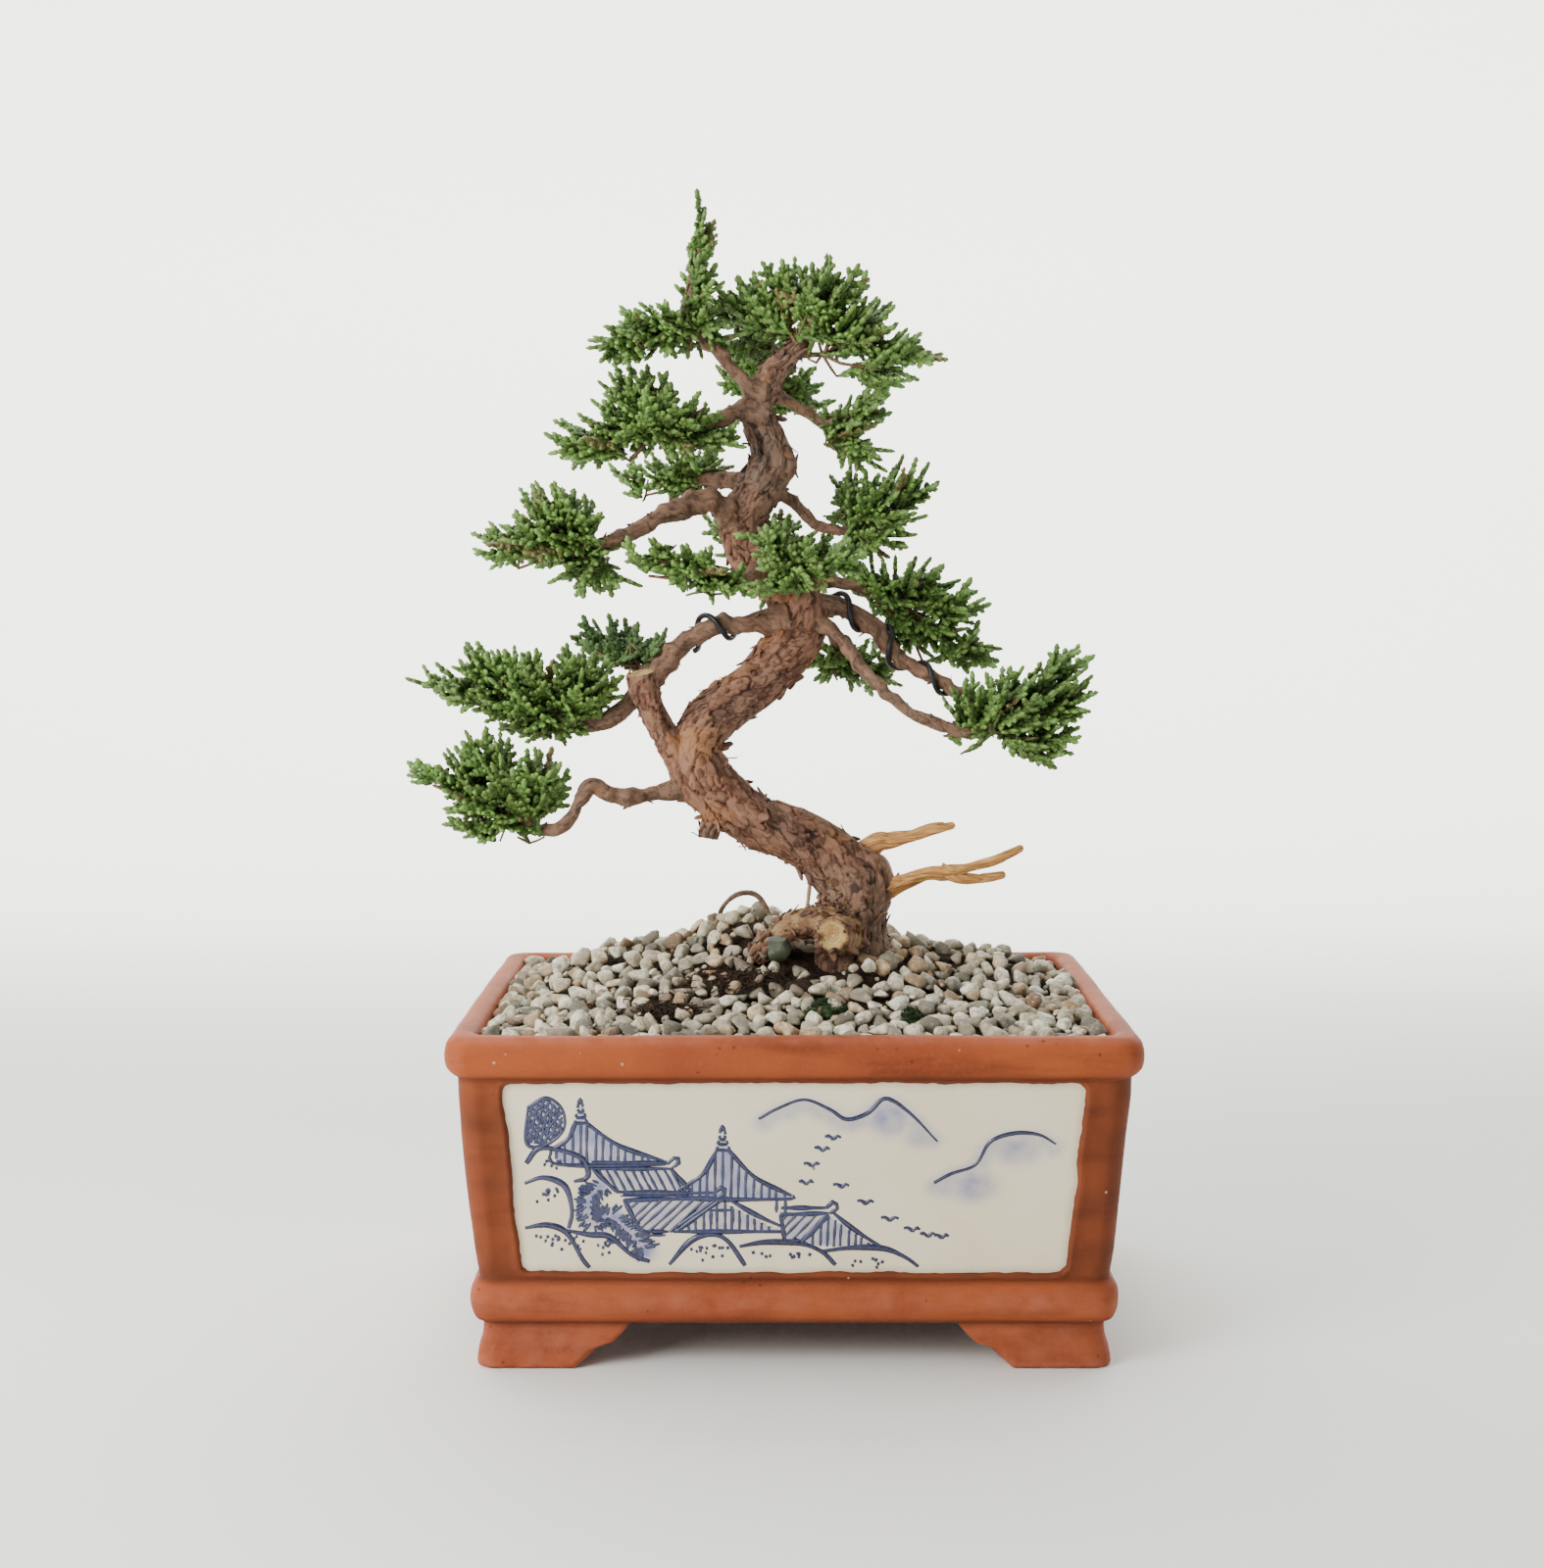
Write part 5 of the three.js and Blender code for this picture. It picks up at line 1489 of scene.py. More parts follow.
def panel_half(quarter, z):
    bottom, top = PANEL_HALF_SIDE if quarter % 2 else PANEL_HALF_FRONT
    return bottom + (top - bottom) * (z - PANEL_BOTTOM) / (PANEL_TOP - PANEL_BOTTOM)


def wall_face(quarter, z):
    """How far out the clay of a side stands at a height."""
    low, high = POT_OUTSIDE[5], POT_OUTSIDE[6]
    axis = 1 if quarter % 2 else 2
    return low[axis] + (high[axis] - low[axis]) * (z - low[0]) / (high[0] - low[0])


def frame_distance(quarter, u, z):
    """How far a place on a side lies inside its panel's wavy outline, in mm."""
    corner = 3.4
    middle, half_height = (PANEL_TOP + PANEL_BOTTOM) / 2, (PANEL_TOP - PANEL_BOTTOM) / 2
    beyond_u = np.abs(u) - (panel_half(quarter, z) - corner)
    beyond_z = np.abs(z - middle) - (half_height - corner)
    outside = np.hypot(np.maximum(beyond_u, 0), np.maximum(beyond_z, 0))
    distance = corner - outside - np.minimum(np.maximum(beyond_u, beyond_z), 0)
    place = np.stack([u * 0.11, z * 0.11, np.full(np.shape(u), 7.0 * quarter)], -1).reshape(-1, 3)
    wave = 0.75 * fractal_noise(place, 31, 3) + 0.2 * value_noise(place * 6, 33)
    return distance + wave.reshape(np.shape(u))


def side_columns(flat, panel, count):
    """Places along a side, close together where the panel's edge is."""
    spans = ((-flat, -panel - 1.3, 5), (-panel - 1.3, -panel + 1.0, 8), (-panel + 1.0, panel - 1.0, count),
             (panel - 1.0, panel + 1.3, 8), (panel + 1.3, flat, 5))
    return np.concatenate([np.linspace(a, b, n, endpoint=False) for a, b, n in spans] + [[flat]])


def pot_ring(z, half_width, half_depth, radius, share=1.0):
    """One level of the pot: points, ways out, side numbers and places along the side."""
    points, ways, quarters, places = [], [], [], []
    for quarter in range(4):
        along, outward = side_turn(quarter)
        across, face = (half_depth, half_width) if quarter % 2 else (half_width, half_depth)
        panel = min(panel_half(quarter, z), across - radius - 2)
        columns = side_columns(across - radius, panel, 60 if quarter % 2 else 92)
        points.append(along * columns[:, None] + outward * face)
        ways.append(np.broadcast_to(outward, (len(columns), 2)))
        places.append(columns)
        turn = np.linspace(0, math.pi / 2, 11)[1:-1, None]
        way = outward * np.cos(turn) + along * np.sin(turn)
        points.append(along * (across - radius) + outward * (face - radius) + way * radius)
        ways.append(way)
        places.append(np.full(len(turn), 999.0))
        quarters += [quarter] * (len(columns) + len(turn))
    points, ways = np.vstack(points) * share, np.vstack(ways)
    return points, ways, np.array(quarters), np.concatenate(places)


def pot_levels():
    """Every level of the pot's skin, from the middle of its underside over the rim to its floor."""
    def along_profile(profile, spacing):
        route = Route(profile)
        place, radius, *_ = route.at(np.linspace(0, route.length, int(route.length / spacing)))
        return [(*p, r, 1.0) for p, r in zip(place, radius)]

    first, last = POT_OUTSIDE[0], POT_INSIDE[-1]
    levels = [(*first, share) for share in (0.02, 0.3, 0.6, 0.85, 0.96)]
    levels += along_profile(POT_OUTSIDE[:6], 0.75)
    spans = ((26.2, 27.2, 3), (27.2, 29.4, 8), (29.4, 84.2, 40), (84.2, 86.2, 8))
    for z in np.concatenate([np.linspace(a, b, n, endpoint=False) for a, b, n in spans])[1:]:
        levels.append((z, wall_face(1, z), wall_face(0, z), 6 + (z - 26.2) / 60, 1.0))
    levels += along_profile(POT_OUTSIDE[6:] + POT_INSIDE[:3], 0.7)
    levels += along_profile(POT_INSIDE[2:], 4.0)[1:]
    levels += [(*last, share) for share in (0.9, 0.6, 0.3, 0.02)]
    return levels


def pot_body(hand_noise):
    """The pot's walls, rim, moulding and floor with its four recesses, and the masks for its wear with
    painted highlight and for its painted shade.
    """
    rows, wear_and_highlight_rows, grooves = [], [], []
    for z, half_width, half_depth, radius, share in pot_levels():
        flat, ways, quarters, places = pot_ring(z, half_width, half_depth, radius, share)
        outside = share == 1.0 and half_width > 95.9 or 26.2 <= z <= 86.2 and half_width > 91.8
        point = np.column_stack([flat, np.full(len(flat), z)])
        shift = hand_noise * fractal_noise(point * 0.035, 41, 3) + 0.07 * fractal_noise(point * 0.4, 42, 2)
        wear = np.zeros(len(flat))
        groove = np.zeros(len(flat))
        mottle = 0.5 + 0.5 * fractal_noise(point * 0.12, 44, 3)
        if 26.2 < z < 86.2 and outside:
            inside = np.full(len(flat), -9.0)
            for quarter in range(4):
                here = (quarters == quarter) & (places < 900)
                inside[here] = frame_distance(quarter, places[here], np.full(here.sum(), z))
            shift = shift - PANEL_POCKET * smooth_step(-0.3, 0.8, inside)
            shift += 0.4 * np.exp(-((inside + 1.1) / 0.8) ** 2)
            # Lighter along the frame's inner edge and on the corners (wear and painted highlight); painted
            # shade in the recess, and the whole wall band darker and mottled.
            wear += 0.5 * np.exp(-((inside + 0.7) / 0.8) ** 2) * mottle
            groove += smooth_step(0.0, 0.6, inside) + 0.4 + 0.8 * mottle
            corner = places > 900
            seam = np.exp(-((np.abs(places) - (panel_half(0, z) + 4.2)) / 0.5) ** 2)
            shift -= 0.22 * seam * (quarters % 2 == 0)
            wear += 0.12 * corner * mottle
            shift += 0.35 * corner * smooth_step(27, 34, z) * smooth_step(86, 80, z)
        if half_width > 91.5:
            # Rim top, moulding crest and rim corners lighter (wear and painted highlight); painted shade in
            # the grooves under the rim and above and below the moulding.
            rim = np.exp(-((z - 98.0) / 1.3) ** 2)
            crest = np.exp(-((z - 20.6) / 3.4) ** 2) * (z < 25)
            lip = np.exp(-((z - 91.5) / 3.0) ** 2) * (places > 900)
            wear += (0.8 * rim + 0.75 * crest + 0.35 * lip) * (0.25 + 0.9 * mottle)
            groove += np.exp(-((z - 26.3) / 0.8) ** 2) + np.exp(-((z - 86.6) / 0.9) ** 2)
            groove += 0.9 * smooth_step(16.0, 13.8, z)
        point[:, :2] += ways * shift[:, None]
        point[:, 2] += 0.3 * smooth_step(90, 98, z) * fractal_noise(point * 0.03, 47, 2)
        rows.append(point)
        wear_and_highlight_rows.append(wear)
        grooves.append(groove)
    points, quads, triangles = skin(rows)
    return points, quads, triangles, {
        "wear": np.append(np.clip(np.concatenate(wear_and_highlight_rows), 0, 1), [0, 0]),
        "groove": np.append(np.clip(np.concatenate(grooves), 0, 1), [0, 0]),
    }


def foot(corner):
    """One bracket foot: an angled wall under a corner whose two ends follow the arch's curve."""
    levels = [(0, 91.2, 66.2), (0.35, 92.1, 67.1), (1.2, 92.4, 67.4), (4, 92.2, 67.2),
              (6.5, 91.6, 66.6), (9, 90.9, 65.9), (12, 90.7, 65.7), (15.2, 91.0, 66.0)]
    route = Route([(z, w, d, 5) for z, w, d in levels])
    outside, *_ = route.at(np.linspace(0, route.length, 14))
    inside = [(z, w - FOOT_THICKNESS, d - FOOT_THICKNESS) for z, w, d in outside[::-3]]
    share_at = [np.array(column) for column in zip(*FOOT_ARCH)]
    rows = []
    for s in np.linspace(0, 1, 64):
        row = []
        for z, half_width, half_depth in [*outside, *inside]:
            radius = 5.5 if half_width > 85 else 2.5
            share = np.interp(z, share_at[1], share_at[0])
            start, finish = ARCH_HALF_FRONT * share, ARCH_HALF_SIDE * share
            flat_x, flat_y = half_width - radius, half_depth - radius
            if s < 0.46:
                place = (start + (flat_x - start) * s / 0.46, -half_depth)
            elif s < 0.54:
                turn = (s - 0.46) / 0.08 * math.pi / 2
                place = (flat_x + radius * math.sin(turn), -(flat_y + radius * math.cos(turn)))
            else:
                place = (half_width, -(flat_y + (finish - flat_y) * (s - 0.54) / 0.46))
            row.append((*place, z))
        rows.append(row)
    rows = np.array(rows)
    for end, inner in ((0, 1), (-1, -2)):
        middle = rows[end].mean(0)
        rows[inner] = rows[end] + (rows[end] - rows[inner]) * -0.25
        rows[end] = middle + (rows[end] - middle) * 0.93
    points, quads, triangles = skin(rows)
    rough = smooth_step(6, 0, points[:, 2])
    away = unit(points * (1, 1, 0))
    bumps = fractal_noise(points * 0.25, 51 + corner, 3) * 0.35 + fractal_noise(points * 1.3, 55, 2) * 0.12
    points = points + away * (bumps * (0.4 + rough))[:, None]
    # Lighter towards the bottom and, mottled, all over, through the same mask that carries wear and painted
    # highlight; painted shade at the top, under the moulding.
    worn = 0.5 + 0.5 * fractal_noise(points * 0.12, 8, 3)
    wear = smooth_step(3.5, 0.5, points[:, 2]) * worn + 0.1 + 0.6 * worn
    values = {"wear": np.clip(wear, 0, 1), "groove": smooth_step(11.5, 14, points[:, 2])}
    sign_x, sign_y = ((1, 1), (-1, 1), (-1, -1), (1, -1))[corner]
    if sign_x * sign_y < 0:
        quads, triangles = quads[:, ::-1], triangles[:, ::-1]
    return points * (sign_x, sign_y, 1), quads, triangles, values


def drained(mesh):
    """The pot with its two drain holes cut through the floor."""
    body = bpy.data.objects.new("body", mesh)
    punch = bmesh.new()
    for x in (-DRAIN_HOLE_X, DRAIN_HOLE_X):
        place = Matrix.Translation(Vector(POT_CENTRE * MM) + Vector((x, 0, 17.5)) * MM)
        bmesh.ops.create_cone(punch, cap_ends=True, segments=48, radius1=DRAIN_HOLE_RADIUS * MM,
                              radius2=DRAIN_HOLE_RADIUS * MM, depth=10 * MM, matrix=place)
    punch_mesh = bpy.data.meshes.new("punch")
    punch.to_mesh(punch_mesh)
    punch.free()
    cutter = bpy.data.objects.new("punch", punch_mesh)
    for thing in (body, cutter):
        bpy.context.scene.collection.objects.link(thing)
    cut = body.modifiers.new("holes", "BOOLEAN")
    cut.operation = "DIFFERENCE"
    cut.solver = "EXACT"
    cut.object = cutter
    graph = bpy.context.evaluated_depsgraph_get()
    result = bpy.data.meshes.new_from_object(body.evaluated_get(graph), depsgraph=graph)
    bpy.data.objects.remove(body)
    bpy.data.objects.remove(cutter)
    return result


def lattice_sheet(x):
    """Drain mesh: a woven-looking square net of thin rods over a hole."""
    low, high = -13.0, 13.0
    lines = []
    for k in range(14):
        offset = low + (high - low) * k / 13
        for along_x in (True, False):
            lift = 0.18 if along_x else -0.18
            ends = [(t, offset) if along_x else (offset, t) for t in np.linspace(low, high, 5)]
            lines.append([((x + a + POT_CENTRE[0]) * MM, (b + POT_CENTRE[1]) * MM,
                           (21.85 + lift + POT_CENTRE[2]) * MM, 0.34 * MM) for a, b in ends])
    return lines


# ---------------------------------------------------------------- panels
PANEL_FACE = 0.95


def face_depth(quarter, u, z):
    """How deep the glaze lies behind the clay: a slow swell."""
    place = np.stack([u * 0.03, z * 0.03, np.full(np.shape(u), 3.0 * quarter)], -1).reshape(-1, 3)
    return PANEL_FACE + 0.12 * fractal_noise(place, 61, 2).reshape(np.shape(u))


def on_wall(quarter, u, z, depth):
    """Places in the pot's frame for places on a side's wall."""
    along, outward = side_turn(quarter)
    out = wall_face(quarter, z) - depth
    flat = along * np.asarray(u)[..., None] + outward * np.asarray(out)[..., None]
    return np.concatenate([flat, np.broadcast_to(np.asarray(z)[..., None], flat.shape[:-1] + (1,))], -1)


def panel_part(quarter, wash):
    """A glazed slab, its back just in the clay, with its washes and pooled edges."""
    columns = 128 if quarter % 2 else 184
    rows, washes, pools = [], [], []
    for z in np.linspace(PANEL_BOTTOM - 0.9, PANEL_TOP + 0.6, 68):
        half = panel_half(quarter, z) + 0.9
        u = np.linspace(-half, half, columns)
        level = np.full(columns, z)
        front = on_wall(quarter, u, level, face_depth(quarter, u, level))
        back = on_wall(quarter, np.array([half, -half]), np.array([z, z]), 2.9)
        rows.append(np.vstack([front, back]))
        inside = frame_distance(quarter, u, level)
        pools.append(np.append(smooth_step(2.6, 0.4, inside), [1, 1]))
        washes.append(np.append(wash(u, level - PANEL_BOTTOM), [0, 0]))
    points, quads, triangles = skin(rows)
    return points, quads, triangles, {
        "pooled": np.append(np.concatenate(pools), [1, 1]),
        "wash": np.append(np.clip(np.concatenate(washes), 0, 1), [0, 0]),
    }


def inside_outline(outline, u, v):
    """True for the places inside a closed outline in a side's plane."""
    inside = np.zeros(np.shape(u), bool)
    for (u0, v0), (u1, v1) in zip(outline, outline[1:] + outline[:1]):
        if v0 != v1:
            inside ^= ((v0 > v) != (v1 > v)) & (u < (u1 - u0) * (v - v0) / (v1 - v0) + u0)
    return inside


class Brush:
    """Collects strokes in a side's own plane: along, up, and half the stroke's width, in mm."""

    wing_reach = 1.35

    def __init__(self, seed):
        self.rng = random.Random(seed)
        self.strokes = []
        self.washes = []
        self.fills = []

    def stroke(self, places, width=0.5, shake=0.12, taper=True):
        """One brushed line through places, thin where the brush lands and lifts."""
        knots = np.array([(u + self.rng.gauss(0, shake), v + self.rng.gauss(0, shake)) for u, v in places])
        route = Route(np.column_stack([knots, np.zeros(len(knots)), np.ones(len(knots))]))
        if route.length < 0.4:
            return
        along = np.linspace(0, route.length, max(4, int(route.length / 1.1)))
        place, *_ = route.at(along)
        share = along / route.length
        pressure = 1 + 0.2 * np.sin(share * 9 + self.rng.random() * 6)
        if taper:
            pressure = pressure * (0.5 + 0.5 * np.sin(math.pi * np.clip(share * 0.94 + 0.05, 0, 1)) ** 0.5)
        self.strokes.append(np.column_stack([place[:, :2], 1.4 * width * pressure]))

    def wash(self, u, v, wide, high, strength):
        self.washes.append((u, v, wide, high, strength))

    def field(self, outline, lean, gap, strength):
        """A washed shape with ribs, each leaning the same way and ending at the outline."""
        self.fills.append((outline, strength))
        corners = np.array(outline)
        lean = np.array(lean) / math.hypot(*lean)
        across = np.array([lean[1], -lean[0]])
        offsets = corners @ across
        run = np.arange(-90, 90, 0.3)
        for offset in np.arange(offsets.min() + gap * 0.7, offsets.max(), gap):
            line = across * (offset + self.rng.uniform(-0.12, 0.12) * gap) + lean * run[:, None]
            held = line[inside_outline(outline, line[:, 0], line[:, 1])]
            if len(held) > 3:
                self.stroke([held[0], held[len(held) // 2], held[-1]], 0.3, 0.06, False)

    def edges(self, *lines, width=0.52):
        for line in lines:
            self.stroke(line, width)

    def finial(self, u, v):
        """A stepped cap on a roof's top."""
        for half, low, tall in ((1.9, 0, 1.2), (1.4, 1.6, 1.3), (0.9, 3.2, 1.2)):
            self.edges([(u - half, v + low), (u + half, v + low)], width=0.4)
            self.edges([(u - half, v + low), (u - half * 0.75, v + low + tall)],
                       [(u + half, v + low), (u + half * 0.75, v + low + tall)], width=0.34)
            self.wash(u, v + low + 0.6, half, 1.4, 0.75)
        self.edges([(u - 0.8, v + 4.6), (u, v + 7.4)], [(u + 0.8, v + 4.6), (u, v + 7.4)], width=0.4)

    def pavilion(self, top, left, right):
        """A steep ribbed roof under a finial, with swept eaves."""
        u, v = top
        low = min(left[1], right[1])
        shoulder_left = (u + (left[0] - u) * 0.45, v + (left[1] - v) * 0.62)
        shoulder_right = (u + (right[0] - u) * 0.45, v + (right[1] - v) * 0.58)
        outline = [(u - 1.6, v), (u + 1.6, v), shoulder_right, right, (right[0] - 2, low - 1.2),
                   (left[0] + 2, low - 1.0), left, shoulder_left]
        self.field(outline, (0.03, 1), 2.2, 0.85)
        self.edges([(u - 1.6, v), shoulder_left, left], [(u + 1.6, v), shoulder_right, right],
                   [left, (left[0] + 2, low - 1.0), (right[0] - 2, low - 1.2), right])
        self.finial(u, v)

    def long_roof(self, ridge_left, ridge_right, eaves_right, eaves_left, lean):
        """A tiled slope: its ridge tile, ribs that lean one way and thick eaves."""
        self.field([ridge_left, ridge_right, eaves_right, eaves_left], lean, 2.1, 0.68)
        above = [(ridge_left[0], ridge_left[1] + 1.7), (ridge_right[0] - 1, ridge_right[1] + 1.6)]
        self.fills.append(([ridge_left, ridge_right, above[1], above[0]], 0.4))
        end = (ridge_right[0] + 1.4, ridge_right[1] + 3.4)
        self.edges(above, [ridge_left, ridge_right],
                   [above[1], end, (end[0] + 1.2, end[1] - 1.8), ridge_right],
                   [ridge_right, eaves_right], [eaves_left, eaves_right], [ridge_left, eaves_left])
        under = [(eaves_left[0] + 1, eaves_left[1] - 1.1), (eaves_right[0] - 1, eaves_right[1] - 1.1)]
        self.edges(under, width=0.32)

    def rock(self, outline, dots):
        """A humped outline with dotted shade under its crest."""
        self.stroke(outline, 0.62)
        us, vs = zip(*outline)
        crest = max(vs)
        for _ in range(dots):
            u = self.rng.gauss((min(us) + max(us)) / 2, (max(us) - min(us)) * 0.16)
            v = crest - 3.2 - abs(self.rng.gauss(0, 1.7))
            if v > 1:
                self.stroke([(u, v), (u + 0.8, v + self.rng.uniform(-0.3, 0.4))], 0.36, 0.05, False)

    def bird(self, u, v, size):
        size *= self.wing_reach
        self.stroke([(u - size, v + size * 0.45), (u - size * 0.4, v + size * 0.5), (u, v - 0.1)], 0.42, 0.05)
        self.stroke([(u, v - 0.1), (u + size * 0.5, v + size * 0.5), (u + size, v + size * 0.3)], 0.42, 0.05)

    def needles(self, spine, half, count):
        """A drooping tree: a dark curved mass fringed with short needles."""
        route = Route([(u, v, 0, 1) for u, v in spine])
        for _ in range(count):
            here, _, forward, *_ = route.at(np.array([route.length * self.rng.random()]))
            hand = self.rng.choice((-1, 1))
            out = np.array([-forward[0][1], forward[0][0]]) * hand
            out = out + forward[0][:2] * self.rng.uniform(0.1, 0.8)
            start = here[0][:2] + out * half * self.rng.uniform(0.1, 0.8)
            self.stroke([start, start + out * self.rng.uniform(1.2, 2.4)], 0.3, 0.05)
        for place in route.at(np.linspace(0, route.length, 9))[0]:
            self.wash(place[0], place[1], half * 1.25, half * 1.25, 0.95)

    def crosshatch(self, outline, gap):
        for lean in ((1, 1.2), (-1, 1.1), (0.2, 1)):
            self.field(outline, lean, gap, 0.8)
        self.edges(outline + outline[:1], width=0.4)

    def hill(self, places, strength):
        """A far ridge line with colour pooled under it."""
        self.stroke(places, 0.42)
        for first, second in zip(places, places[1:]):
            for share in (0.2, 0.5, 0.8):
                u = first[0] + (second[0] - first[0]) * share
                v = first[1] + (second[1] - first[1]) * share
                self.wash(u, v - 1.5, 3.4, 2.8, strength)

    def wash_at(self, u, v):
        """How much colour the washes and fills leave at places."""
        total = np.zeros(np.shape(u))
        for here_u, here_v, wide, high, strength in self.washes:
            spread = ((u - here_u) / wide) ** 2 + ((v - here_v) / high) ** 2
            total = np.maximum(total, strength * np.exp(-spread ** 1.5))
        for outline, strength in self.fills:
            total = np.maximum(total, strength * inside_outline(outline, u, v))
        return total


def landscape(seed):
    """A lakeside: pavilions on a rocky shore at the left, far hills and birds."""
    b = Brush(seed)
    b.crosshatch([(-76, 50), (-71, 52.5), (-66.5, 49), (-66, 43), (-71, 38.5), (-76.5, 39)], 1.5)
    b.pavilion((-61, 45), (-69.5, 37.2), (-37, 33.6))
    b.long_roof((-58, 31.4), (-35.5, 31.4), (-29.5, 24.4), (-51, 24.4), (-0.5, 1))
    b.pavilion((-20.5, 37), (-33, 25.4), (-0.5, 23.4))
    b.edges([(-2.5, 22), (-2.5, 17)], [(-5, 22), (-5, 18)], width=0.4)
    b.long_roof((-49, 22.2), (-22, 22.6), (-36, 12.4), (-44, 12.4), (1, 0.95))
    b.field([(-21, 22), (-4, 12.6), (-34, 12.4)], (0, 1), 2.1, 0.66)
    b.edges([(-21, 23.6), (-11, 17.4), (-2.5, 13.6)], [(-35, 12.4), (-3, 12.4)], [(-21, 22), (-34, 12.4)])
    b.edges([(-24, 19), (-17.5, 19)], [(-24, 19), (-24, 14.5)], [(-17.5, 19), (-17.5, 14.5)], width=0.34)
    b.long_roof((-4, 17.8), (10, 18), (2, 9.6), (-2.5, 9.6), (1, 1.1))
    b.field([(10, 17.4), (24, 7.6), (2, 8)], (0.05, 1), 2.0, 0.72)
    b.edges([(10.5, 18.6), (17, 13), (26, 7)], [(2, 9), (10, 17.4)])
    b.needles([(-55, 27), (-59, 22), (-58, 15), (-53, 17), (-48, 13), (-43, 7)], 2.8, 300)
    for outline, dots in (
            ([(-77, 33), (-73, 37.5), (-66, 36.5), (-60.5, 34), (-59.5, 29), (-63, 27.5)], 14),
            ([(-77.5, 27), (-72, 28.5), (-66, 26), (-64, 19), (-65, 13.5)], 13),
            ([(-77.5, 13.5), (-71, 14.5), (-65.5, 12), (-61, 4), (-59, 1.5)], 18),
            ([(-66, 13), (-59, 11.5), (-53, 11), (-47, 5.5), (-42, 3.6)], 16),
            ([(-36, 2.5), (-30, 9.5), (-24, 11.6), (-19, 9.6), (-14, 2.2)], 16),
            ([(-16, 8), (-8, 9.3), (2, 8.8), (8, 6.4), (12, 2.4)], 14),
            ([(8, 6.4), (17, 7.6), (26, 7.4), (32, 4.8), (36, 1.6)], 12)):
        b.rock(outline, dots)
    b.hill([(-10, 46), (-5, 49.5), (3, 52), (10, 49), (15, 46), (21, 48), (26, 52.4), (33, 48),
            (41, 39.5)], 0.5)
    b.wash(27, 46.5, 6.5, 5.5, 0.85)
    b.wash(-3, 48, 5, 2.6, 0.55)
    b.wash(36, 41, 5, 3.5, 0.6)
    b.hill([(40, 27), (45, 30), (52, 32.5), (56, 39.5), (63, 42), (70, 41.5), (75, 38.6)], 0.5)
    b.wash(51, 26.5, 7, 5, 0.8)
    b.wash(64, 37, 7, 4.5, 0.75)
    b.wash(44, 25.6, 5, 3, 0.6)
    for u, v, size in ((11, 40, 1.8), (8, 36.6, 1.7), (5, 32, 1.7), (3.4, 26.6, 1.6),
                       (13.5, 25.6, 1.7), (20.5, 20.6, 1.8), (27.5, 15.6, 1.9), (34, 12.4, 1.8),
                       (38.5, 10.8, 1.7), (42.5, 10.4, 1.6)):
        b.bird(u, v, size)
    return b


def reeds(seed):
    """A made-up waterside for the narrow sides: rocks, reeds, a far hill and two birds."""
    b = Brush(seed)
    b.rock([(-34, 3), (-29, 10), (-20, 13), (-12, 9), (-8, 3)], 16)
    b.rock([(-14, 7), (-6, 8.6), (2, 6), (7, 2)], 10)
    for k in range(11):
        u = -27 + 2.6 * k + b.rng.uniform(-0.6, 0.6)
        b.stroke([(u, 8), (u + 1.4, 19), (u + 4.5 + b.rng.uniform(-1, 2), 27 + b.rng.uniform(-3, 6))], 0.42)
    b.hill([(4, 34), (14, 38), (22, 36.5), (33, 41), (44, 36)], 0.5)
    b.wash(31, 36, 6, 4, 0.8)
    b.bird(-6, 43, 2.0)
    b.bird(1, 40, 1.8)
    for left, right, v in ((6, 22, 9), (14, 34, 6), (-44, -36, 5)):
        b.stroke([(left, v), ((left + right) / 2, v + 0.4), (right, v)], 0.3)
    return b


def brushwork_mesh(quarter, brush, finish):
    """The strokes of one panel as flat ribbons lying on the glaze."""
    lines, ink = [], []
    for stroke in brush.strokes:
        lines.append(np.column_stack([stroke[:, 0], stroke[:, 1], np.zeros(len(stroke)), stroke[:, 2]]) * MM)
        ink += [brush.rng.uniform(0.65, 1.0)] * len(stroke)
    mesh = followed(lines, finish, sides=4, flatness=0.2, ink=np.array(ink))
    flat = np.empty(len(mesh.vertices) * 3)
    mesh.vertices.foreach_get("co", flat)
    flat = flat.reshape(-1, 3) / MM
    u, z = flat[:, 0], flat[:, 1] + PANEL_BOTTOM
    placed = on_wall(quarter, u, z, face_depth(quarter, u, z) - flat[:, 2])
    mesh.vertices.foreach_set("co", ((placed + POT_CENTRE) * MM).ravel())
    mesh.update()
    return mesh


# ---------------------------------------------------------------- wires and stems
def wire_line(spec):
    """A helix round its limb."""
    limb, start, finish, turns, radius = spec
    route = Route(LIMBS[limb])
    steps = int(turns * 22)
    along = np.linspace(start, finish, steps) * route.length
    place, limb_radius, _, across, up = route.at(along)
    angle = np.linspace(0, 2 * math.pi * turns, steps)[:, None]
    away = (limb_radius * 1.08 + radius * 0.9)[:, None]
    helix = place + (across * np.cos(angle) + up * np.sin(angle)) * away
    return np.column_stack([(helix + POT_CENTRE) * MM, np.full(steps, radius * MM)])


def stem_line(points, swell):
    route = Route(points)
    along = np.linspace(0, route.length, int(route.length / 0.8))
    place, radius, *_ = route.at(along)
    wobble = 1 + swell * value_noise(np.column_stack([along * 0.7, along, along * 0]), 5)
    return np.column_stack([(place + POT_CENTRE) * MM, radius * wobble * MM])


# ---------------------------------------------------------------- settings
def colour_setting(name, description, default):
    return bpy.props.FloatVectorProperty(
        name=name, description=description, default=default, size=3, min=0, max=1, subtype="COLOR")


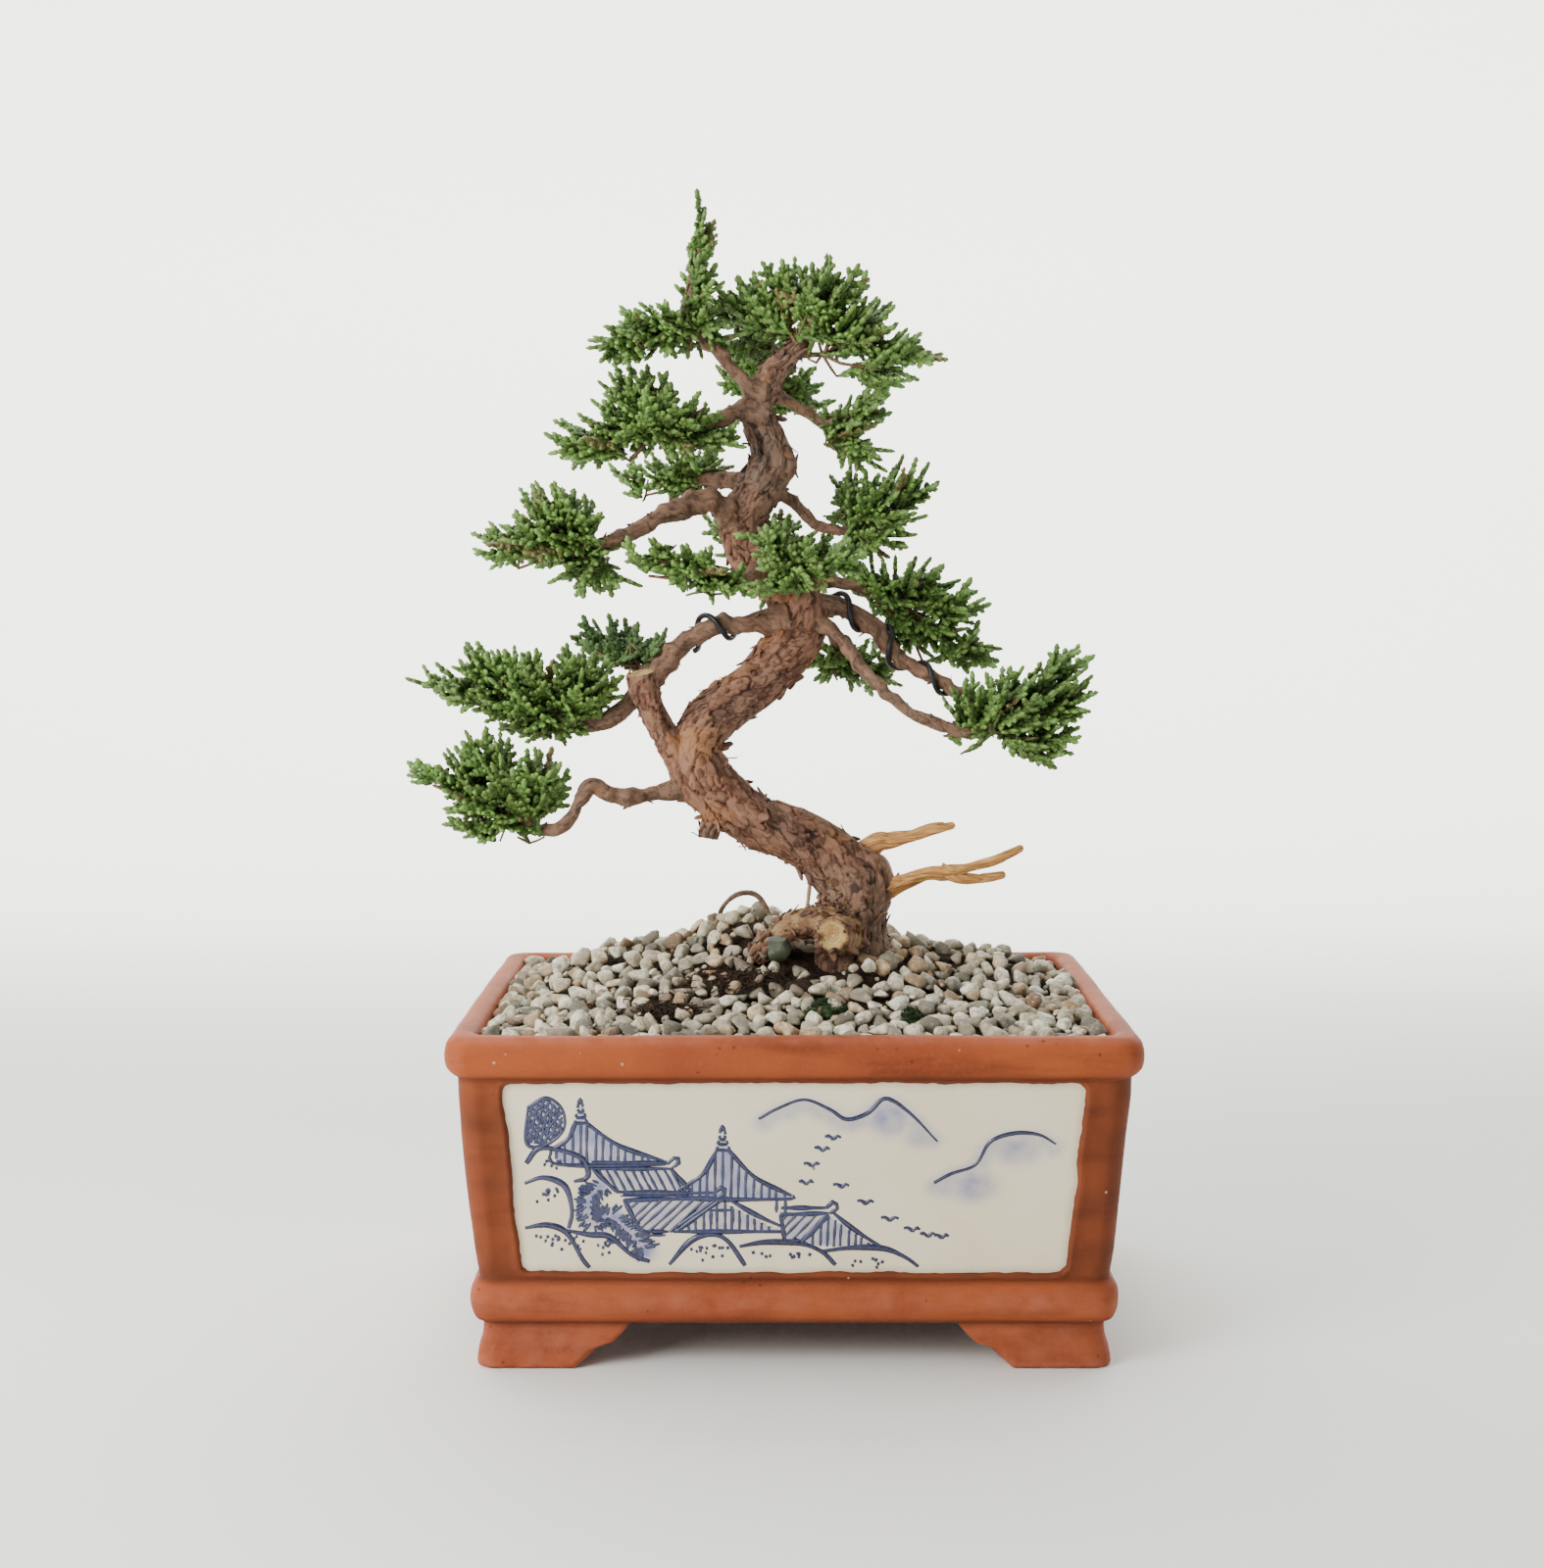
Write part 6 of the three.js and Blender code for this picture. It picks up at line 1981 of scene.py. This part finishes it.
class BonsaiPotSettings(bpy.types.PropertyGroup):
    clay: colour_setting("Clay", "Colour of the fired clay", (0.25, 0.052, 0.0175))
    glaze: colour_setting("Glaze", "Colour of the panels' glaze", (0.81, 0.71, 0.52))
    cobalt: colour_setting("Cobalt", "Colour of the brush work", (0.006, 0.0085, 0.042))
    unevenness: bpy.props.FloatProperty(
        name="Unevenness", description="How far the hand-pressed walls stray, in mm", default=0.65,
        min=0, max=2)


class BonsaiTreeSettings(bpy.types.PropertyGroup):
    bark_depth: bpy.props.FloatProperty(
        name="Bark depth", description="Height of the bark's flakes on the trunk, in mm", default=1.0,
        min=0, max=3)
    spray_gap: bpy.props.FloatProperty(
        name="Spray gap", description="Distance between two sprays of foliage, in mm", default=4.7,
        min=3, max=12)
    cord_thickness: bpy.props.FloatProperty(
        name="Cord thickness", description="Thickness of a leafy shoot, in mm", default=1.85,
        min=0.5, max=3)
    tips: colour_setting("Tips", "Colour of fresh growth", (0.34, 0.53, 0.115))
    leaves: colour_setting("Leaves", "Colour of grown scale leaves", (0.08, 0.172, 0.036))


class BonsaiGroundSettings(bpy.types.PropertyGroup):
    pebbles: bpy.props.IntProperty(
        name="Pebbles", description="How many large pebbles are laid", default=1500, min=0, max=4000)
    largest: bpy.props.FloatProperty(
        name="Largest", description="Half width of the largest pebbles, in mm", default=3.9, min=1, max=8)


# ---------------------------------------------------------------- operators
class BONSAI_OT_stage(bpy.types.Operator):
    """Camera, plain pale floor and soft light"""

    bl_idname = "bonsai.stage"
    bl_label = "Stage"

    def execute(self, context):
        scene = context.scene
        camera_data = bpy.data.cameras.new("camera")
        camera_data.lens = CAMERA_LENS
        camera_data.sensor_width = 36
        camera = bpy.data.objects.new("camera", camera_data)
        camera.location = (POT_CENTRE + CAMERA_PLACE) * MM
        camera.rotation_euler = (math.radians(90 - CAMERA_DIP), 0, 0)
        scene.collection.objects.link(camera)
        scene.camera = camera
        self._floor(scene)
        for name, place, size, power, colour in (
                ("key", (-0.57, -0.47, 0.44), 0.45, 9.0, (1.0, 0.97, 0.93)),
                ("fill", (1.1, -0.9, 0.75), 1.2, 1.1, (0.95, 0.98, 1.0)),
                ("top", (-0.2, 0.1, 1.4), 1.0, 11.5, (1.0, 1.0, 1.0))):
            data = bpy.data.lights.new(name, "AREA")
            data.size = size
            data.energy = power
            data.color = colour
            light = bpy.data.objects.new(name, data)
            light.location = place
            aim = LIGHTS_AIM - light.location
            light.rotation_euler = aim.to_track_quat("-Z", "Y").to_euler()
            scene.collection.objects.link(light)
        world = bpy.data.worlds.new("studio")
        world.use_nodes = True
        background = world.node_tree.nodes["Background"]
        background.inputs["Color"].default_value = (0.9, 0.95, 0.92, 1)
        background.inputs["Strength"].default_value = 0.36
        scene.world = world
        return {"FINISHED"}

    @staticmethod
    def _floor(scene):
        """One sheet: level under the pot, then curving up behind it."""
        start, bend = FLOOR_BEND_START, FLOOR_BEND_RADIUS
        sweep = [(FLOOR_FRONT, 0.0), (start, 0.0)]
        sweep += [(start + bend * math.sin(t), bend - bend * math.cos(t))
                  for t in np.linspace(0.1, math.pi / 2, 16)]
        sweep.append((start + bend, BACKDROP_HEIGHT))
        points = np.array([(x, y, z) for y, z in sweep for x in (-FLOOR_HALF_WIDTH, FLOOR_HALF_WIDTH)])
        quads = [(2 * k, 2 * k + 1, 2 * k + 3, 2 * k + 2) for k in range(len(sweep) - 1)]
        mesh = raw_mesh("floor", points, quads)
        mesh.materials.append(floor_finish())
        floor = bpy.data.objects.new("floor", mesh)
        scene.collection.objects.link(floor)


class BONSAI_OT_pot(bpy.types.Operator):
    """Clay pot with its moulding, rim, recesses, feet and drain holes"""

    bl_idname = "bonsai.pot"
    bl_label = "Pot"

    def execute(self, context):
        settings = context.scene.bonsai_pot
        finish = terracotta_finish(tuple(settings.clay))
        body = drained(new_mesh("body", pot_body(settings.unevenness)))
        feet = new_mesh("feet", joined([foot(corner) for corner in range(4)]))
        place_piece("clay_pot", merged_mesh("clay_pot", [body, feet]), finish, "terracotta", "pot")
        return {"FINISHED"}


class BONSAI_OT_panels(bpy.types.Operator):
    """Glazed panels and their brush work"""

    bl_idname = "bonsai.panels"
    bl_label = "Glazed panels"

    def execute(self, context):
        settings = context.scene.bonsai_pot
        glaze = glaze_finish(tuple(settings.glaze), tuple(settings.cobalt))
        cobalt = cobalt_finish(tuple(settings.cobalt))
        for quarter, side in enumerate(SIDES):
            brush = reeds(20 + quarter) if quarter % 2 else landscape(10 + quarter)
            part = panel_part(quarter, brush.wash_at)
            place_piece(f"glaze_{side}", new_mesh("panel", part), glaze, "glazed_panel", f"panel_{side}")
            strokes = brushwork_mesh(quarter, brush, cobalt)
            place_piece(f"brushwork_{side}", strokes, cobalt, "glazed_panel")
        return {"FINISHED"}


class BONSAI_OT_drain_screens(bpy.types.Operator):
    """Nets over the drain holes"""

    bl_idname = "bonsai.drain_screens"
    bl_label = "Drain screens"

    def execute(self, context):
        finish = mesh_plastic_finish()
        for name, x in (("left", -DRAIN_HOLE_X), ("right", DRAIN_HOLE_X)):
            net = followed(lattice_sheet(x), finish, sides=6)
            place_piece(f"drain_net_{name}", net, finish, "drain_mesh", f"drain_screen_{name}")
        return {"FINISHED"}


class BONSAI_OT_soil(bpy.types.Operator):
    """Soil under the gravel"""

    bl_idname = "bonsai.soil"
    bl_label = "Soil"

    def execute(self, context):
        finish = soil_finish()
        for slot in frame["nodes"]["soil"].material_slots:
            slot.material = finish
        return {"FINISHED"}


class BONSAI_OT_gravel(bpy.types.Operator):
    """Pebbles and grit on a crumbly bed"""

    bl_idname = "bonsai.gravel"
    bl_label = "Gravel"

    def execute(self, context):
        settings = context.scene.bonsai_ground
        rng = random.Random(4)
        largest = settings.largest
        finish = gravel_finish()
        wanted = ((largest * 0.78, largest, settings.pebbles // 5),
                  (largest * 0.58, largest * 0.8, settings.pebbles))
        big, kept = scattered_stones(rng, wanted, 14)
        small, _ = scattered_stones(rng, ((1.4, 2.3, 520), (0.7, 1.3, 420)), 10, kept, 0.75)
        bed = new_mesh("bed", gravel_bed(230, 56))
        place_piece("gravel_bed", bed, soil_finish(), "top_gravel", "gravel")
        place_piece("gravel_pebbles", stone_mesh(rng, big, 0.12, finish, 0.16, 0.12), finish, "top_gravel")
        place_piece("gravel_grit", stone_mesh(rng, small, 0.3, finish, 0.3, 0.2), finish, "top_gravel")
        litter = soil_finish()
        place_piece("fallen_litter", followed(litter_lines(rng, 420), litter, sides=4), litter, "top_gravel")
        return {"FINISHED"}


class BONSAI_OT_moss_and_stone(bpy.types.Operator):
    """Moss cushions and the dark stone"""

    bl_idname = "bonsai.moss_and_stone"
    bl_label = "Moss and stone"

    def execute(self, context):
        points, quads, triangles, values = pebble_shape(5, 8)
        stone = (points * (11.4, 8.6, 8.6) + (-4, -21, 116.5), quads, triangles, values)
        place_piece("green_stone", new_mesh("stone", stone), dark_stone_finish(), "dark_stone", "dark_stone")
        finish = moss_finish()
        rng = random.Random(12)
        for name, centre, half, count in (
                ("moss_front", (9, -41, 99.6), (6.6, 5.0, 3.0), 430),
                ("moss_right", (34, -47, 98.9), (3.6, 3.2, 2.4), 190)):
            mound = blob(centre, half, 8, 0.35)
            points = mound[0]
            chosen = np.array([rng.randrange(len(points)) for _ in range(count)])
            outward = unit((points[chosen] - centre) / np.array(half))
            heading = unit(np.cross(outward, np.array([[rng.gauss(0, 1) for _ in range(3)] for _ in chosen])))
            size = np.array([[rng.uniform(0.7, 1.3)] * 3 for _ in chosen])
            place = points[chosen] + np.array([[rng.gauss(0, 0.15) for _ in range(3)] for _ in chosen])
            tufts = repeated(shape_collection("tuft", [tuft_shape()]), place,
                             turns_towards(heading, outward), size, finish)
            piece = merged_mesh(name, [new_mesh("mound", mound), tufts])
            place_piece(name + "_cushion", piece, finish, "moss", name)
        return {"FINISHED"}


class BONSAI_OT_trunk(bpy.types.Operator):
    """Trunk with its cut limbs, the burl at its foot and loose bark"""

    bl_idname = "bonsai.trunk"
    bl_label = "Trunk"

    def execute(self, context):
        depth = context.scene.bonsai_tree.bark_depth
        finish = bark_finish("bark")
        rng = random.Random(9)
        trunk = swept_wood(TRUNK, 1, 120, 0.5, depth, 0.012, bulges=TRUNK_BULGES, oval=0.05)
        trunk = add_age(trunk, trunk_age)
        stub = swept_wood(CUT_LIMBS["cut_stub_left"], 6, 48, 0.5, depth * 0.7, cut_end=True)
        stub = add_age(stub, trunk_age)
        knob = swept_wood(CUT_LIMBS["trunk_knob"], 7, 40, 0.5, depth * 0.5, cut_end=True)
        knob = add_age(knob, lambda places: np.full(len(places), 0.9))
        for name, part, count, length, nodes in (
                ("trunk", trunk, 800, 3.2, ("trunk",)),
                ("cut_stub", joined([stub, knob]), 90, 2.2, ("cut_stub_left",))):
            flakes = loose_flakes(part, rng, count, finish, length)
            mesh = merged_mesh(name, [new_mesh(name, part), flakes])
            place_piece(name + "_bark", mesh, finish, "bark", *nodes)
        shaggy = add_age(swept_wood(BURL_ROOT, 8, 56, 0.45, depth * 1.2), trunk_age)
        burl = add_age(swept_wood(BURL_FACE, 12, 64, 0.4, depth * 0.4, cut_end=True), trunk_age)
        for part in (shaggy, burl):
            part[3]["aged"][:] = 0.55
            part[3]["tint"] += 0.16
            part[3]["cut"] = np.maximum(part[3]["cut"], 0.38)
        flakes = loose_flakes(joined([shaggy, burl]), rng, 380, finish, 3.0)
        mesh = merged_mesh("burl", [new_mesh("burl", joined([shaggy, burl])), flakes])
        place_piece("burl_bark", mesh, finish, "bark", "root_burl")
        return {"FINISHED"}


class BONSAI_OT_limbs(bpy.types.Operator):
    """Limbs of the tree"""

    bl_idname = "bonsai.limbs"
    bl_label = "Limbs"

    def execute(self, context):
        finish = bark_finish("limb_bark", 0.3)
        rng = random.Random(31)
        for k, (name, points) in enumerate(LIMBS.items()):
            first = (*points[0][:3], points[0][3] * 1.45)
            thick = max(point[3] for point in points)
            around = 30 if thick > 3.2 else 22
            part = swept_wood([first, *points[1:]], 40 + k, around, 0.55, 0.16 + 0.09 * thick, knots=0.17)
            part = add_age(part, lambda places: 0.5 + 0.35 * fractal_noise(places * 0.08, 5, 2))
            flakes = loose_flakes(part, rng, int(14 * thick), finish, 1.8)
            mesh = merged_mesh(name, [new_mesh(name, part), flakes])
            place_piece(name + "_bark", mesh, finish, "bark", name)
        return {"FINISHED"}


class BONSAI_OT_dead_wood(bpy.types.Operator):
    """Bare bleached stubs on the right of the trunk"""

    bl_idname = "bonsai.dead_wood"
    bl_label = "Dead wood"

    def execute(self, context):
        finish = dead_wood_finish()
        for k, (name, points) in enumerate(DEAD_WOOD.items()):
            part = swept_wood(points, 70 + k, 44, 0.4, 0.65, 0.09, relief=dead_relief, oval=0.16)
            place_piece(name + "_wood", new_mesh(name, part), finish, "dead_wood", name)
        return {"FINISHED"}


class BONSAI_OT_small_stems(bpy.types.Operator):
    """The arching root and the dry stem behind the trunk"""

    bl_idname = "bonsai.small_stems"
    bl_label = "Small stems"

    def execute(self, context):
        bark = bark_finish("root_bark", 0.3)
        part = swept_wood(SMALL_STEMS["arching_root"], 81, 20, 0.5, 0.22)
        part = add_age(part, lambda places: np.full(len(places), 0.8))
        place_piece("arching_root_bark", new_mesh("root", part), bark, "bark", "arching_root")
        straw = straw_finish()
        lines = [stem_line(SMALL_STEMS["grass_stem"], 0.12)]
        place_piece("dry_grass_stem", followed(lines, straw, sides=9), straw, "dry_stem", "grass_stem")
        return {"FINISHED"}


class BONSAI_OT_wires(bpy.types.Operator):
    """Training wire wound round two limbs"""

    bl_idname = "bonsai.wires"
    bl_label = "Training wire"

    def execute(self, context):
        finish = wire_finish()
        for name, spec in WIRES.items():
            coil = followed([wire_line(spec)], finish, sides=10)
            place_piece(name.replace("training", "wound"), coil, finish, "training_wire", name)
        return {"FINISHED"}


class BONSAI_OT_foliage(bpy.types.Operator):
    """Foliage pads and the fine twigs inside them"""

    bl_idname = "bonsai.foliage"
    bl_label = "Foliage"

    def execute(self, context):
        settings = context.scene.bonsai_tree
        finish = foliage_finish(tuple(settings.tips), tuple(settings.leaves))
        twigs = []
        for k, (name, (lobes, limb, share)) in enumerate(FOLIAGE.items()):
            lobes = lobes + fringe(lobes)
            route = Route(TRUNK if limb == "trunk" else LIMBS[limb])
            root = route.at(np.array([route.length * share]))[0][0]
            shoots, hubs = grow_pad(lobes, root, 100 + k, settings.spray_gap)
            twigs += pad_twigs(hubs, root, 200 + k, 8.0)
            cool = 0.45 if name == "foliage_left_back" else 0.0
            mesh = shoot_mesh(shoots, lobes, settings.cord_thickness, finish, cool)
            place_piece(name.replace("foliage", "sprays"), mesh, finish, "foliage", name)
        place_piece("fine_twigs", new_mesh("twigs", twig_part(twigs)), twig_finish(), "bark")
        return {"FINISHED"}


# ---------------------------------------------------------------- panel
PIECES = (
    BONSAI_OT_stage, BONSAI_OT_pot, BONSAI_OT_panels, BONSAI_OT_drain_screens, BONSAI_OT_soil,
    BONSAI_OT_gravel, BONSAI_OT_moss_and_stone, BONSAI_OT_trunk, BONSAI_OT_limbs,
    BONSAI_OT_dead_wood, BONSAI_OT_small_stems, BONSAI_OT_wires, BONSAI_OT_foliage,
)
SETTINGS = {
    "bonsai_pot": BonsaiPotSettings, "bonsai_tree": BonsaiTreeSettings,
    "bonsai_ground": BonsaiGroundSettings,
}


class BONSAI_PT_pieces(bpy.types.Panel):
    """Lists the settings and the pieces"""

    bl_idname = "BONSAI_PT_pieces"
    bl_label = "Bonsai in a Pot"
    bl_space_type = "VIEW_3D"
    bl_region_type = "UI"
    bl_category = "Bonsai"

    def draw(self, context):
        for group, settings in SETTINGS.items():
            box = self.layout.box()
            for key in settings.__annotations__:
                box.prop(getattr(context.scene, group), key)
        for piece in PIECES:
            self.layout.operator(piece.bl_idname)


def register():
    for kind in (*SETTINGS.values(), *PIECES, BONSAI_PT_pieces):
        bpy.utils.register_class(kind)
    for group, settings in SETTINGS.items():
        setattr(bpy.types.Scene, group, bpy.props.PointerProperty(type=settings))


def unregister():
    for group in SETTINGS:
        delattr(bpy.types.Scene, group)
    for kind in (BONSAI_PT_pieces, *reversed(PIECES), *SETTINGS.values()):
        bpy.utils.unregister_class(kind)


def main():
    register()
    for piece in PIECES:
        getattr(bpy.ops.bonsai, piece.bl_idname.split(".")[1])()


if __name__ == "__main__":
    main()
